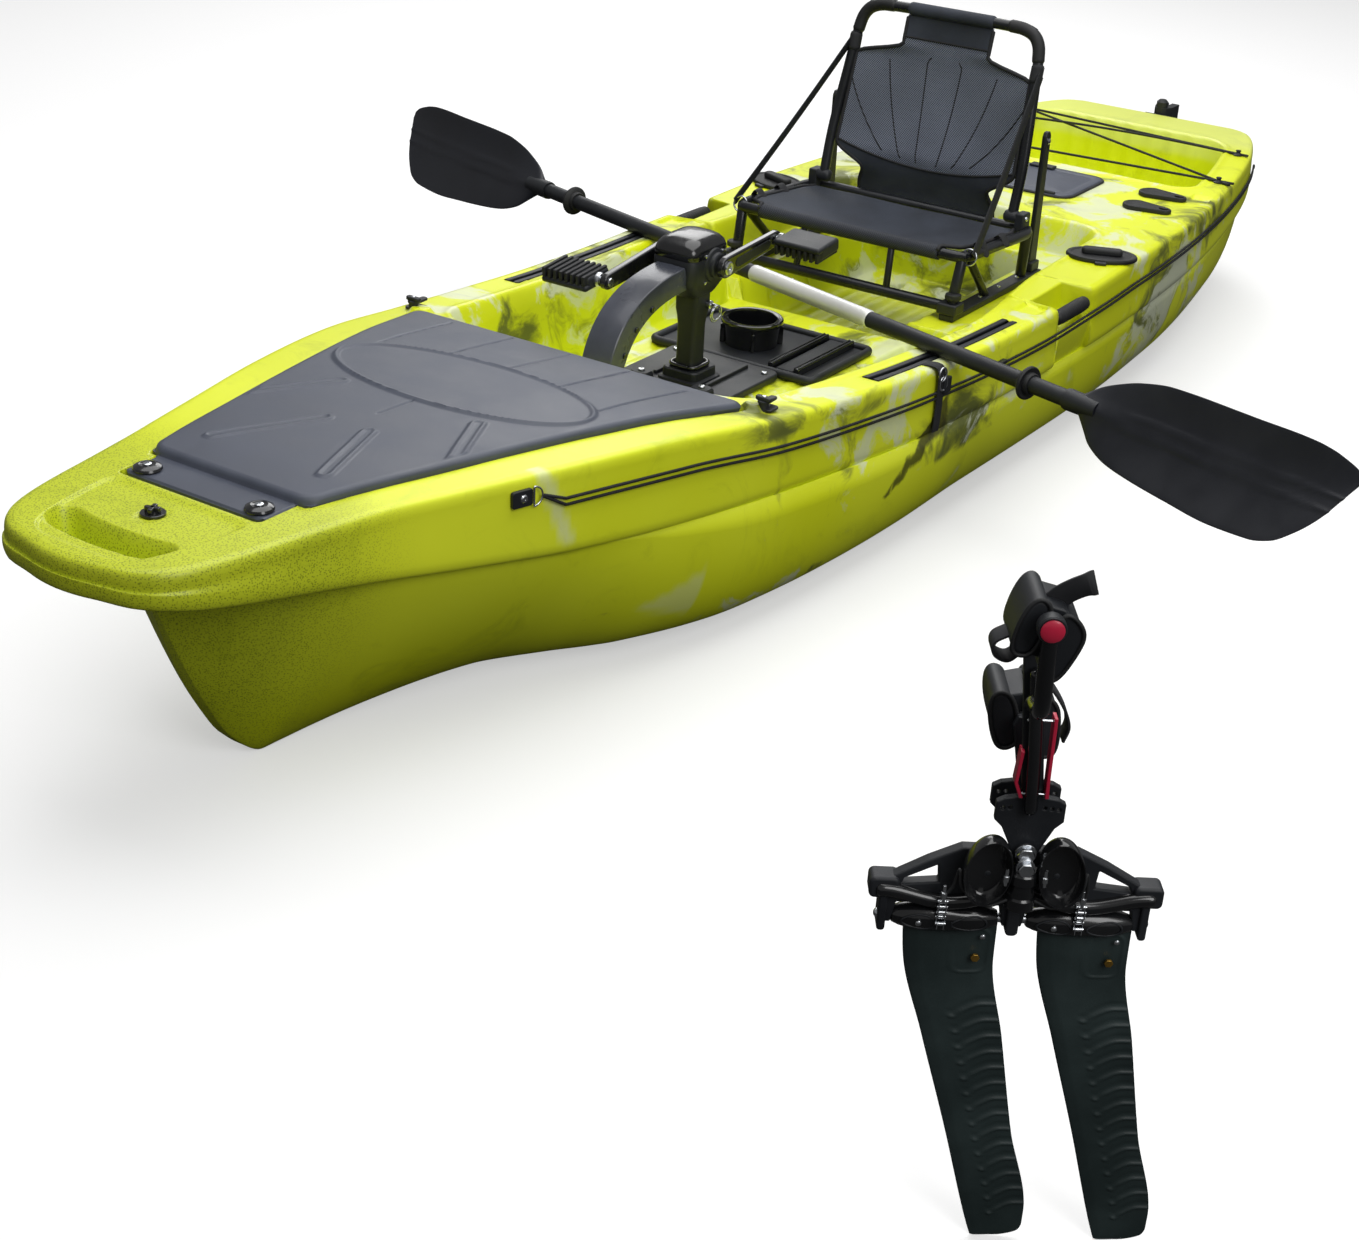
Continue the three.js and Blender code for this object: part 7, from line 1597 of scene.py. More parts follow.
@dataclass
class SeatBack:
    """Back frame, mesh panel with its seams and bindings, and the side straps."""

    sizes: SeatSizes = field(default_factory=SeatSizes)
    foot_up: float = -0.034
    top_up: float = 0.356
    hoop_up: float = 0.3685
    seams: tuple = (((0.12, 0.25), (0.18, 0.55), (0.2, 0.8)), ((0.3, 0.26), (0.52, 0.5), (0.62, 0.755)),
                    ((0.5, 0.28), (0.78, 0.42), (0.98, 0.62)))

    def build(self, make: Maker) -> None:
        """Makes the frame, the panel and the straps."""
        k = self.sizes
        side = [(k.back_half, 0), (k.back_half, 0.1), ((k.back_half + k.top_half) / 2, 0.215),
                (k.top_half, 0.31), (k.top_half - 0.006, 0.338), (k.top_half - 0.02, 0.357),
                (k.top_half - 0.045, 0.3665)]
        path = ([k.back(-x, up) for x, up in side] + [k.back(0, self.hoop_up)]
                + [k.back(x, up) for x, up in side[::-1]])
        frame = make.sweep("back_hoop", spline(path, 150), 0.0108, 20)
        make.place(frame, "seat_back", "seat_tube", ("seat_back_frame",))
        for name, s in SIDES:
            sleeve = spline([k.back(s * x, up) for x, up in side[3:]] + [k.back(s * 0.135, self.hoop_up)], 30)
            make.place(make.sweep(f"hoop_sleeve_{name}", sleeve, 0.0128, 20), "seat_back", "black_rubber")
            pin = np.array([k.back(s * 0.212, 0), k.back(s * 0.2565, 0)])
            make.place(make.sweep(f"back_pin_{name}", pin, 0.0055, 14), "seat_back", "bright_steel")
            eye = np.array([k.back(s * 0.2135, 0), k.back(s * 0.2345, 0)])
            make.place(make.sweep(f"back_eye_{name}", eye, 0.0132, 24), "seat_back", "black_plastic")
        self.panel(make)
        self.straps(make)

    def half(self, v: Array) -> Array:
        """Half width of the panel up its height: narrow foot, cut-outs, wide body, narrow head."""
        k = self.sizes
        wide = k.back_half - 0.0105 - (k.back_half - k.top_half) * v
        body = 0.16 + (wide - 0.16) * smoothstep((v - 0.17) / 0.12)
        dip = 0.012 * bump(v, 0.17, 0.05)
        head = smoothstep((v - 0.765) / 0.085)
        return (body - dip) * (1 - head) + 0.098 * head

    def place(self, u: Array, v: Array, out: float = 0.0) -> Array:
        """Point of the panel across and up it."""
        k = self.sizes
        up = self.foot_up + (self.top_up - self.foot_up) * v
        stand = 0.054 * smoothstep((0.3 - v) / 0.3)
        sag = 0.020 * np.cos(u * QUARTER) * np.sin(math.pi * np.clip(v, 0, 1)) ** 0.8
        return k.back(self.half(v) * u, up, stand + sag + out)

    def panel(self, make: Maker) -> None:
        """Panel: dark foot and head, mesh between, bound edges, and seams that fan up from the foot."""
        k = self.sizes
        u = np.linspace(-1, 1, 71)[None]
        v = np.linspace(0, 1, 110)[:, None]
        rows = self.place(u + 0 * v, v + 0 * u)
        obj = make.grid("back_cloth", rows, crease=180.0, weld=False, flip=True)
        uv_map(obj, rows)
        thicken(obj, 0.003)
        make.place(obj, "seat_back", "mesh_cloth", ("seat_back_panel",))
        obj.data.materials.append(make.palette["panel_cloth"])
        axis = np.array([0, math.sin(k.recline), math.cos(k.recline)])
        origin = np.array([0, k.pivot_y, k.pivot_z])

        def dark(c: Array) -> Array:
            up = (c - origin) @ axis
            low = up < 0.052 + 0.028 * np.abs(c[:, 0] / 0.2) ** 2
            return (low | (up > 0.312)).astype(int)
        paint(obj, dark)
        for name, s in SIDES:
            edge = self.place(np.full(60, s), np.linspace(0.0, 0.985, 60))
            make.place(make.sweep(f"back_binding_{name}", edge, 0.0042, 10), "seat_back", "webbing_black")
            for n, (low, middle, high) in enumerate(self.seams):
                t = np.linspace(0, 1, 40)
                uu, vv = ((1 - t) ** 2 * a + 2 * t * (1 - t) * b + t ** 2 * c for a, b,
                          c in zip(low, middle, high))
                seam = make.sweep(f"back_seam_{name}_{n}", self.place(s * uu, vv, -0.0016), 0.0014, 8)
                make.place(seam, "seat_back", "webbing_black")
        for n, level in enumerate((0.052, 0.312)):
            t = np.linspace(-0.99, 0.99, 50)
            base = (level - self.foot_up) / (self.top_up - self.foot_up)
            vv = np.full(50, base)
            for _ in range(3):
                x = self.half(vv) * t
                vv = base + (0.028 * np.abs(x / 0.2) ** 2 / 0.39 if n == 0 else 0 * x)
            seam = make.sweep(f"back_welt_{n}", self.place(t, vv, -0.0018), 0.0024, 8)
            make.place(seam, "seat_back", "webbing_black")
        foot = self.place(np.linspace(-1, 1, 40), np.full(40, 0.004))
        make.place(make.sweep("back_foot_hem", foot, 0.0045, 10), "seat_back", "webbing_black")
        t = np.linspace(-0.093, 0.093, 30)
        sleeve = k.back(t, self.hoop_up)
        make.place(make.sweep("head_sleeve", sleeve, 0.0136, 20), "seat_back", "panel_cloth")

    def straps(self, make: Maker) -> None:
        """Webbing from the front corner of the base to the back frame, with a buckle on each side."""
        k = self.sizes
        for name, s in SIDES:
            low = np.array([s * 0.2765, k.front_y + 0.008, k.front_z + 0.004])
            high = k.back(s * 0.2205, 0.8 * k.back_length - 0.01)
            t = np.linspace(0, 1, 34)[:, None]
            line = low + (high - low) * t
            line[:, 2] -= 0.004 * np.sin(math.pi * t[:, 0])
            band = ribbon(line, 0.022, 0.0026, np.array([0.0, 0.8, 0.0]))
            obj = make.grid(f"strap_{name}", band, wrap=True, crease=50.0)
            strap_uv(obj, line)
            make.place(obj, "", "webbing", (f"seat_strap_{name}",))
            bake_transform(obj)
            wrap = k.back(s * 0.2105,
                          np.linspace(0.8 * k.back_length - 0.024, 0.8 * k.back_length + 0.004, 8))
            make.place(make.sweep(f"strap_wrap_{name}", wrap, 0.0132, 20), "seat_back", "webbing_black")
            turn = angles(36)
            x = s * (k.half + 0.0025)
            ring = np.column_stack([
                np.full(36, x) + 0.0155 * np.cos(turn), np.full(36, k.front_y + 0.012) + 0.003 * np.sin(turn),
                k.front_z + 0.0155 * np.sin(turn)])
            make.place(make.sweep(f"strap_ring_{name}", ring, 0.002, 10, closed=True), "seat", "bright_steel")


def ribbon(line: Array, width: float, thickness: float, guide: Array) -> Array:
    """Closed flat sections along a line; the width lies as near to the guide as it can."""
    tangent = np.gradient(line, axis=0)
    tangent /= np.linalg.norm(tangent, axis=1, keepdims=True)
    wide = guide - tangent * (tangent @ guide)[:, None]
    wide /= np.linalg.norm(wide, axis=1, keepdims=True)
    thin = np.cross(tangent, wide)
    corners = [(0.5, 0.3), (0.46, 0.5), (-0.46, 0.5), (-0.5, 0.3), (-0.5, -0.3), (-0.46, -0.5), (0.46, -0.5),
               (0.5, -0.3)]
    return capped(np.stack([line + wide * a * width + thin * b * thickness for a, b in corners], axis=1))


def strap_uv(obj: bpy.types.Object, line: Array) -> None:
    """UV map of a strap: metres along it, and across it by the height and width of each point."""
    mesh = obj.data
    co = np.empty(len(mesh.vertices) * 3)
    mesh.vertices.foreach_get("co", co)
    co = co.reshape(-1, 3)
    direction = (line[-1] - line[0]) / np.linalg.norm(line[-1] - line[0])
    along = (co - line[0]) @ direction
    across = np.linalg.norm(co - line[0] - along[:, None] * direction, axis=1)
    set_uv(mesh, np.stack([across, along], axis=-1))


# Paddle

@dataclass
class Paddle:
    """Two-piece paddle that lies across the gunwales."""

    middle: tuple[float, float, float] = (-0.0067163, -0.405345, 0.3630409)
    direction: tuple[float, float, float] = (0.9569122, -0.2902729, 0.0077903)
    length: float = 2.6
    shaft: float = 0.0145
    blade: float = 0.53
    width: float = 0.185
    split: float = 0.096
    outline: tuple = ((0, .1, .07), (.05, .21, .2), (.1, .28, .32), (.19, .37, .42), (.31, .43, .475),
                      (.45, .44, .515), (.61, .44, .55), (.76, .445, .53), (.83, .44, .47), (.89, .42, .325),
                      (.94, .385, .14), (.98, .345, -.09), (1, .3, -.21))

    def matrix(self) -> Matrix:
        """Places a form drawn along X about the origin on the paddle's axis."""
        turn = Vector((1, 0, 0)).rotation_difference(Vector(self.direction))
        return Matrix.Translation(Vector(self.middle)) @ turn.to_matrix().to_4x4()

    def build(self, make: Maker) -> None:
        """Makes the shaft, sleeves, rings and blades of both halves."""
        onto = self.matrix()
        end = self.length / 2 - self.blade - 0.0003
        for (name, side), body, roll in zip(SIDES, ("paddle_port", "paddle"), (1.08, 1.11)):
            inner = self.split + side * 0.0003
            stations = np.linspace(inner, side * end, 60)
            tube = make.sweep(f"shaft_{name}", straight(stations), self.shaft, 24)
            tube.data.transform(onto)
            make.place(tube, body, "silver_tube", (f"paddle_shaft_{name}",))
            self.blade_piece(make, name, side, body, roll, onto)
            self.ring(make, name, side, body, onto)
            start, stop = (0.2562, end) if side > 0 else (-end, -0.0642)
            line = np.linspace(start, stop, 70)
            skin = make.sweep(f"shaft_skin_{name}", straight(line), self.shaft + 0.0006, 28)
            skin.data.transform(onto)
            make.place(skin, body, "black_plastic")
        line = np.linspace(self.split - 0.16, self.split + 0.16, 40)
        sleeve = make.sweep("ferrule", straight(line), 0.0168, 30)
        sleeve.data.transform(onto)
        make.place(sleeve, "paddle", "silver_tube", ("paddle_ferrule",))
        button = make.lathe(
            "ferrule_button", [(0, 0.015), (0.0035, 0.015), (0.0034, 0.0182), (0.002, 0.0192), (0, 0.0194)],
            onto @ moved(0.03, 0, 0) @ turned(-0.9, "X"), sides=20)
        make.place(button, "paddle", "bright_steel")

    def ring(self, make: Maker, name: str, side: float, body: str, onto: Matrix) -> None:
        """Drip ring: a soft cup with a flared lip and a collar."""
        place = side * (self.length / 2 - self.blade - 0.12)
        profile = [(0.0148, -0.0125), (0.0185, -0.0125), (0.0195, -0.011), (0.0205, -0.006), (0.027, -0.0035),
                   (0.0298, -0.0005), (0.0299, 0.0025), (0.028, 0.0052), (0.0262, 0.0048), (0.0205, 0.0035),
                   (0.0192, 0.0105), (0.018, 0.0122), (0.0148, 0.0125), (0.0148, -0.0125)]
        turn = turned(side * QUARTER, "Y")
        obj = make.lathe(f"ring_{name}", profile, onto @ moved(place, 0, 0) @ turn)
        make.place(obj, body, "black_rubber", (f"drip_ring_{name}",))

    def blade_piece(self, make: Maker, name: str, side: float, body: str, roll: float, onto: Matrix) -> None:
        """Spoon blade: smooth outline, dished face, a neck that swells to the shaft, and two ridges."""
        table = np.array(self.outline, dtype=float)
        upper, lower = Curve(table, 1), Curve(table, 2)
        at = np.concatenate([np.linspace(0, 0.9, 90), 1 - 0.1 * (1 - np.linspace(0, 1, 40)[1:]) ** 1.6])
        up, down = upper(at), lower(at)
        half = self.width * (up + down) / 2
        middle = self.width * (up - down) / 2
        neck = np.maximum(1 - at / 0.35, 0) ** 2
        u = np.sin(np.linspace(-1, 1, 45) * QUARTER)
        flat = 0.0045 * (1 - 0.55 * at)
        thick = np.sqrt(np.maximum(1 - np.abs(u) ** 3.2, 0)) * 0.86 + 0.14
        centre = middle[:, None] + u[None] * half[:, None]
        spine = np.exp(-(centre / 0.018) ** 2) * smoothstep((1 - at) / 0.75)[:, None]
        cup = 0.012 * ((1 - neck) * (half / self.width) * 2)[:, None] * u[None] ** 2
        swell = neck[:, None] * (1 - np.abs(u))[None] * (self.shaft - 0.0045)
        body_thick = flat[:, None] * thick[None] + swell + 0.0022 * spine
        grooves = bump(centre, 0.013, 0.003) + bump(centre, -0.013, 0.003)
        grooves = 0.0011 * grooves * smoothstep((at - 0.14) / 0.1)[:, None]
        front = cup + body_thick + grooves * 1.6
        back = cup - body_thick - grooves * 1.6
        x = np.repeat((side * (self.length / 2 - self.blade + self.blade * at))[:, None], len(u), axis=1)
        top = np.stack([x, centre, front], axis=-1)
        bottom = np.stack([x, centre, back], axis=-1)[:, ::-1][:, 1:-1]
        rows = np.concatenate([top, bottom], axis=1)
        obj = make.grid(f"blade_{name}", capped(rows), wrap=True, crease=60.0)
        obj.data.transform(onto @ turned(roll, "X"))
        make.place(obj, body, "blade_black", (f"paddle_blade_{name}",))
        socket = make.lathe(f"blade_socket_{name}", [
            (0.0146, 0), (0.0182, 0), (0.019, 0.004), (0.0186, 0.03), (0.0165, 0.07), (0.0146, 0.07)],
                            onto @ along_x(side * (self.length / 2 - self.blade - 0.03), 0, 0, side))
        make.place(socket, body, "black_plastic")


# Pedal drive

def sections(make: Maker, name: str, rows: list[tuple[float, float, float, float, float]], steps: int = 8,
             crease: float = 30.0) -> bpy.types.Object:
    """Upright form from round-cornered sections.

    Args:
        make: the maker of pieces.
        name: the piece's name.
        rows: height, half width, front, back and corner radius of each section.
        steps: points in a quarter turn.
        crease: sharp angle in degrees.

    Returns:
        The new object, closed at both ends.
    """
    rings = []
    for z, half, front, back, corner in rows:
        ring = rounded(2 * half, back - front, min(corner, half * 0.98, (back - front) * 0.49), 0,
                       (front + back) / 2, steps)
        rings.append(np.column_stack([ring, np.full(len(ring), z)]))
    return make.grid(name, capped(np.array(rings)), wrap=True, crease=crease)


def pierced(make: Maker, name: str, outline: list | Array, holes: list[Array], low: float, high: float,
            matrix: Matrix, bevel: float = 0.0) -> bpy.types.Object:
    """Flat plate with holes right through it.

    Args:
        make: the maker of pieces.
        name: the piece's name.
        outline: x and y of each outer corner.
        holes: outlines of the holes.
        low, high: heights of the two faces.
        matrix: where to put it.
        bevel: radius of the rounded edges.

    Returns:
        The new object.
    """
    work = bmesh.new()
    edges = []
    for loop in [np.asarray(outline, dtype=float)] + [np.asarray(hole, dtype=float) for hole in holes]:
        ring = [work.verts.new((p[0], p[1], low)) for p in loop]
        edges += [work.edges.new((a, b)) for a, b in zip(ring, ring[1:] + ring[:1])]
    bmesh.ops.triangle_fill(work, use_beauty=True, use_dissolve=False, edges=edges)
    raised = bmesh.ops.extrude_face_region(work, geom=list(work.faces))
    lifted = [g for g in raised["geom"] if isinstance(g, bmesh.types.BMVert)]
    bmesh.ops.translate(work, verts=lifted, vec=(0, 0, high - low))
    bmesh.ops.transform(work, matrix=matrix, verts=work.verts)
    bmesh.ops.recalc_face_normals(work, faces=work.faces)
    data = bpy.data.meshes.new(name)
    work.to_mesh(data)
    work.free()
    obj = bpy.data.objects.new(name, data)
    bpy.context.scene.collection.objects.link(obj)
    if bevel > 0:
        make.bevel(obj, bevel, 2, 50.0)
    return obj


def circle(x: float, y: float, radius: float, steps: int = 16) -> Array:
    """Points round a circle."""
    turn = angles(steps)
    return np.column_stack([x + radius * np.cos(turn), y + radius * np.sin(turn)])


@dataclass
class PedalDrive:
    """Mast, gearbox, arched guard, cranks, pedals, base plate, tray and cup ring."""

    axle_y: float = -0.72187
    axle_z: float = 0.484
    mast_y: float = -0.71187
    plinth: float = 0.2453
    reach: float = 0.302
    rise: float = 0.246
    crank: float = 0.166
    tilt: float = 0.1
    cup: tuple[float, float, float] = (-0.022, -0.46116, 0.2516)
    arch_power: float = 0.667

    def build(self, make: Maker) -> None:
        """Makes the parts from the base up."""
        self.base(make)
        self.tray(make)
        self.mast(make)
        self.guard(make)
        self.gearbox(make)
        for name, side in SIDES:
            self.arm(make, name, side)
            self.pedal(make, name, side)
        self.pin(make)

    def base(self, make: Maker) -> None:
        """Base plate with a stepped collar, side lugs, ribs and bright bolts."""
        m, z = self.mast_y, self.plinth
        plate = make.prism("base_plate", rounded(0.236, 0.25, 0.018, 0, m + 0.007, 6), z, z + 0.0142, None,
                           0.0035)
        make.place(plate, "boat", "black_plastic", ("drive_base_plate",))
        collar = sections(make, "base_collar", [
            (z + 0.012, 0.046, m - 0.046, m + 0.046, 0.014), (z + 0.018, 0.044, m - 0.044, m + 0.044, 0.014),
            (z + 0.02, 0.038, m - 0.039, m + 0.038, 0.012),
            (z + 0.034, 0.0375, m - 0.0385, m + 0.0375, 0.012),
            (z + 0.0365, 0.035, m - 0.036, m + 0.035, 0.011),
            (z + 0.0365, 0.027, m - 0.029, m + 0.027, 0.008),
            (z + 0.028, 0.0265, m - 0.0285, m + 0.0265, 0.008)])
        make.place(collar, "boat", "black_plastic")
        for name, side in SIDES:
            lug = sections(make, f"base_lug_{name}", [
                (z + 0.012, 0.021, -0.017, 0.017, 0.01), (z + 0.022, 0.02, -0.016, 0.016, 0.01),
                (z + 0.026, 0.017, -0.013, 0.013, 0.009)])
            lug.data.transform(moved(side * 0.066, m - 0.059, 0))
            make.place(lug, "boat", "black_plastic")
            for k, (x, y) in enumerate(((0.066, -0.059), (0.098, 0.105), (0.098, -0.095))):
                top = z + (0.0255 if k == 0 else 0.0138)
                bolt = make.lathe(f"base_bolt_{name}_{k}", [
                    (0, 0), (0.0062, 0), (0.0064, 0.0028), (0.005, 0.0042), (0.0024, 0.0044), (0.0022, 0.003),
                    (0, 0.003)], moved(side * x, m + y, top), sides=24)
                make.place(bolt, "boat", "bright_steel")
            left, right = sorted((side * 0.052, side * 0.06))
            rib = make.block(f"base_rib_{name}", (left, m - 0.03, z + 0.013), (right, m + 0.11, z + 0.0205),
                             0.0018)
            make.place(rib, "boat", "black_plastic")

    def tray(self, make: Maker) -> None:
        """Console tray: floor, rolled rim, two slotted rails, a flat land and the cup ring."""
        m, z = self.mast_y, self.plinth
        front, back = m + 0.1323, m + 0.376
        middle = (front + back) / 2
        floor = make.prism("tray_floor", rounded(0.366, back - front - 0.004, 0.017, 0, middle, 6), z,
                           z + 0.0062, None, 0.001)
        make.place(floor, "boat", "black_plastic", ("console_tray",))
        outline = rounded(0.356, back - front - 0.016, 0.014, 0, middle, 8)
        line = np.column_stack([outline, np.full(len(outline), z + 0.0072)])
        make.place(make.sweep("tray_rim", line, 0.0078, 14, closed=True), "boat", "black_plastic")
        for k, offset in enumerate((0.078, 0.134)):
            rail = make.block(f"tray_rail_{k}", (offset, front + 0.017, z + 0.006),
                              (offset + 0.012, back - 0.017, z + 0.0205), 0.0018)
            make.place(rail, "boat", "black_gloss")
            for n in range(2):
                lip = make.block(
                    f"tray_lip_{k}_{n}", (offset + 0.0005 + 0.0078 * n, front + 0.019, z + 0.0202),
                    (offset + 0.0037 + 0.0078 * n, back - 0.019, z + 0.0222), 0.0007)
                make.place(lip, "boat", "black_plastic")
        land = make.block("tray_land", (0.094, front + 0.02, z + 0.006), (0.13, back - 0.02, z + 0.0125),
                          0.002)
        make.place(land, "boat", "black_plastic")
        x, y, low = self.cup
        ring = make.lathe("cup_ring", [
            (0, 0), (0.051, 0), (0.0525, 0.003), (0.0555, 0.037), (0.0575, 0.041), (0.06, 0.0425),
            (0.0606, 0.046), (0.0598, 0.0505), (0.0575, 0.0522), (0.05, 0.0522), (0.0475, 0.051),
            (0.0468, 0.048), (0.0462, 0.03), (0.0425, 0.0062), (0.04, 0.005), (0, 0.005)],
            moved(x, y, low), 64)
        make.place(ring, "boat", "black_gloss", ("cup_holder",))
        for n in range(4):
            turn = n * QUARTER + 0.6
            onto = moved(x + 0.0565 * math.cos(turn), y + 0.0565 * math.sin(turn), 0) @ turned(turn, "Z")
            web = make.prism(f"cup_web_{n}", rounded(0.009, 0.006, 0.0015), low, 0.288, onto, 0.001)
            make.place(web, "boat", "black_gloss")

    def mast(self, make: Maker) -> None:
        """Upright with a narrow waist, a flared head and a foot ring."""
        m = self.mast_y
        rows = [
            (0.0302, 0.0238, -0.0258, 0.0238), (0.27, 0.0238, -0.0258, 0.0238), (0.276, 0.024, -0.026, 0.024),
            (0.284, 0.0205, -0.0235, 0.0215), (0.30, 0.0195, -0.0225, 0.0205),
            (0.36, 0.0195, -0.0225, 0.0205), (0.378, 0.0212, -0.024, 0.022), (0.392, 0.0238, -0.0258, 0.024),
            (0.4236, 0.0242, -0.0262, 0.0242)]
        obj = sections(make, "mast", [(z, h, m + a, m + b, 0.0085) for z, h, a, b in rows])
        make.place(obj, "boat", "black_plastic", ("drive_mast",))
        ring = rounded(0.056, 0.058, 0.016, 0, m - 0.001, 8)
        loop = np.column_stack([ring, np.full(len(ring), 0.287)])
        make.place(make.sweep("mast_ring", loop, 0.0042, 12, closed=True), "boat", "black_gloss")

    def arch(self, angle: float, depth: float, lift: float = 0.0) -> tuple[float, float]:
        """Place along and up of the guard's curve at an angle, a depth inside its face."""
        c, s = math.cos(angle) ** self.arch_power, math.sin(angle) ** self.arch_power if angle > 0 else 0.0
        return self.axle_y - (self.reach - depth) * c, self.plinth + lift + (self.rise - depth) * s

    def guard(self, make: Maker) -> None:
        """Arched guard in front of the mast: a curved channel with a smooth outer face."""
        angle = np.linspace(0.0, math.radians(83.6), 90)
        section = [(-0.031, 0.0415), (-0.031, 0.004), (-0.0302, 0.0015), (-0.0285, 0.0003), (-0.012, -0.0006),
                   (0.0, -0.001), (0.012, -0.0006), (0.0285, 0.0003), (0.0302, 0.0015), (0.031, 0.004),
                   (0.031, 0.0415), (0.0295, 0.042), (0.0248, 0.042), (0.024, 0.0412), (0.024, 0.008),
                   (0.0225, 0.0068), (0.0, 0.0066), (-0.0225, 0.0068), (-0.024, 0.008), (-0.024, 0.0412),
                   (-0.0248, 0.042), (-0.0295, 0.042)]
        rows = []
        for a in angle:
            rows.append([(x, *self.arch(a, d, 0.0002)) for x, d in section])
        obj = make.grid("guard", capped(np.array(rows)), wrap=True, crease=28.0)
        make.place(obj, "boat", "guard_slate", ("arch_guard",))
        for n, a in enumerate((0.5, 0.78, 1.05)):
            y, z = self.arch(a, 0.032)
            bolt = make.lathe(f"guard_bolt_{n}",
                              [(0, -0.032), (0.0055, -0.032), (0.0055, 0.032), (0.0048, 0.0345), (0, 0.035)],
                              along_x(0, y, z), sides=18)
            make.place(bolt, "boat", "black_gloss")

    def gearbox(self, make: Maker) -> None:
        """Gearbox: tapered housing, rounded glossy hood, ribs, side bosses and screws."""
        y = self.axle_y
        low = [(0.4242, 0.03, -0.035, 0.034, 0.012), (0.43, 0.034, -0.042, 0.037, 0.013),
               (0.45, 0.0435, -0.063, 0.049, 0.015), (0.458, 0.0455, -0.0655, 0.0515, 0.016),
               (0.496, 0.046, -0.066, 0.052, 0.016), (0.4992, 0.0448, -0.0648, 0.0508, 0.016)]
        high = [(0.4998, 0.0448, -0.0648, 0.0508, 0.016), (0.5008, 0.046, -0.066, 0.052, 0.017),
                (0.512, 0.0458, -0.0655, 0.0515, 0.018), (0.522, 0.0438, -0.062, 0.048, 0.02),
                (0.529, 0.0395, -0.055, 0.042, 0.022), (0.5335, 0.032, -0.045, 0.034, 0.021),
                (0.5355, 0.022, -0.032, 0.024, 0.018), (0.5362, 0.01, -0.018, 0.012, 0.009)]
        housing = sections(make, "gear_case", [(z, h, y + a, y + b, r) for z, h, a, b, r in low], 9, 40.0)
        make.place(housing, "boat", "black_plastic", ("gearbox_housing",))
        hood = sections(make, "gear_hood", [(z, h, y + a, y + b, r) for z, h, a, b, r in high], 9, 60.0)
        make.place(hood, "boat", "black_gloss", ("gearbox_cover",))
        for name, side in SIDES:
            boss = make.lathe(f"gear_boss_{name}", [
                (0, 0.04), (0.03, 0.04), (0.031, 0.0455), (0.0295, 0.049), (0.0235, 0.051), (0.0225, 0.0565),
                (0.02, 0.0582), (0.0106, 0.0582), (0.0106, 0.05), (0, 0.05)],
                              along_x(0, y, self.axle_z, side))
            make.place(boss, "boat", "black_plastic")
            for n in range(4):
                turn = n * QUARTER + 0.78
                at = along_x(side * 0.0458, y + 0.037 * math.cos(turn),
                             self.axle_z + 0.034 * math.sin(turn) - 0.004, side)
                screw = make.lathe(
                    f"case_screw_{name}_{n}",
                    [(0, 0), (0.0036, 0), (0.0034, 0.0018), (0.002, 0.0026), (0, 0.002)], at, sides=14)
                make.place(screw, "boat", "bright_steel")
            cap = make.lathe(f"spindle_cap_{name}", [
                (0, 0.0602), (0.0088, 0.0602), (0.0092, 0.0762), (0.0125, 0.0764), (0.0128, 0.0788),
                (0.0105, 0.0806), (0.0052, 0.081), (0.005, 0.0785), (0, 0.0785)],
                             along_x(0, y, self.axle_z, side), sides=32)
            make.place(cap, "crank", "bright_steel")

    def turn_of(self, side: float) -> float:
        """Angle of the crank arm on a side."""
        return self.tilt if side > 0 else math.pi + self.tilt

    def arm(self, make: Maker, name: str, side: float) -> None:
        """Crank arm: tapered bar with round eyes and a shallow bare panel on its outer face."""
        angle = self.turn_of(side)
        way = np.array([math.cos(angle), math.sin(angle)])
        across = np.array([-way[1], way[0]])
        start = np.array([self.axle_y, self.axle_z])
        far = start + way * self.crank

        def bar(big: float, small: float, inset: float = 0.0) -> Array:
            points = []
            ends = ((start + way * inset, big, QUARTER), (far - way * inset, small, -QUARTER))
            for middle, radius, first in ends:
                for t in np.linspace(first, first + math.pi, 15):
                    points.append(middle + radius * (way * math.cos(t) + across * math.sin(t)))
            return np.array(points)
        outline = bar(0.0193, 0.0145)
        middle = (start + far) / 2
        pull = 1 - 0.16 * np.exp(-(((outline - middle) @ way) / 0.05) ** 2)
        along, wide = (outline - middle) @ way, ((outline - middle) @ across) * pull
        outline = middle + np.outer(along, way) + np.outer(wide, across)
        inner, outer = sorted((side * 0.062, side * 0.076))
        obj = make.prism(f"arm_{name}", outline, inner, outer, standing(), 0.0035, 4)
        make.place(obj, "crank", "black_gloss", (f"crank_arm_{name}",))
        low, high = sorted((side * 0.0757, side * 0.0772))
        panel = make.prism(f"arm_panel_{name}", bar(0.0085, 0.0085, 0.034), low, high, standing(), 0.0006, 2)
        make.place(panel, "crank", "black_plastic")
        tip = start + way * self.crank
        stud = make.lathe(f"pedal_stud_{name}", [
            (0, 0.0585), (0.0075, 0.0585), (0.008, 0.0605), (0.007, 0.0625), (0.007, 0.164), (0, 0.1645)],
                          along_x(0, tip[0], tip[1], side), sides=24)
        make.place(stud, "crank", "bright_steel")

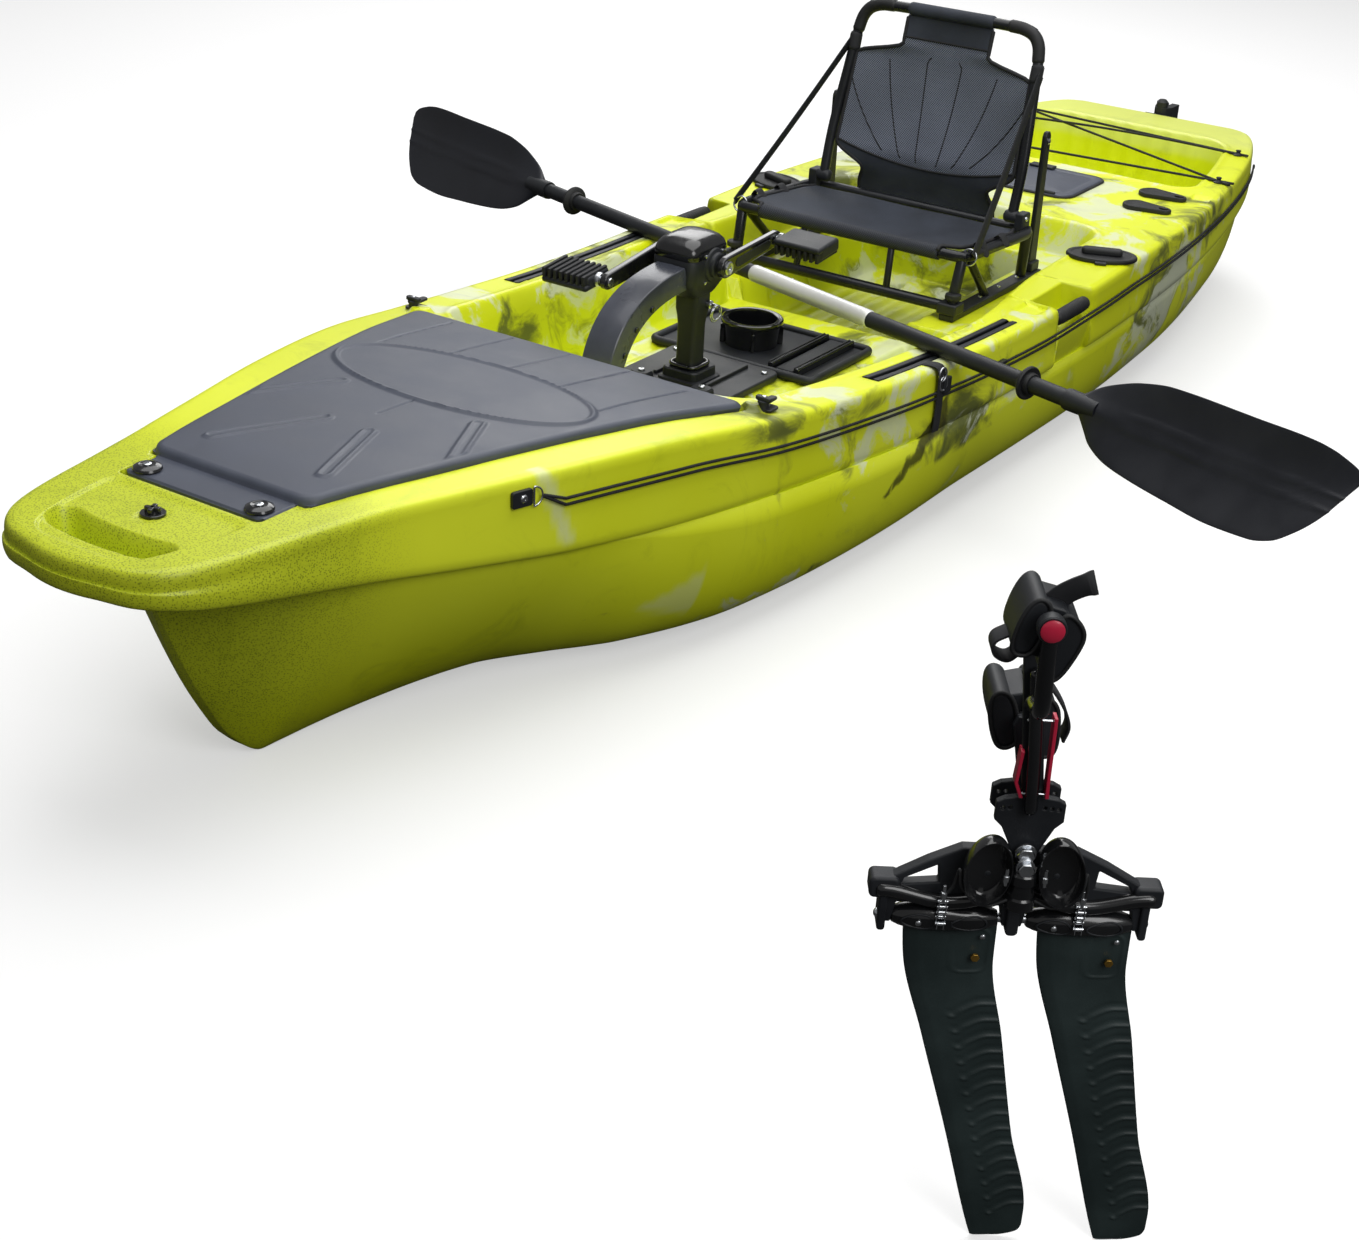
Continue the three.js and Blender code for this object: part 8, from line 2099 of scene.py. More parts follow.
    def pedal(self, make: Maker, name: str, side: float) -> None:
        """Pedal: a hollow-edged tread block with raised bars on both treads and end walls."""
        angle = self.turn_of(side)
        y, z = self.axle_y + self.crank * math.cos(angle), self.axle_z + self.crank * math.sin(angle)
        at = (moved(side * 0.088, y, z) @ turned(0.0 if side > 0 else math.pi, "Y")
              @ turned(side * self.tilt, "X"))
        body = f"pedal_{name}"
        core = make.block(f"pedal_core_{name}", (0.0006, -0.028, -0.0105), (0.098, 0.0365, 0.014), 0.006, at)
        make.place(core, body, "black_plastic", (body,))
        for n in range(8):
            x = 0.0035 + n * 0.0122
            bar = make.block(f"pedal_bar_{name}_{n}", (x, -0.037, -0.0142), (x + 0.0064, 0.0335, 0.0035),
                             0.0015, at)
            make.place(bar, body, "black_rubber")
        brow = make.block(f"pedal_brow_{name}", (0.0, -0.037, 0.003), (0.098, 0.0, 0.0142), 0.0048, at)
        make.place(brow, body, "black_plastic")
        hub = make.lathe(f"pedal_hub_{name}",
                         [(0, 0), (0.0115, 0), (0.0125, 0.002), (0.0125, 0.008), (0.011, 0.01), (0, 0.01)],
                         at @ along_x(-0.008, 0, 0), sides=28)
        make.place(hub, body, "bright_steel")

    def pin(self, make: Maker) -> None:
        """Quick-release pin with a split ring."""
        y, z = self.mast_y + 0.012, 0.4
        shank = make.lathe("pin_shank", [
            (0, 0.01), (0.004, 0.01), (0.004, 0.0243), (0.008, 0.0245), (0.0082, 0.0318), (0.0065, 0.033),
            (0.004, 0.0332), (0.004, 0.043), (0.003, 0.044), (0, 0.0441)], along_x(0, y, z), sides=24)
        make.place(shank, "release_pin", "bright_steel", ("release_pin",))
        for n, radius in enumerate((0.0153, 0.0135)):
            turn = angles(48)
            x = 0.0412 + 0.0028 * n
            loop = np.column_stack([np.full(48, x) + 0.0012 * np.sin(turn + n), y + radius * np.cos(turn),
                                    z - radius + 0.0015 + radius * np.sin(turn)])
            make.place(make.sweep(f"pin_ring_{n}", loop, 0.0015, 10, closed=True), "release_pin",
                       "bright_steel")


# Lines on the hull

@dataclass
class Rigging:
    """Trolley line on the port side, with its fittings, and the bungee over the tank well."""

    line: float = 0.0025
    bungee: float = 0.003
    ends: tuple[float, float] = (0.181, 0.965)
    drops: tuple[float, float] = (0.045, 0.055)
    eyes: tuple = ((-1, 0.848), (1, 0.864), (-1, 0.95), (1, 0.936), (-1, 0.92))

    def build(self, make: Maker) -> None:
        """Makes the lines and then what holds them."""
        k = LINES
        y = np.linspace(k.y(self.ends[0]), k.y(self.ends[1]), 160)
        runs = [np.column_stack([k.gunwale(y) + 0.0031, y, k.sheer(y) - drop]) for drop in self.drops]
        turn = np.linspace(QUARTER, -QUARTER, 8)[1:-1]
        end = (runs[0][-1] + runs[1][-1]) / 2
        bend = np.column_stack([
            np.full(6, end[0]), end[1] + 0.005 * np.cos(turn), end[2] + 0.005 * np.sin(turn)])
        ring_y = 0.622 - BOW_TIP
        half, sheer = k.edge_at(ring_y)
        lead = np.array([[half + 0.0048, ring_y, sheer - 0.0305 - 0.002 * n] for n in range(2)])
        rope = make.sweep("trolley_rope", np.concatenate([lead[:1], runs[0], bend, runs[1][::-1], lead[1:]]),
                          self.line, 10)
        make.place(rope, "boat", "webbing_black", ("trolley_line",))
        self.fittings(make)
        self.shock_cord(make)

    def fittings(self, make: Maker) -> None:
        """Tab with a rivet, ring, clip, hanging strap and guides on the port side."""
        k = LINES

        def side_point(s: float, drop: float, out: float = 0.0) -> tuple[float, float, float]:
            y = s - BOW_TIP
            half, sheer = k.edge_at(y)
            return (half + out, y, sheer - drop)
        tab_at = side_point(0.588, 0.03)
        lean = math.atan2(float(k.gunwale(-1.59) - k.gunwale(-1.62)), 0.03)
        frame = Matrix.Translation(tab_at) @ turned(-lean, "Z") @ standing()
        tab = make.prism("tab", rounded(0.036, 0.026, 0.004), -0.003, 0.0035, frame, 0.0012)
        make.place(tab, "boat", "black_plastic")
        rivet = make.lathe("tab_rivet", [
            (0, 0.002), (0.0062, 0.002), (0.0066, 0.0038), (0.0048, 0.0056), (0.0016, 0.0058), (0, 0.0046)],
                           frame @ moved(0.002, 0, 0), sides=24)
        make.place(rivet, "boat", "bright_steel")
        t = np.linspace(-0.5 * math.pi, 0.5 * math.pi, 22)
        ring = np.concatenate([
            np.column_stack([0.019 + 0.015 * np.cos(t), 0.015 * np.sin(t), np.full(22, 0.0042)]),
            [(0.019, 0.012, 0.0042), (0.019, -0.012, 0.0042)]])
        make.place(make.sweep(
            "tab_ring", spline(carried(frame, ring), 60, closed=True), 0.0016, 10, closed=True), "boat",
                   "bright_steel")
        for n, (s, drop) in enumerate(((1.606, 0.012), (1.611, 0.03))):
            a = angles(40)
            x, y, z = side_point(s, drop, 0.0065)
            loop = np.column_stack([x + 0.002 * np.cos(a), y + 0.010 * np.cos(a), z + 0.0125 * np.sin(a)])
            make.place(make.sweep(f"clip_ring_{n}", loop, 0.0019, 10, closed=True), "boat", "bright_steel")
        x, y, z = side_point(1.625, 0.034, 0.004)
        buckle = make.block(
            "clip_body", (x - 0.004, y - 0.012, z - 0.016), (x + 0.005, y + 0.014, z + 0.013), 0.0025)
        make.place(buckle, "boat", "black_plastic")
        strap = spline([side_point(1.604, -0.0012, -0.03), side_point(1.605, -0.003, -0.008),
                        side_point(1.606, 0.006, 0.0035), side_point(1.607, 0.05, 0.0045),
                        side_point(1.602, 0.1, 0.0065), side_point(1.6, 0.118, 0.006)], 40)
        band = make.grid("hanging_strap", ribbon(strap, 0.024, 0.0026, np.array([0.0, 1.0, 0.0])), wrap=True,
                         crease=50.0)
        make.place(band, "boat", "webbing_black")
        x, y, z = side_point(1.834, 0.03, 0.0005)
        for n, dz in enumerate((-0.026, -0.012)):
            eye = make.block(f"guide_{n}", (x - 0.002, y - 0.012, z + dz - 0.004),
                             (x + 0.0085, y + 0.012, z + dz + 0.004), 0.0018)
            make.place(eye, "boat", "black_plastic")

    def shock_cord(self, make: Maker) -> None:
        """Bungee that runs to and fro over the tank well between hooks on its sides."""
        k = LINES
        places = []
        for side, share in self.eyes:
            y = k.y(share)
            half, sheer = k.edge_at(y)
            places.append(np.array([side * (half - 0.039), y, sheer + 0.0037]))
        path = [places[0]]
        for n in range(1, len(places) - 1):
            a, b, c = places[n - 1], places[n], places[n + 1]
            out = np.array([math.copysign(0.009, b[0]), 0, 0]) * 0.75
            come, go = (a - b) / np.linalg.norm(a - b), (c - b) / np.linalg.norm(c - b)
            path += [b + come * 0.02, b + out + come * 0.004, b + out + go * 0.004, b + go * 0.02]
        hop = [places[-2] + (places[-1] - places[-2]) * t + np.array([0, 0, 0.008 * math.sin(math.pi * t)])
               for t in (0.2, 0.4, 0.6, 0.8)]
        path += hop + [places[-1]]
        rope = make.sweep("bungee", spline(path, 420), self.bungee, 10)
        make.place(rope, "boat", "webbing_black", ("tank_well_bungee",))
        for n, p in enumerate(places):
            side = math.copysign(1.0, p[0])
            foot = make.lathe(f"bungee_eye_{n}", [
                (0, 0), (0.012, 0), (0.0122, 0.0022), (0.008, 0.0036), (0.0045, 0.008), (0.0065, 0.0102),
                (0.0062, 0.0125), (0, 0.0135)], moved(p[0] + side * 0.0015, p[1], p[2] - 0.0035), sides=24)
            make.place(foot, "boat", "black_plastic")


# Spare fin drive

@dataclass
class FinDrive:
    """Fin drive that stands beside the bow: frame, drums, arms, pedals, hubs, chains and fins."""

    x: float = 1.328
    y: float = -2.138
    turn: float = 0.59
    axle: float = 0.418
    bar: float = 0.455
    pivot: float = 0.511
    spread: float = 0.068
    neck: tuple[float, float, float] = (-0.0245, -0.0975, 0.288)
    table: tuple = (
        (0, -.041, .055, .014), (.12, -.036, .056, .012), (.35, -.008, .076, .010), (.65, .030, .101, .007),
        (.92, .062, .128, .005), (.98, .070, .128, .004), (1, .073, .119, .003))
    ribs: int = 14
    reaches: tuple = (("near", 0.272, -0.024), ("far", 0.122, -0.012))

    def frame(self) -> Matrix:
        """Places local forms: X across the fins, Y away from the viewer, Z up."""
        return moved(self.x, self.y, 0) @ turned(self.turn, "Z")

    def upright(self) -> Matrix:
        """Stands a flat outline up: its x along local X, its y along Z, its height away from the viewer."""
        return self.frame() @ standing_across()

    def build(self, make: Maker) -> None:
        """Makes the parts from the fins up."""
        for name, side in (("bow", -1.0), ("stern", 1.0)):
            self.fin(make, name, side)
        self.carrier(make)
        self.arms(make)
        self.pedals(make)

    def fin(self, make: Maker, name: str, side: float) -> None:
        """Flexible fin with wavy raised ribs towards its trailing edge, and a pocket at its head."""
        at = np.concatenate([np.linspace(0, 0.9, 300), np.linspace(0.9, 1, 60)[1:]])
        table = np.array(self.table)
        front, back, thick = (Curve(table, k)(at) for k in (1, 2, 3))
        near = np.clip((at - 0.955) / 0.045, 0, 1)
        back = back - 0.02 * (1 - np.sqrt(1 - near ** 2))
        z = self.axle + (0.0008 - self.axle) * at
        c = (1 - np.cos(np.linspace(0, math.pi, 46))) / 2
        shape = np.where(c < 0.16, np.sqrt(np.clip(c / 0.16, 0, 1)), 1 - 0.72 * smoothstep((c - 0.16) / 0.84))
        shape = np.maximum(shape, 0.03)
        chord = front[:, None] + (back - front)[:, None] * c[None]
        half = thick[:, None] / 2 * shape[None]
        reach = smoothstep((c - 0.36) / 0.06)[None] * (1 - 0.6 * smoothstep((c - 0.97) / 0.03))[None]
        rib = np.zeros_like(chord)
        for n in range(self.ribs):
            middle = 0.30 - 0.0203 * n
            wave = middle + 0.0115 * smoothstep((c - 0.42) / 0.42)[None] - 0.0045 * bump(c, 0.44, 0.07)[None]
            d = z[:, None] - wave
            rib += ridge(d, 0.0032) - 0.45 * smoothstep(1 - np.abs(d - 0.0065) / 0.005)
        pocket = inside(chord - 0.031, z[:, None] + 0 * chord, 0.019, 0.352, 0.405, 0.012)
        relief = 0.0017 * rib * reach + 0.0012 * ridge(pocket, 0.0025)
        x = side * self.spread + chord
        rows = np.concatenate([np.stack([x, -half - relief, z[:, None] + 0 * x], axis=-1),
                               np.stack([x, half + relief, z[:, None] + 0 * x], axis=-1)[:, ::-1]], axis=1)
        obj = make.grid(f"fin_{name}_blade", capped(rows), wrap=True, crease=70.0)
        obj.data.transform(self.frame())
        body = f"fin_{name}"
        make.place(obj, body, "fin_rubber", (body,))
        hub = make.lathe(f"fin_{name}_hub", [
            (0, -0.0535), (0.007, -0.0535), (0.0085, -0.052), (0.0115, -0.045), (0.0148, -0.03),
            (0.0162, -0.012), (0.0164, 0.008), (0.0155, 0.026), (0.0125, 0.042), (0.0092, 0.051),
            (0.008, 0.0535), (0, 0.0535)], self.frame() @ along_x(side * self.spread, 0, self.axle), 44)
        make.place(hub, body, "black_gloss")
        for n, (dx, size) in enumerate(((-0.027, 0.017), (0.024, 0.018))):
            u = np.linspace(0, math.tau, 40, endpoint=False)
            px = side * self.spread + dx + size * np.cos(u)
            pz = self.axle + 0.0078 * np.sin(u) * (1 + 0.25 * np.cos(u))
            r = 0.0158 - 0.003 * ((px - side * self.spread) / 0.04) ** 2
            loop = np.column_stack([
                px, -np.sqrt(np.maximum(r ** 2 - (pz - self.axle) ** 2, 1e-6)) - 0.0006, pz])
            make.place(make.sweep(f"fin_{name}_oval_{n}", self.local(loop), 0.0011, 8, closed=True), body,
                       "black_plastic")
        for n, (dx, dz, size) in enumerate(((-0.027, 0.0, 0.0028), (0.041, -0.02, 0.0026))):
            rivet = make.lathe(
                f"fin_{name}_rivet_{n}",
                [(0, 0), (size, 0), (size * 1.1, 0.001), (size * 0.6, 0.002), (0, 0.0022)], self.frame()
                @ along_y(side * self.spread + dx, -0.0158 if n == 0 else -0.0062, self.axle + dz), sides=16)
            make.place(rivet, body, "bright_steel")
        nut = make.prism(f"fin_{name}_nut", circle(side * self.spread + 0.036, 0.373, 0.0048, 6), 0.0, 0.0035,
                         self.upright() @ moved(0, 0, -0.0092), 0.0006)
        make.place(nut, body, "brass")

    def local(self, points: list | Array) -> Array:
        """Local points in the row frame."""
        return carried(self.frame(), points)

    def carrier(self, make: Maker) -> None:
        """Frame plate with openings, cross bar, end lugs, drums, cables, chains and the centre bolts."""
        up = self.upright()
        outline = [
            (-0.13, 0.412), (-0.122, 0.412), (-0.118, 0.436), (-0.014, 0.436), (-0.01, 0.412), (0.01, 0.412),
            (0.014, 0.436), (0.118, 0.436), (0.122, 0.412), (0.13, 0.412), (0.134, 0.45), (0.128, 0.464),
            (0.09, 0.487), (0.058, 0.503), (-0.058, 0.503), (-0.09, 0.487), (-0.128, 0.464), (-0.134, 0.45)]
        holes = []
        for s in (-1, 1):
            tri = np.array([(s * 0.078, 0.462), (s * 0.115, 0.458), (s * 0.112, 0.465), (s * 0.08, 0.482)])
            holes.append(tri if s > 0 else tri[::-1])
        plate = pierced(make, "fin_plate", outline, holes, -0.007, 0.007, up, 0.0018)
        make.place(plate, "fin_drive", "black_plastic", ("fin_drive_frame",))
        bar = np.column_stack([np.linspace(-0.136, 0.136, 60), np.full(60, -0.009),
                               0.447 + 0.006 * np.cos(np.linspace(-0.136, 0.136, 60) / 0.136 * math.tau)])
        make.place(make.sweep("fin_bar", self.local(bar), 0.0078, 18), "fin_drive", "black_gloss")
        axle = self.local([(-0.136, 0, self.axle), (0.136, 0, self.axle)])
        make.place(make.sweep("fin_axle", axle, 0.005, 14), "fin_drive", "bright_steel")
        for name, s in (("a", -1.0), ("b", 1.0)):
            lug = make.prism(f"fin_lug_{name}", rounded(0.03, 0.024, 0.006, s * 0.132, 0.455), -0.012, 0.012,
                             up, 0.003)
            make.place(lug, "fin_drive", "black_plastic")
            cheek = make.prism(f"fin_cheek_{name}", rounded(0.0085, 0.046, 0.0035, s * 0.1315, 0.427),
                               -0.0115, 0.0115, up, 0.002)
            make.place(cheek, "fin_drive", "black_plastic")
            self.drum(make, name, s)
            self.chain(make, name, s)
        mid = make.prism("fin_mid_cheek", rounded(0.013, 0.052, 0.005, 0, 0.43), -0.0125, 0.0125, up, 0.002)
        make.place(mid, "fin_drive", "black_plastic")
        boss = make.lathe("fin_boss", [(0, 0), (0.015, 0), (0.0155, 0.012), (0.0135, 0.014), (0.013, 0.028),
                                       (0.0155, 0.03), (0.0155, 0.04), (0.013, 0.043), (0, 0.043)],
                          self.frame() @ moved(0, -0.026, 0.452), 36)
        make.place(boss, "fin_drive", "black_gloss")
        pin = make.lathe("fin_pivot", [(0, -0.024), (0.007, -0.024), (0.007, 0.024), (0, 0.024)],
                         self.frame() @ along_y(0, 0, self.pivot), 24)
        make.place(pin, "fin_drive", "bright_steel")
        bolts = ((0.5, -0.034, 0.0085), (0.511, -0.026, 0.0095), (0.448, -0.02, 0.0055))
        for n, (z, y, size) in enumerate(bolts):
            bolt = make.prism(f"fin_hex_{n}", circle(0.0, z, size, 6), y - 0.006, y, up, 0.0012)
            make.place(bolt, "fin_drive", "bright_steel")
            neck = make.prism(f"fin_washer_{n}", circle(0.0, z, size * 1.15, 24), y, y + 0.003, up, 0.0006)
            make.place(neck, "fin_drive", "bright_steel")

    def drum(self, make: Maker, name: str, s: float) -> None:
        """Oval bowl with a thick lip, and a cable that leaves it for the chain."""
        rings = [(0.03, 0.0), (0.9, 0.0), (0.97, -0.003), (1.0, -0.009), (1.0, -0.0175), (0.975, -0.0198),
                 (0.94, -0.0195), (0.905, -0.0165), (0.86, -0.008), (0.78, -0.0052), (0.4, -0.0045),
                 (0.0, -0.0044)]
        u = angles(56)
        lean = s * 0.12
        grid = []
        for scale, y in [(0.0, 0.0)] + rings:
            px, pz = 0.0235 * np.cos(u) * scale, 0.038 * np.sin(u) * scale
            grid.append(np.column_stack([
                s * 0.036 + px * math.cos(lean) - pz * math.sin(lean), np.full(56, -0.0195 + y),
                0.494 + px * math.sin(lean) + pz * math.cos(lean)]))
        obj = make.grid(f"fin_drum_{name}", np.array(grid), wrap=True, crease=40.0)
        obj.data.transform(self.frame())
        make.place(obj, "fin_drive", "black_gloss")
        stud = make.sweep(f"fin_drum_stud_{name}",
                          self.local([(s * 0.034, -0.021, 0.486), (s * 0.034, 0.0, 0.486)]), 0.006, 12)
        make.place(stud, "fin_drive", "black_plastic")
        chain_x = self.chain_x(s)
        cable = spline(
            [(s * 0.012, -0.032, 0.462), (s * 0.035, -0.034, 0.455), (s * 0.058, -0.032, 0.472),
             (s * 0.0625, -0.028, 0.492), (s * 0.066, -0.024, 0.47), (chain_x, -0.0225, 0.456)], 60)
        make.place(make.sweep(f"fin_cable_{name}", self.local(cable), 0.0018, 8), "fin_drive", "black_rubber")
        for n, (x, y, z) in enumerate(((s * 0.019, -0.041, 0.493), (chain_x, -0.0225, 0.4585))):
            end = make.lathe(f"fin_cable_end_{name}_{n}", [
                (0, -0.009), (0.0016, -0.009), (0.0022, -0.004), (0.0032, -0.0035), (0.0032, 0.002),
                (0.002, 0.0028), (0.0018, 0.01), (0, 0.0105)], self.frame() @ moved(x, y, z), sides=14)
            make.place(end, "fin_drive", "bright_steel")

    def chain_x(self, s: float) -> float:
        """Local place across of a chain: inward of its hub."""
        return s * self.spread - 0.004 + (0.0 if s > 0 else -0.002)

    def chain(self, make: Maker, name: str, s: float) -> None:
        """Roller chain over the front of a hub: rollers with paired side plates."""
        chain_x = self.chain_x(s)
        for n in range(5):
            z = 0.4485 - 0.0066 * n
            depth = 0.0185 if z > 0.434 else math.sqrt(max(0.0195 ** 2 - (z - self.axle) ** 2, 0.00015))
            y = -max(depth, 0.0125) - 0.002
            roller = make.lathe(f"chain_{name}_roller_{n}", [
                (0, -0.0052), (0.0015, -0.0052), (0.0016, -0.0032), (0.0024, -0.003), (0.0024, 0.003),
                (0.0016, 0.0032), (0.0015, 0.0052), (0, 0.0052)], self.frame() @ along_x(chain_x, y, z),
                                sides=12)
            make.place(roller, "fin_drive", "bright_steel")
            offset = 0.0042 if n % 2 else 0.0033
            for k in (-1, 1):
                link = make.block(
                    f"chain_{name}_link_{n}_{k + 1}", (chain_x + k * offset - 0.0005, y - 0.0024, z - 0.0058),
                    (chain_x + k * offset + 0.0005, y + 0.0024, z + 0.0012), 0.0003, self.frame())
                make.place(link, "fin_drive", "bright_steel")

    def arms(self, make: Maker) -> None:
        """Two pedal arms on one pivot, each with a drilled sector, red adjusters and a clevis pin."""
        up = self.upright()
        for (name, reach, lean), (y0, y1) in zip(self.reaches, ((-0.019, -0.011), (0.011, 0.019))):
            z = self.pivot
            body = f"fin_arm_{name}"
            half, knee = 0.01, z + 0.062 + (reach - 0.062) * 0.5
            outline = [
                (-0.0098, z - 0.0098), (0, z - 0.014), (0.0098, z - 0.0098), (0.014, z), (0.026, z + 0.026),
                (0.034, z + 0.034), (0.034, z + 0.054), (0.026, z + 0.0585), (0.0105, z + 0.061),
                (0.0105, z + 0.062), (half + lean * 0.5, knee), (half + lean, z + reach),
                (lean + half * 0.6, z + reach + half), (lean - half * 0.6, z + reach + half),
                (lean - half, z + reach), (lean * 0.5 - half, knee), (-half - 0.0005, z + 0.062),
                (-0.0105, z + 0.061), (-0.026, z + 0.0585), (-0.034, z + 0.054), (-0.034, z + 0.034),
                (-0.026, z + 0.026), (-0.014, z)]
            holes = [circle(x, z + 0.0505 - abs(x) * 0.1, 0.0021, 12)[::-1]
                     for x in (-0.0275, -0.0205, 0.0135, 0.0205, 0.0275)]
            plate = pierced(make, f"arm_plate_{name}", outline, holes + [circle(0, z, 0.0074, 20)[::-1]], y0,
                            y1, up, 0.0012)
            make.place(plate, body, "black_plastic", (body,))
            middle = (y0 + y1) / 2
            way = 1.0 if name == "far" else -1.0
            stud = self.local([(lean, middle, z + reach), (lean, way * 0.084, z + reach)])
            make.place(make.sweep(f"arm_stud_{name}", stud, 0.006, 16), body, "bright_steel")
            if name == "near":
                rib = spline([(-0.001, y0 - 0.004, z + 0.05), (-0.006, y0 - 0.005, z + 0.12),
                              (-0.014, y0 - 0.005, z + 0.2)], 30)
                make.place(make.sweep("arm_rib", self.local(rib), 0.0088, 16, squash=0.7), body,
                           "black_gloss")
                tube = spline([
                    (-0.014, y0 - 0.004, z + 0.165), (-0.018, -0.05, z + 0.182), (-0.021, -0.094, z + 0.2),
                    (-0.0235, -0.1015, z + 0.25), (-0.0245, -0.1025, z + 0.288)], 50)
                make.place(make.sweep("arm_neck", self.local(tube), 0.008, 20), body, "black_gloss")
                neck = self.frame() @ along_y(self.neck[0], self.neck[1], z + self.neck[2])
                collar = make.lathe("arm_collar", [
                    (0, 0), (0.0128, 0), (0.0135, 0.004), (0.0135, 0.012), (0.0125, 0.0135), (0, 0.0135)],
                                    neck, 36)
                make.place(collar, body, "black_plastic")
                cap = make.lathe("arm_cap", [
                    (0, 0.0128), (0.0108, 0.0128), (0.011, 0.0148), (0.0085, 0.0163), (0, 0.0168)], neck, 36)
                make.place(cap, body, "red_paint")
                for k, s in enumerate((-1.0, 1.0)):
                    top = 0.115 if s < 0 else 0.152
                    strip = [(s * 0.0125 - 0.002, z + 0.063), (s * 0.0125 + 0.002, z + 0.063),
                             (s * 0.0155 - 0.002, z + 0.08), (s * 0.0135 - 0.003 + 0.0018, z + top),
                             (s * 0.0135 - 0.003 - 0.0018, z + top), (s * 0.0155 - 0.0055, z + 0.08)]
                    blade = make.prism(f"adjuster_{k}", strip, y0 - 0.006, y1, up, 0.0008)
                    make.place(blade, body, "red_paint")
                for k, rise in enumerate((0.067, 0.148)):
                    rod = self.local([(-0.015 - 0.001 * k, y0 - 0.003, z + rise),
                                      (0.013 - 0.001 * k, y0 - 0.003, z + rise)])
                    make.place(make.sweep(f"adjuster_rod_{k}", rod, 0.0014, 10), body, "bright_steel")

    def pedals(self, make: Maker) -> None:
        """Foot pedals: two soft-edged pads with a web between them and a strap, and a loose strap tongue on
        the near pedal.
        """
        for (name, reach, lean), way in zip(self.reaches, (-1.0, 1.0)):
            z = self.pivot + reach
            body = f"fin_pedal_{name}"
            tilt = 0.25 if name == "near" else -0.25
            near, far = sorted((way * 0.024, way * 0.088))
            at = self.frame() @ moved(lean, 0, z) @ turned(tilt, "Y")
            flat = at @ standing_across()
            left = [(-0.036, -0.026), (-0.026, -0.036), (-0.008, -0.03), (-0.004, 0.0), (-0.006, 0.034),
                    (-0.02, 0.044), (-0.032, 0.036), (-0.0375, 0.01)]
            right = [(0.008, -0.052), (0.026, -0.058), (0.036, -0.046), (0.043, -0.012), (0.044, 0.012),
                     (0.03, 0.028), (0.01, 0.034), (0.004, 0.0)]
            for part, outline in (("toe", left), ("heel", right)):
                shape = chaikin(np.array(outline) * (0.76 if name == "near" else 0.82), 2)
                pad = make.prism(f"pad_{part}_{name}", shape, near, far, flat, 0.0045, 4)
                make.place(pad, body, "black_plastic", (body,) if part == "toe" else ())
                rim = np.column_stack([shape, np.full(len(shape), near)])
                make.place(make.sweep(f"pad_rim_{part}_{name}", carried(flat, rim), 0.0022, 8, closed=True),
                           body, "black_rubber")
            web = make.prism(f"pad_web_{name}", rounded(0.03, 0.052, 0.008), near + 0.006, far - 0.006, flat,
                             0.002)
            make.place(web, body, "black_plastic")
            middle = (near + far) / 2
            line = ([(-0.024, middle, -0.018), (-0.035, middle, -0.03), (-0.031, middle, -0.042),
                     (-0.017, middle, -0.044), (-0.009, middle, -0.03), (-0.009, middle, -0.014)] if name
                    == "near" else [(0.01, middle, 0.03), (0.03, middle, 0.022), (0.043, middle, -0.006),
                                    (0.046, middle, -0.03), (0.038, middle, -0.046)])
            path = carried(at, spline(line, 40))
            guide = np.array(tuple(self.frame().to_3x3() @ Vector((0, 1, 0))))
            band = make.grid(f"pad_strap_{name}", ribbon(path, 0.024, 0.003, guide), wrap=True, crease=50.0)
            make.place(band, body, "webbing_black")
        z = self.pivot + self.reaches[0][1]
        at = self.frame() @ moved(-0.024, -0.06, z) @ turned(0.25, "Y")
        tongue = [(0.002, 0.0, 0.02), (0.008, -0.002, 0.032), (0.016, -0.004, 0.042), (0.024, -0.005, 0.049),
                  (0.03, -0.004, 0.0525)]
        path = carried(at, spline(tongue, 40))
        guide = np.array(tuple((self.frame() @ turned(0.35, "Y")).to_3x3() @ Vector((1, 0, 0))))
        band = make.grid("pad_tongue", ribbon(path, 0.023, 0.003, guide), wrap=True, crease=50.0)
        make.place(band, "fin_pedal_near", "webbing_black")


def chaikin(points: Array, times: int) -> Array:
    """Rounds a closed outline by cutting its corners."""
    for _ in range(times):
        after = np.roll(points, -1, axis=0)
        points = np.stack([points * 0.75 + after * 0.25, points * 0.25 + after * 0.75], axis=1).reshape(-1, 2)
    return points


# Studio

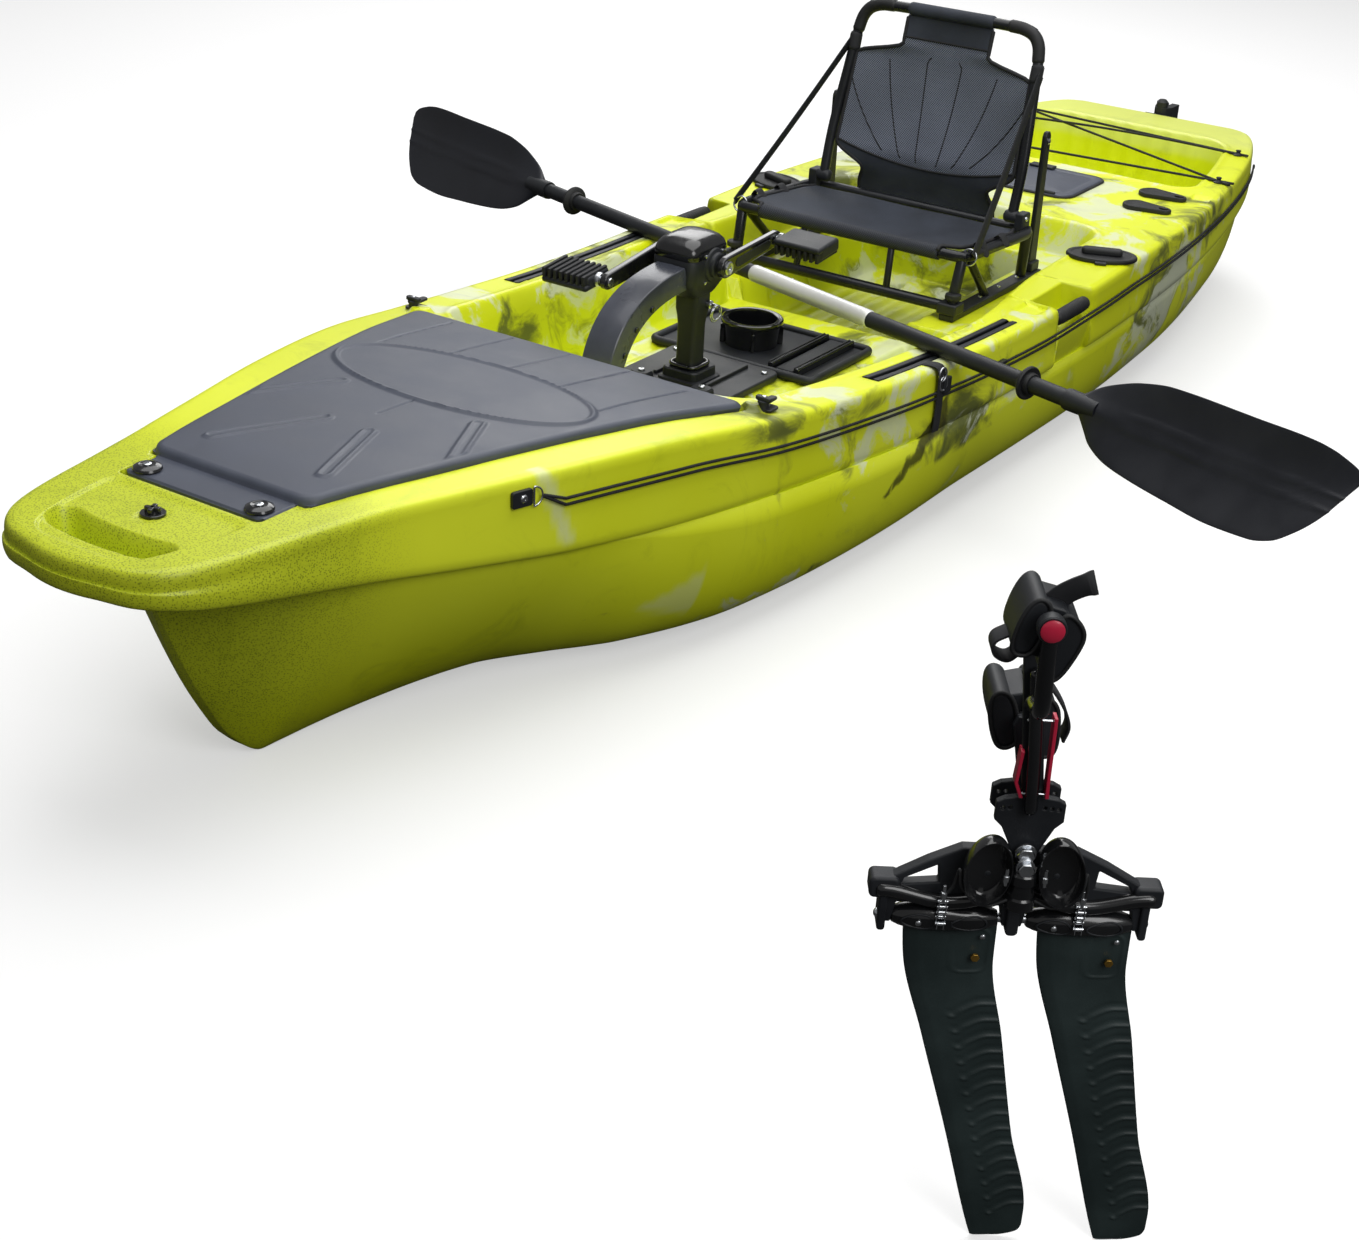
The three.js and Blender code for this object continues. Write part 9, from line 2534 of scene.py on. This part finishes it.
@dataclass
class Studio:
    """Camera, pale floor and soft light from above."""

    eye: tuple[float, float, float] = (1.989, -3.833, 1.643)
    azimuth: float = 32.38
    elevation: float = 27.02
    roll: float = 3.26
    lens: float = 56.57

    def build(self) -> None:
        """Makes the camera, world, lamps and floor."""
        scene = bpy.context.scene
        scene.view_settings.view_transform = "Standard"
        self.camera(scene)
        self.world(scene)
        self.lamp("key", (0.2, 0.0, 4.2), (4.5, 5.4), 175.0, (0.0, 0.0, 0.2))
        self.lamp("fill", (4.4, -3.4, 3.6), (3.0, 2.5), 105.0, (0.0, -0.3, 0.3))
        self.lamp("back", (-2.6, 3.6, 3.4), (3.0, 2.4), 70.0, (0.0, 0.6, 0.4))
        self.floor()

    def camera(self, scene: bpy.types.Scene) -> None:
        """Camera found from the object's known points in the picture."""
        az, el, roll = (math.radians(v) for v in (self.azimuth, self.elevation, self.roll))
        ahead = Vector((-math.sin(az) * math.cos(el), math.cos(az) * math.cos(el), -math.sin(el)))
        level = Vector((math.cos(az), math.sin(az), 0))
        rise = level.cross(ahead)
        right = level * math.cos(roll) + rise * math.sin(roll)
        up = rise * math.cos(roll) - level * math.sin(roll)
        data = bpy.data.cameras.new("camera")
        data.sensor_fit = "HORIZONTAL"
        data.sensor_width = 36.0
        data.lens = self.lens
        obj = bpy.data.objects.new("camera", data)
        turn = Matrix((right, up, -ahead)).transposed().to_4x4()
        obj.matrix_world = Matrix.Translation(Vector(self.eye)) @ turn
        scene.collection.objects.link(obj)
        scene.camera = obj

    def world(self, scene: bpy.types.Scene) -> None:
        """Even white surroundings, dimmer to the object than to the camera."""
        world = bpy.data.worlds.new("studio")
        world.use_nodes = True
        kit = Nodes(world.node_tree)
        back = world.node_tree.nodes["Background"]
        path = kit.add("LightPath")
        seen = kit.math("ADD", 0.26, kit.times(path.outputs["Is Camera Ray"], 0.74))
        back.inputs["Color"].default_value = (1, 1, 1, 1)
        world.node_tree.links.new(seen, back.inputs["Strength"])
        scene.world = world

    def lamp(self, name: str, at: tuple, size: tuple, power: float, aim: tuple) -> None:
        """Large soft lamp that looks at a point."""
        data = bpy.data.lights.new(name, "AREA")
        data.shape = "RECTANGLE"
        data.size, data.size_y = size
        data.energy = power
        obj = bpy.data.objects.new(name, data)
        obj.matrix_world = facing(at, Vector(at) - Vector(aim))
        bpy.context.scene.collection.objects.link(obj)

    def floor(self) -> None:
        """White floor that keeps the shadow and bounces little light back."""
        material, kit, shader = blank("floor")
        tree = kit.tree
        tree.nodes.remove(shader)
        output = tree.nodes["Material Output"]
        seen = kit.add("LightPath").outputs["Is Camera Ray"]
        matt = kit.add("BsdfDiffuse", {"Color": kit.mix(seen, (0.05, 0.05, 0.05, 1), (0.62, 0.62, 0.62, 1))})
        glow = kit.add("Emission", {"Color": (1, 1, 1, 1), "Strength": kit.times(seen, 0.46)})
        both = kit.add("AddShader", {0: matt.outputs[0], 1: glow.outputs[0]})
        tree.links.new(both.outputs[0], output.inputs[0])
        data = bpy.data.meshes.new("floor")
        data.from_pydata([(-40, -40, -0.0005), (40, -40, -0.0005), (40, 40, -0.0005), (-40, 40, -0.0005)], [],
                         [(0, 1, 2, 3)])
        data.materials.append(material)
        obj = bpy.data.objects.new("floor", data)
        bpy.context.scene.collection.objects.link(obj)


def main() -> None:
    """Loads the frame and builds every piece."""
    logging.basicConfig(level=logging.INFO, format="%(name)s: %(message)s")
    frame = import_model()
    palette = Palette()
    make = Maker(palette)
    Studio().build()
    for part in (Hull(), FrontLid(), DeckFittings(), SeatBase(), SeatBack(), Paddle(), PedalDrive(),
                 Rigging(), FinDrive()):
        part.build(make)
        LOG.info("%s done", type(part).__name__)
    dress(frame["nodes"], palette)
    LOG.info("%d pieces", make.count)


def dress(nodes: dict[str, bpy.types.Object], palette: Palette) -> None:
    """Gives the CAD pieces that stay in sight their procedural finishes."""
    finishes = {
        "drive_shaft": "bright_steel", "crank_spindle": "bright_steel", "release_pin": "bright_steel",
        "propeller": "black_plastic", "drive_leg": "black_plastic", "drive_mast": "black_plastic",
        "arch_guard": "guard_slate", "gearbox_housing": "black_gloss", "gearbox_cover": "black_gloss",
        "drive_base_plate": "black_plastic", "console_tray": "black_plastic", "cup_holder": "black_gloss",
        "fin_bow": "fin_rubber", "fin_stern": "fin_rubber", "hull": "hull_lime"}
    for name, node in nodes.items():
        if not node.hide_render:
            finish = palette[finishes.get(name, "black_plastic")]
            if not node.data.materials:
                node.data.materials.append(finish)
            for index in range(len(node.data.materials)):
                node.data.materials[index] = finish


if __name__ == "__main__":
    main()
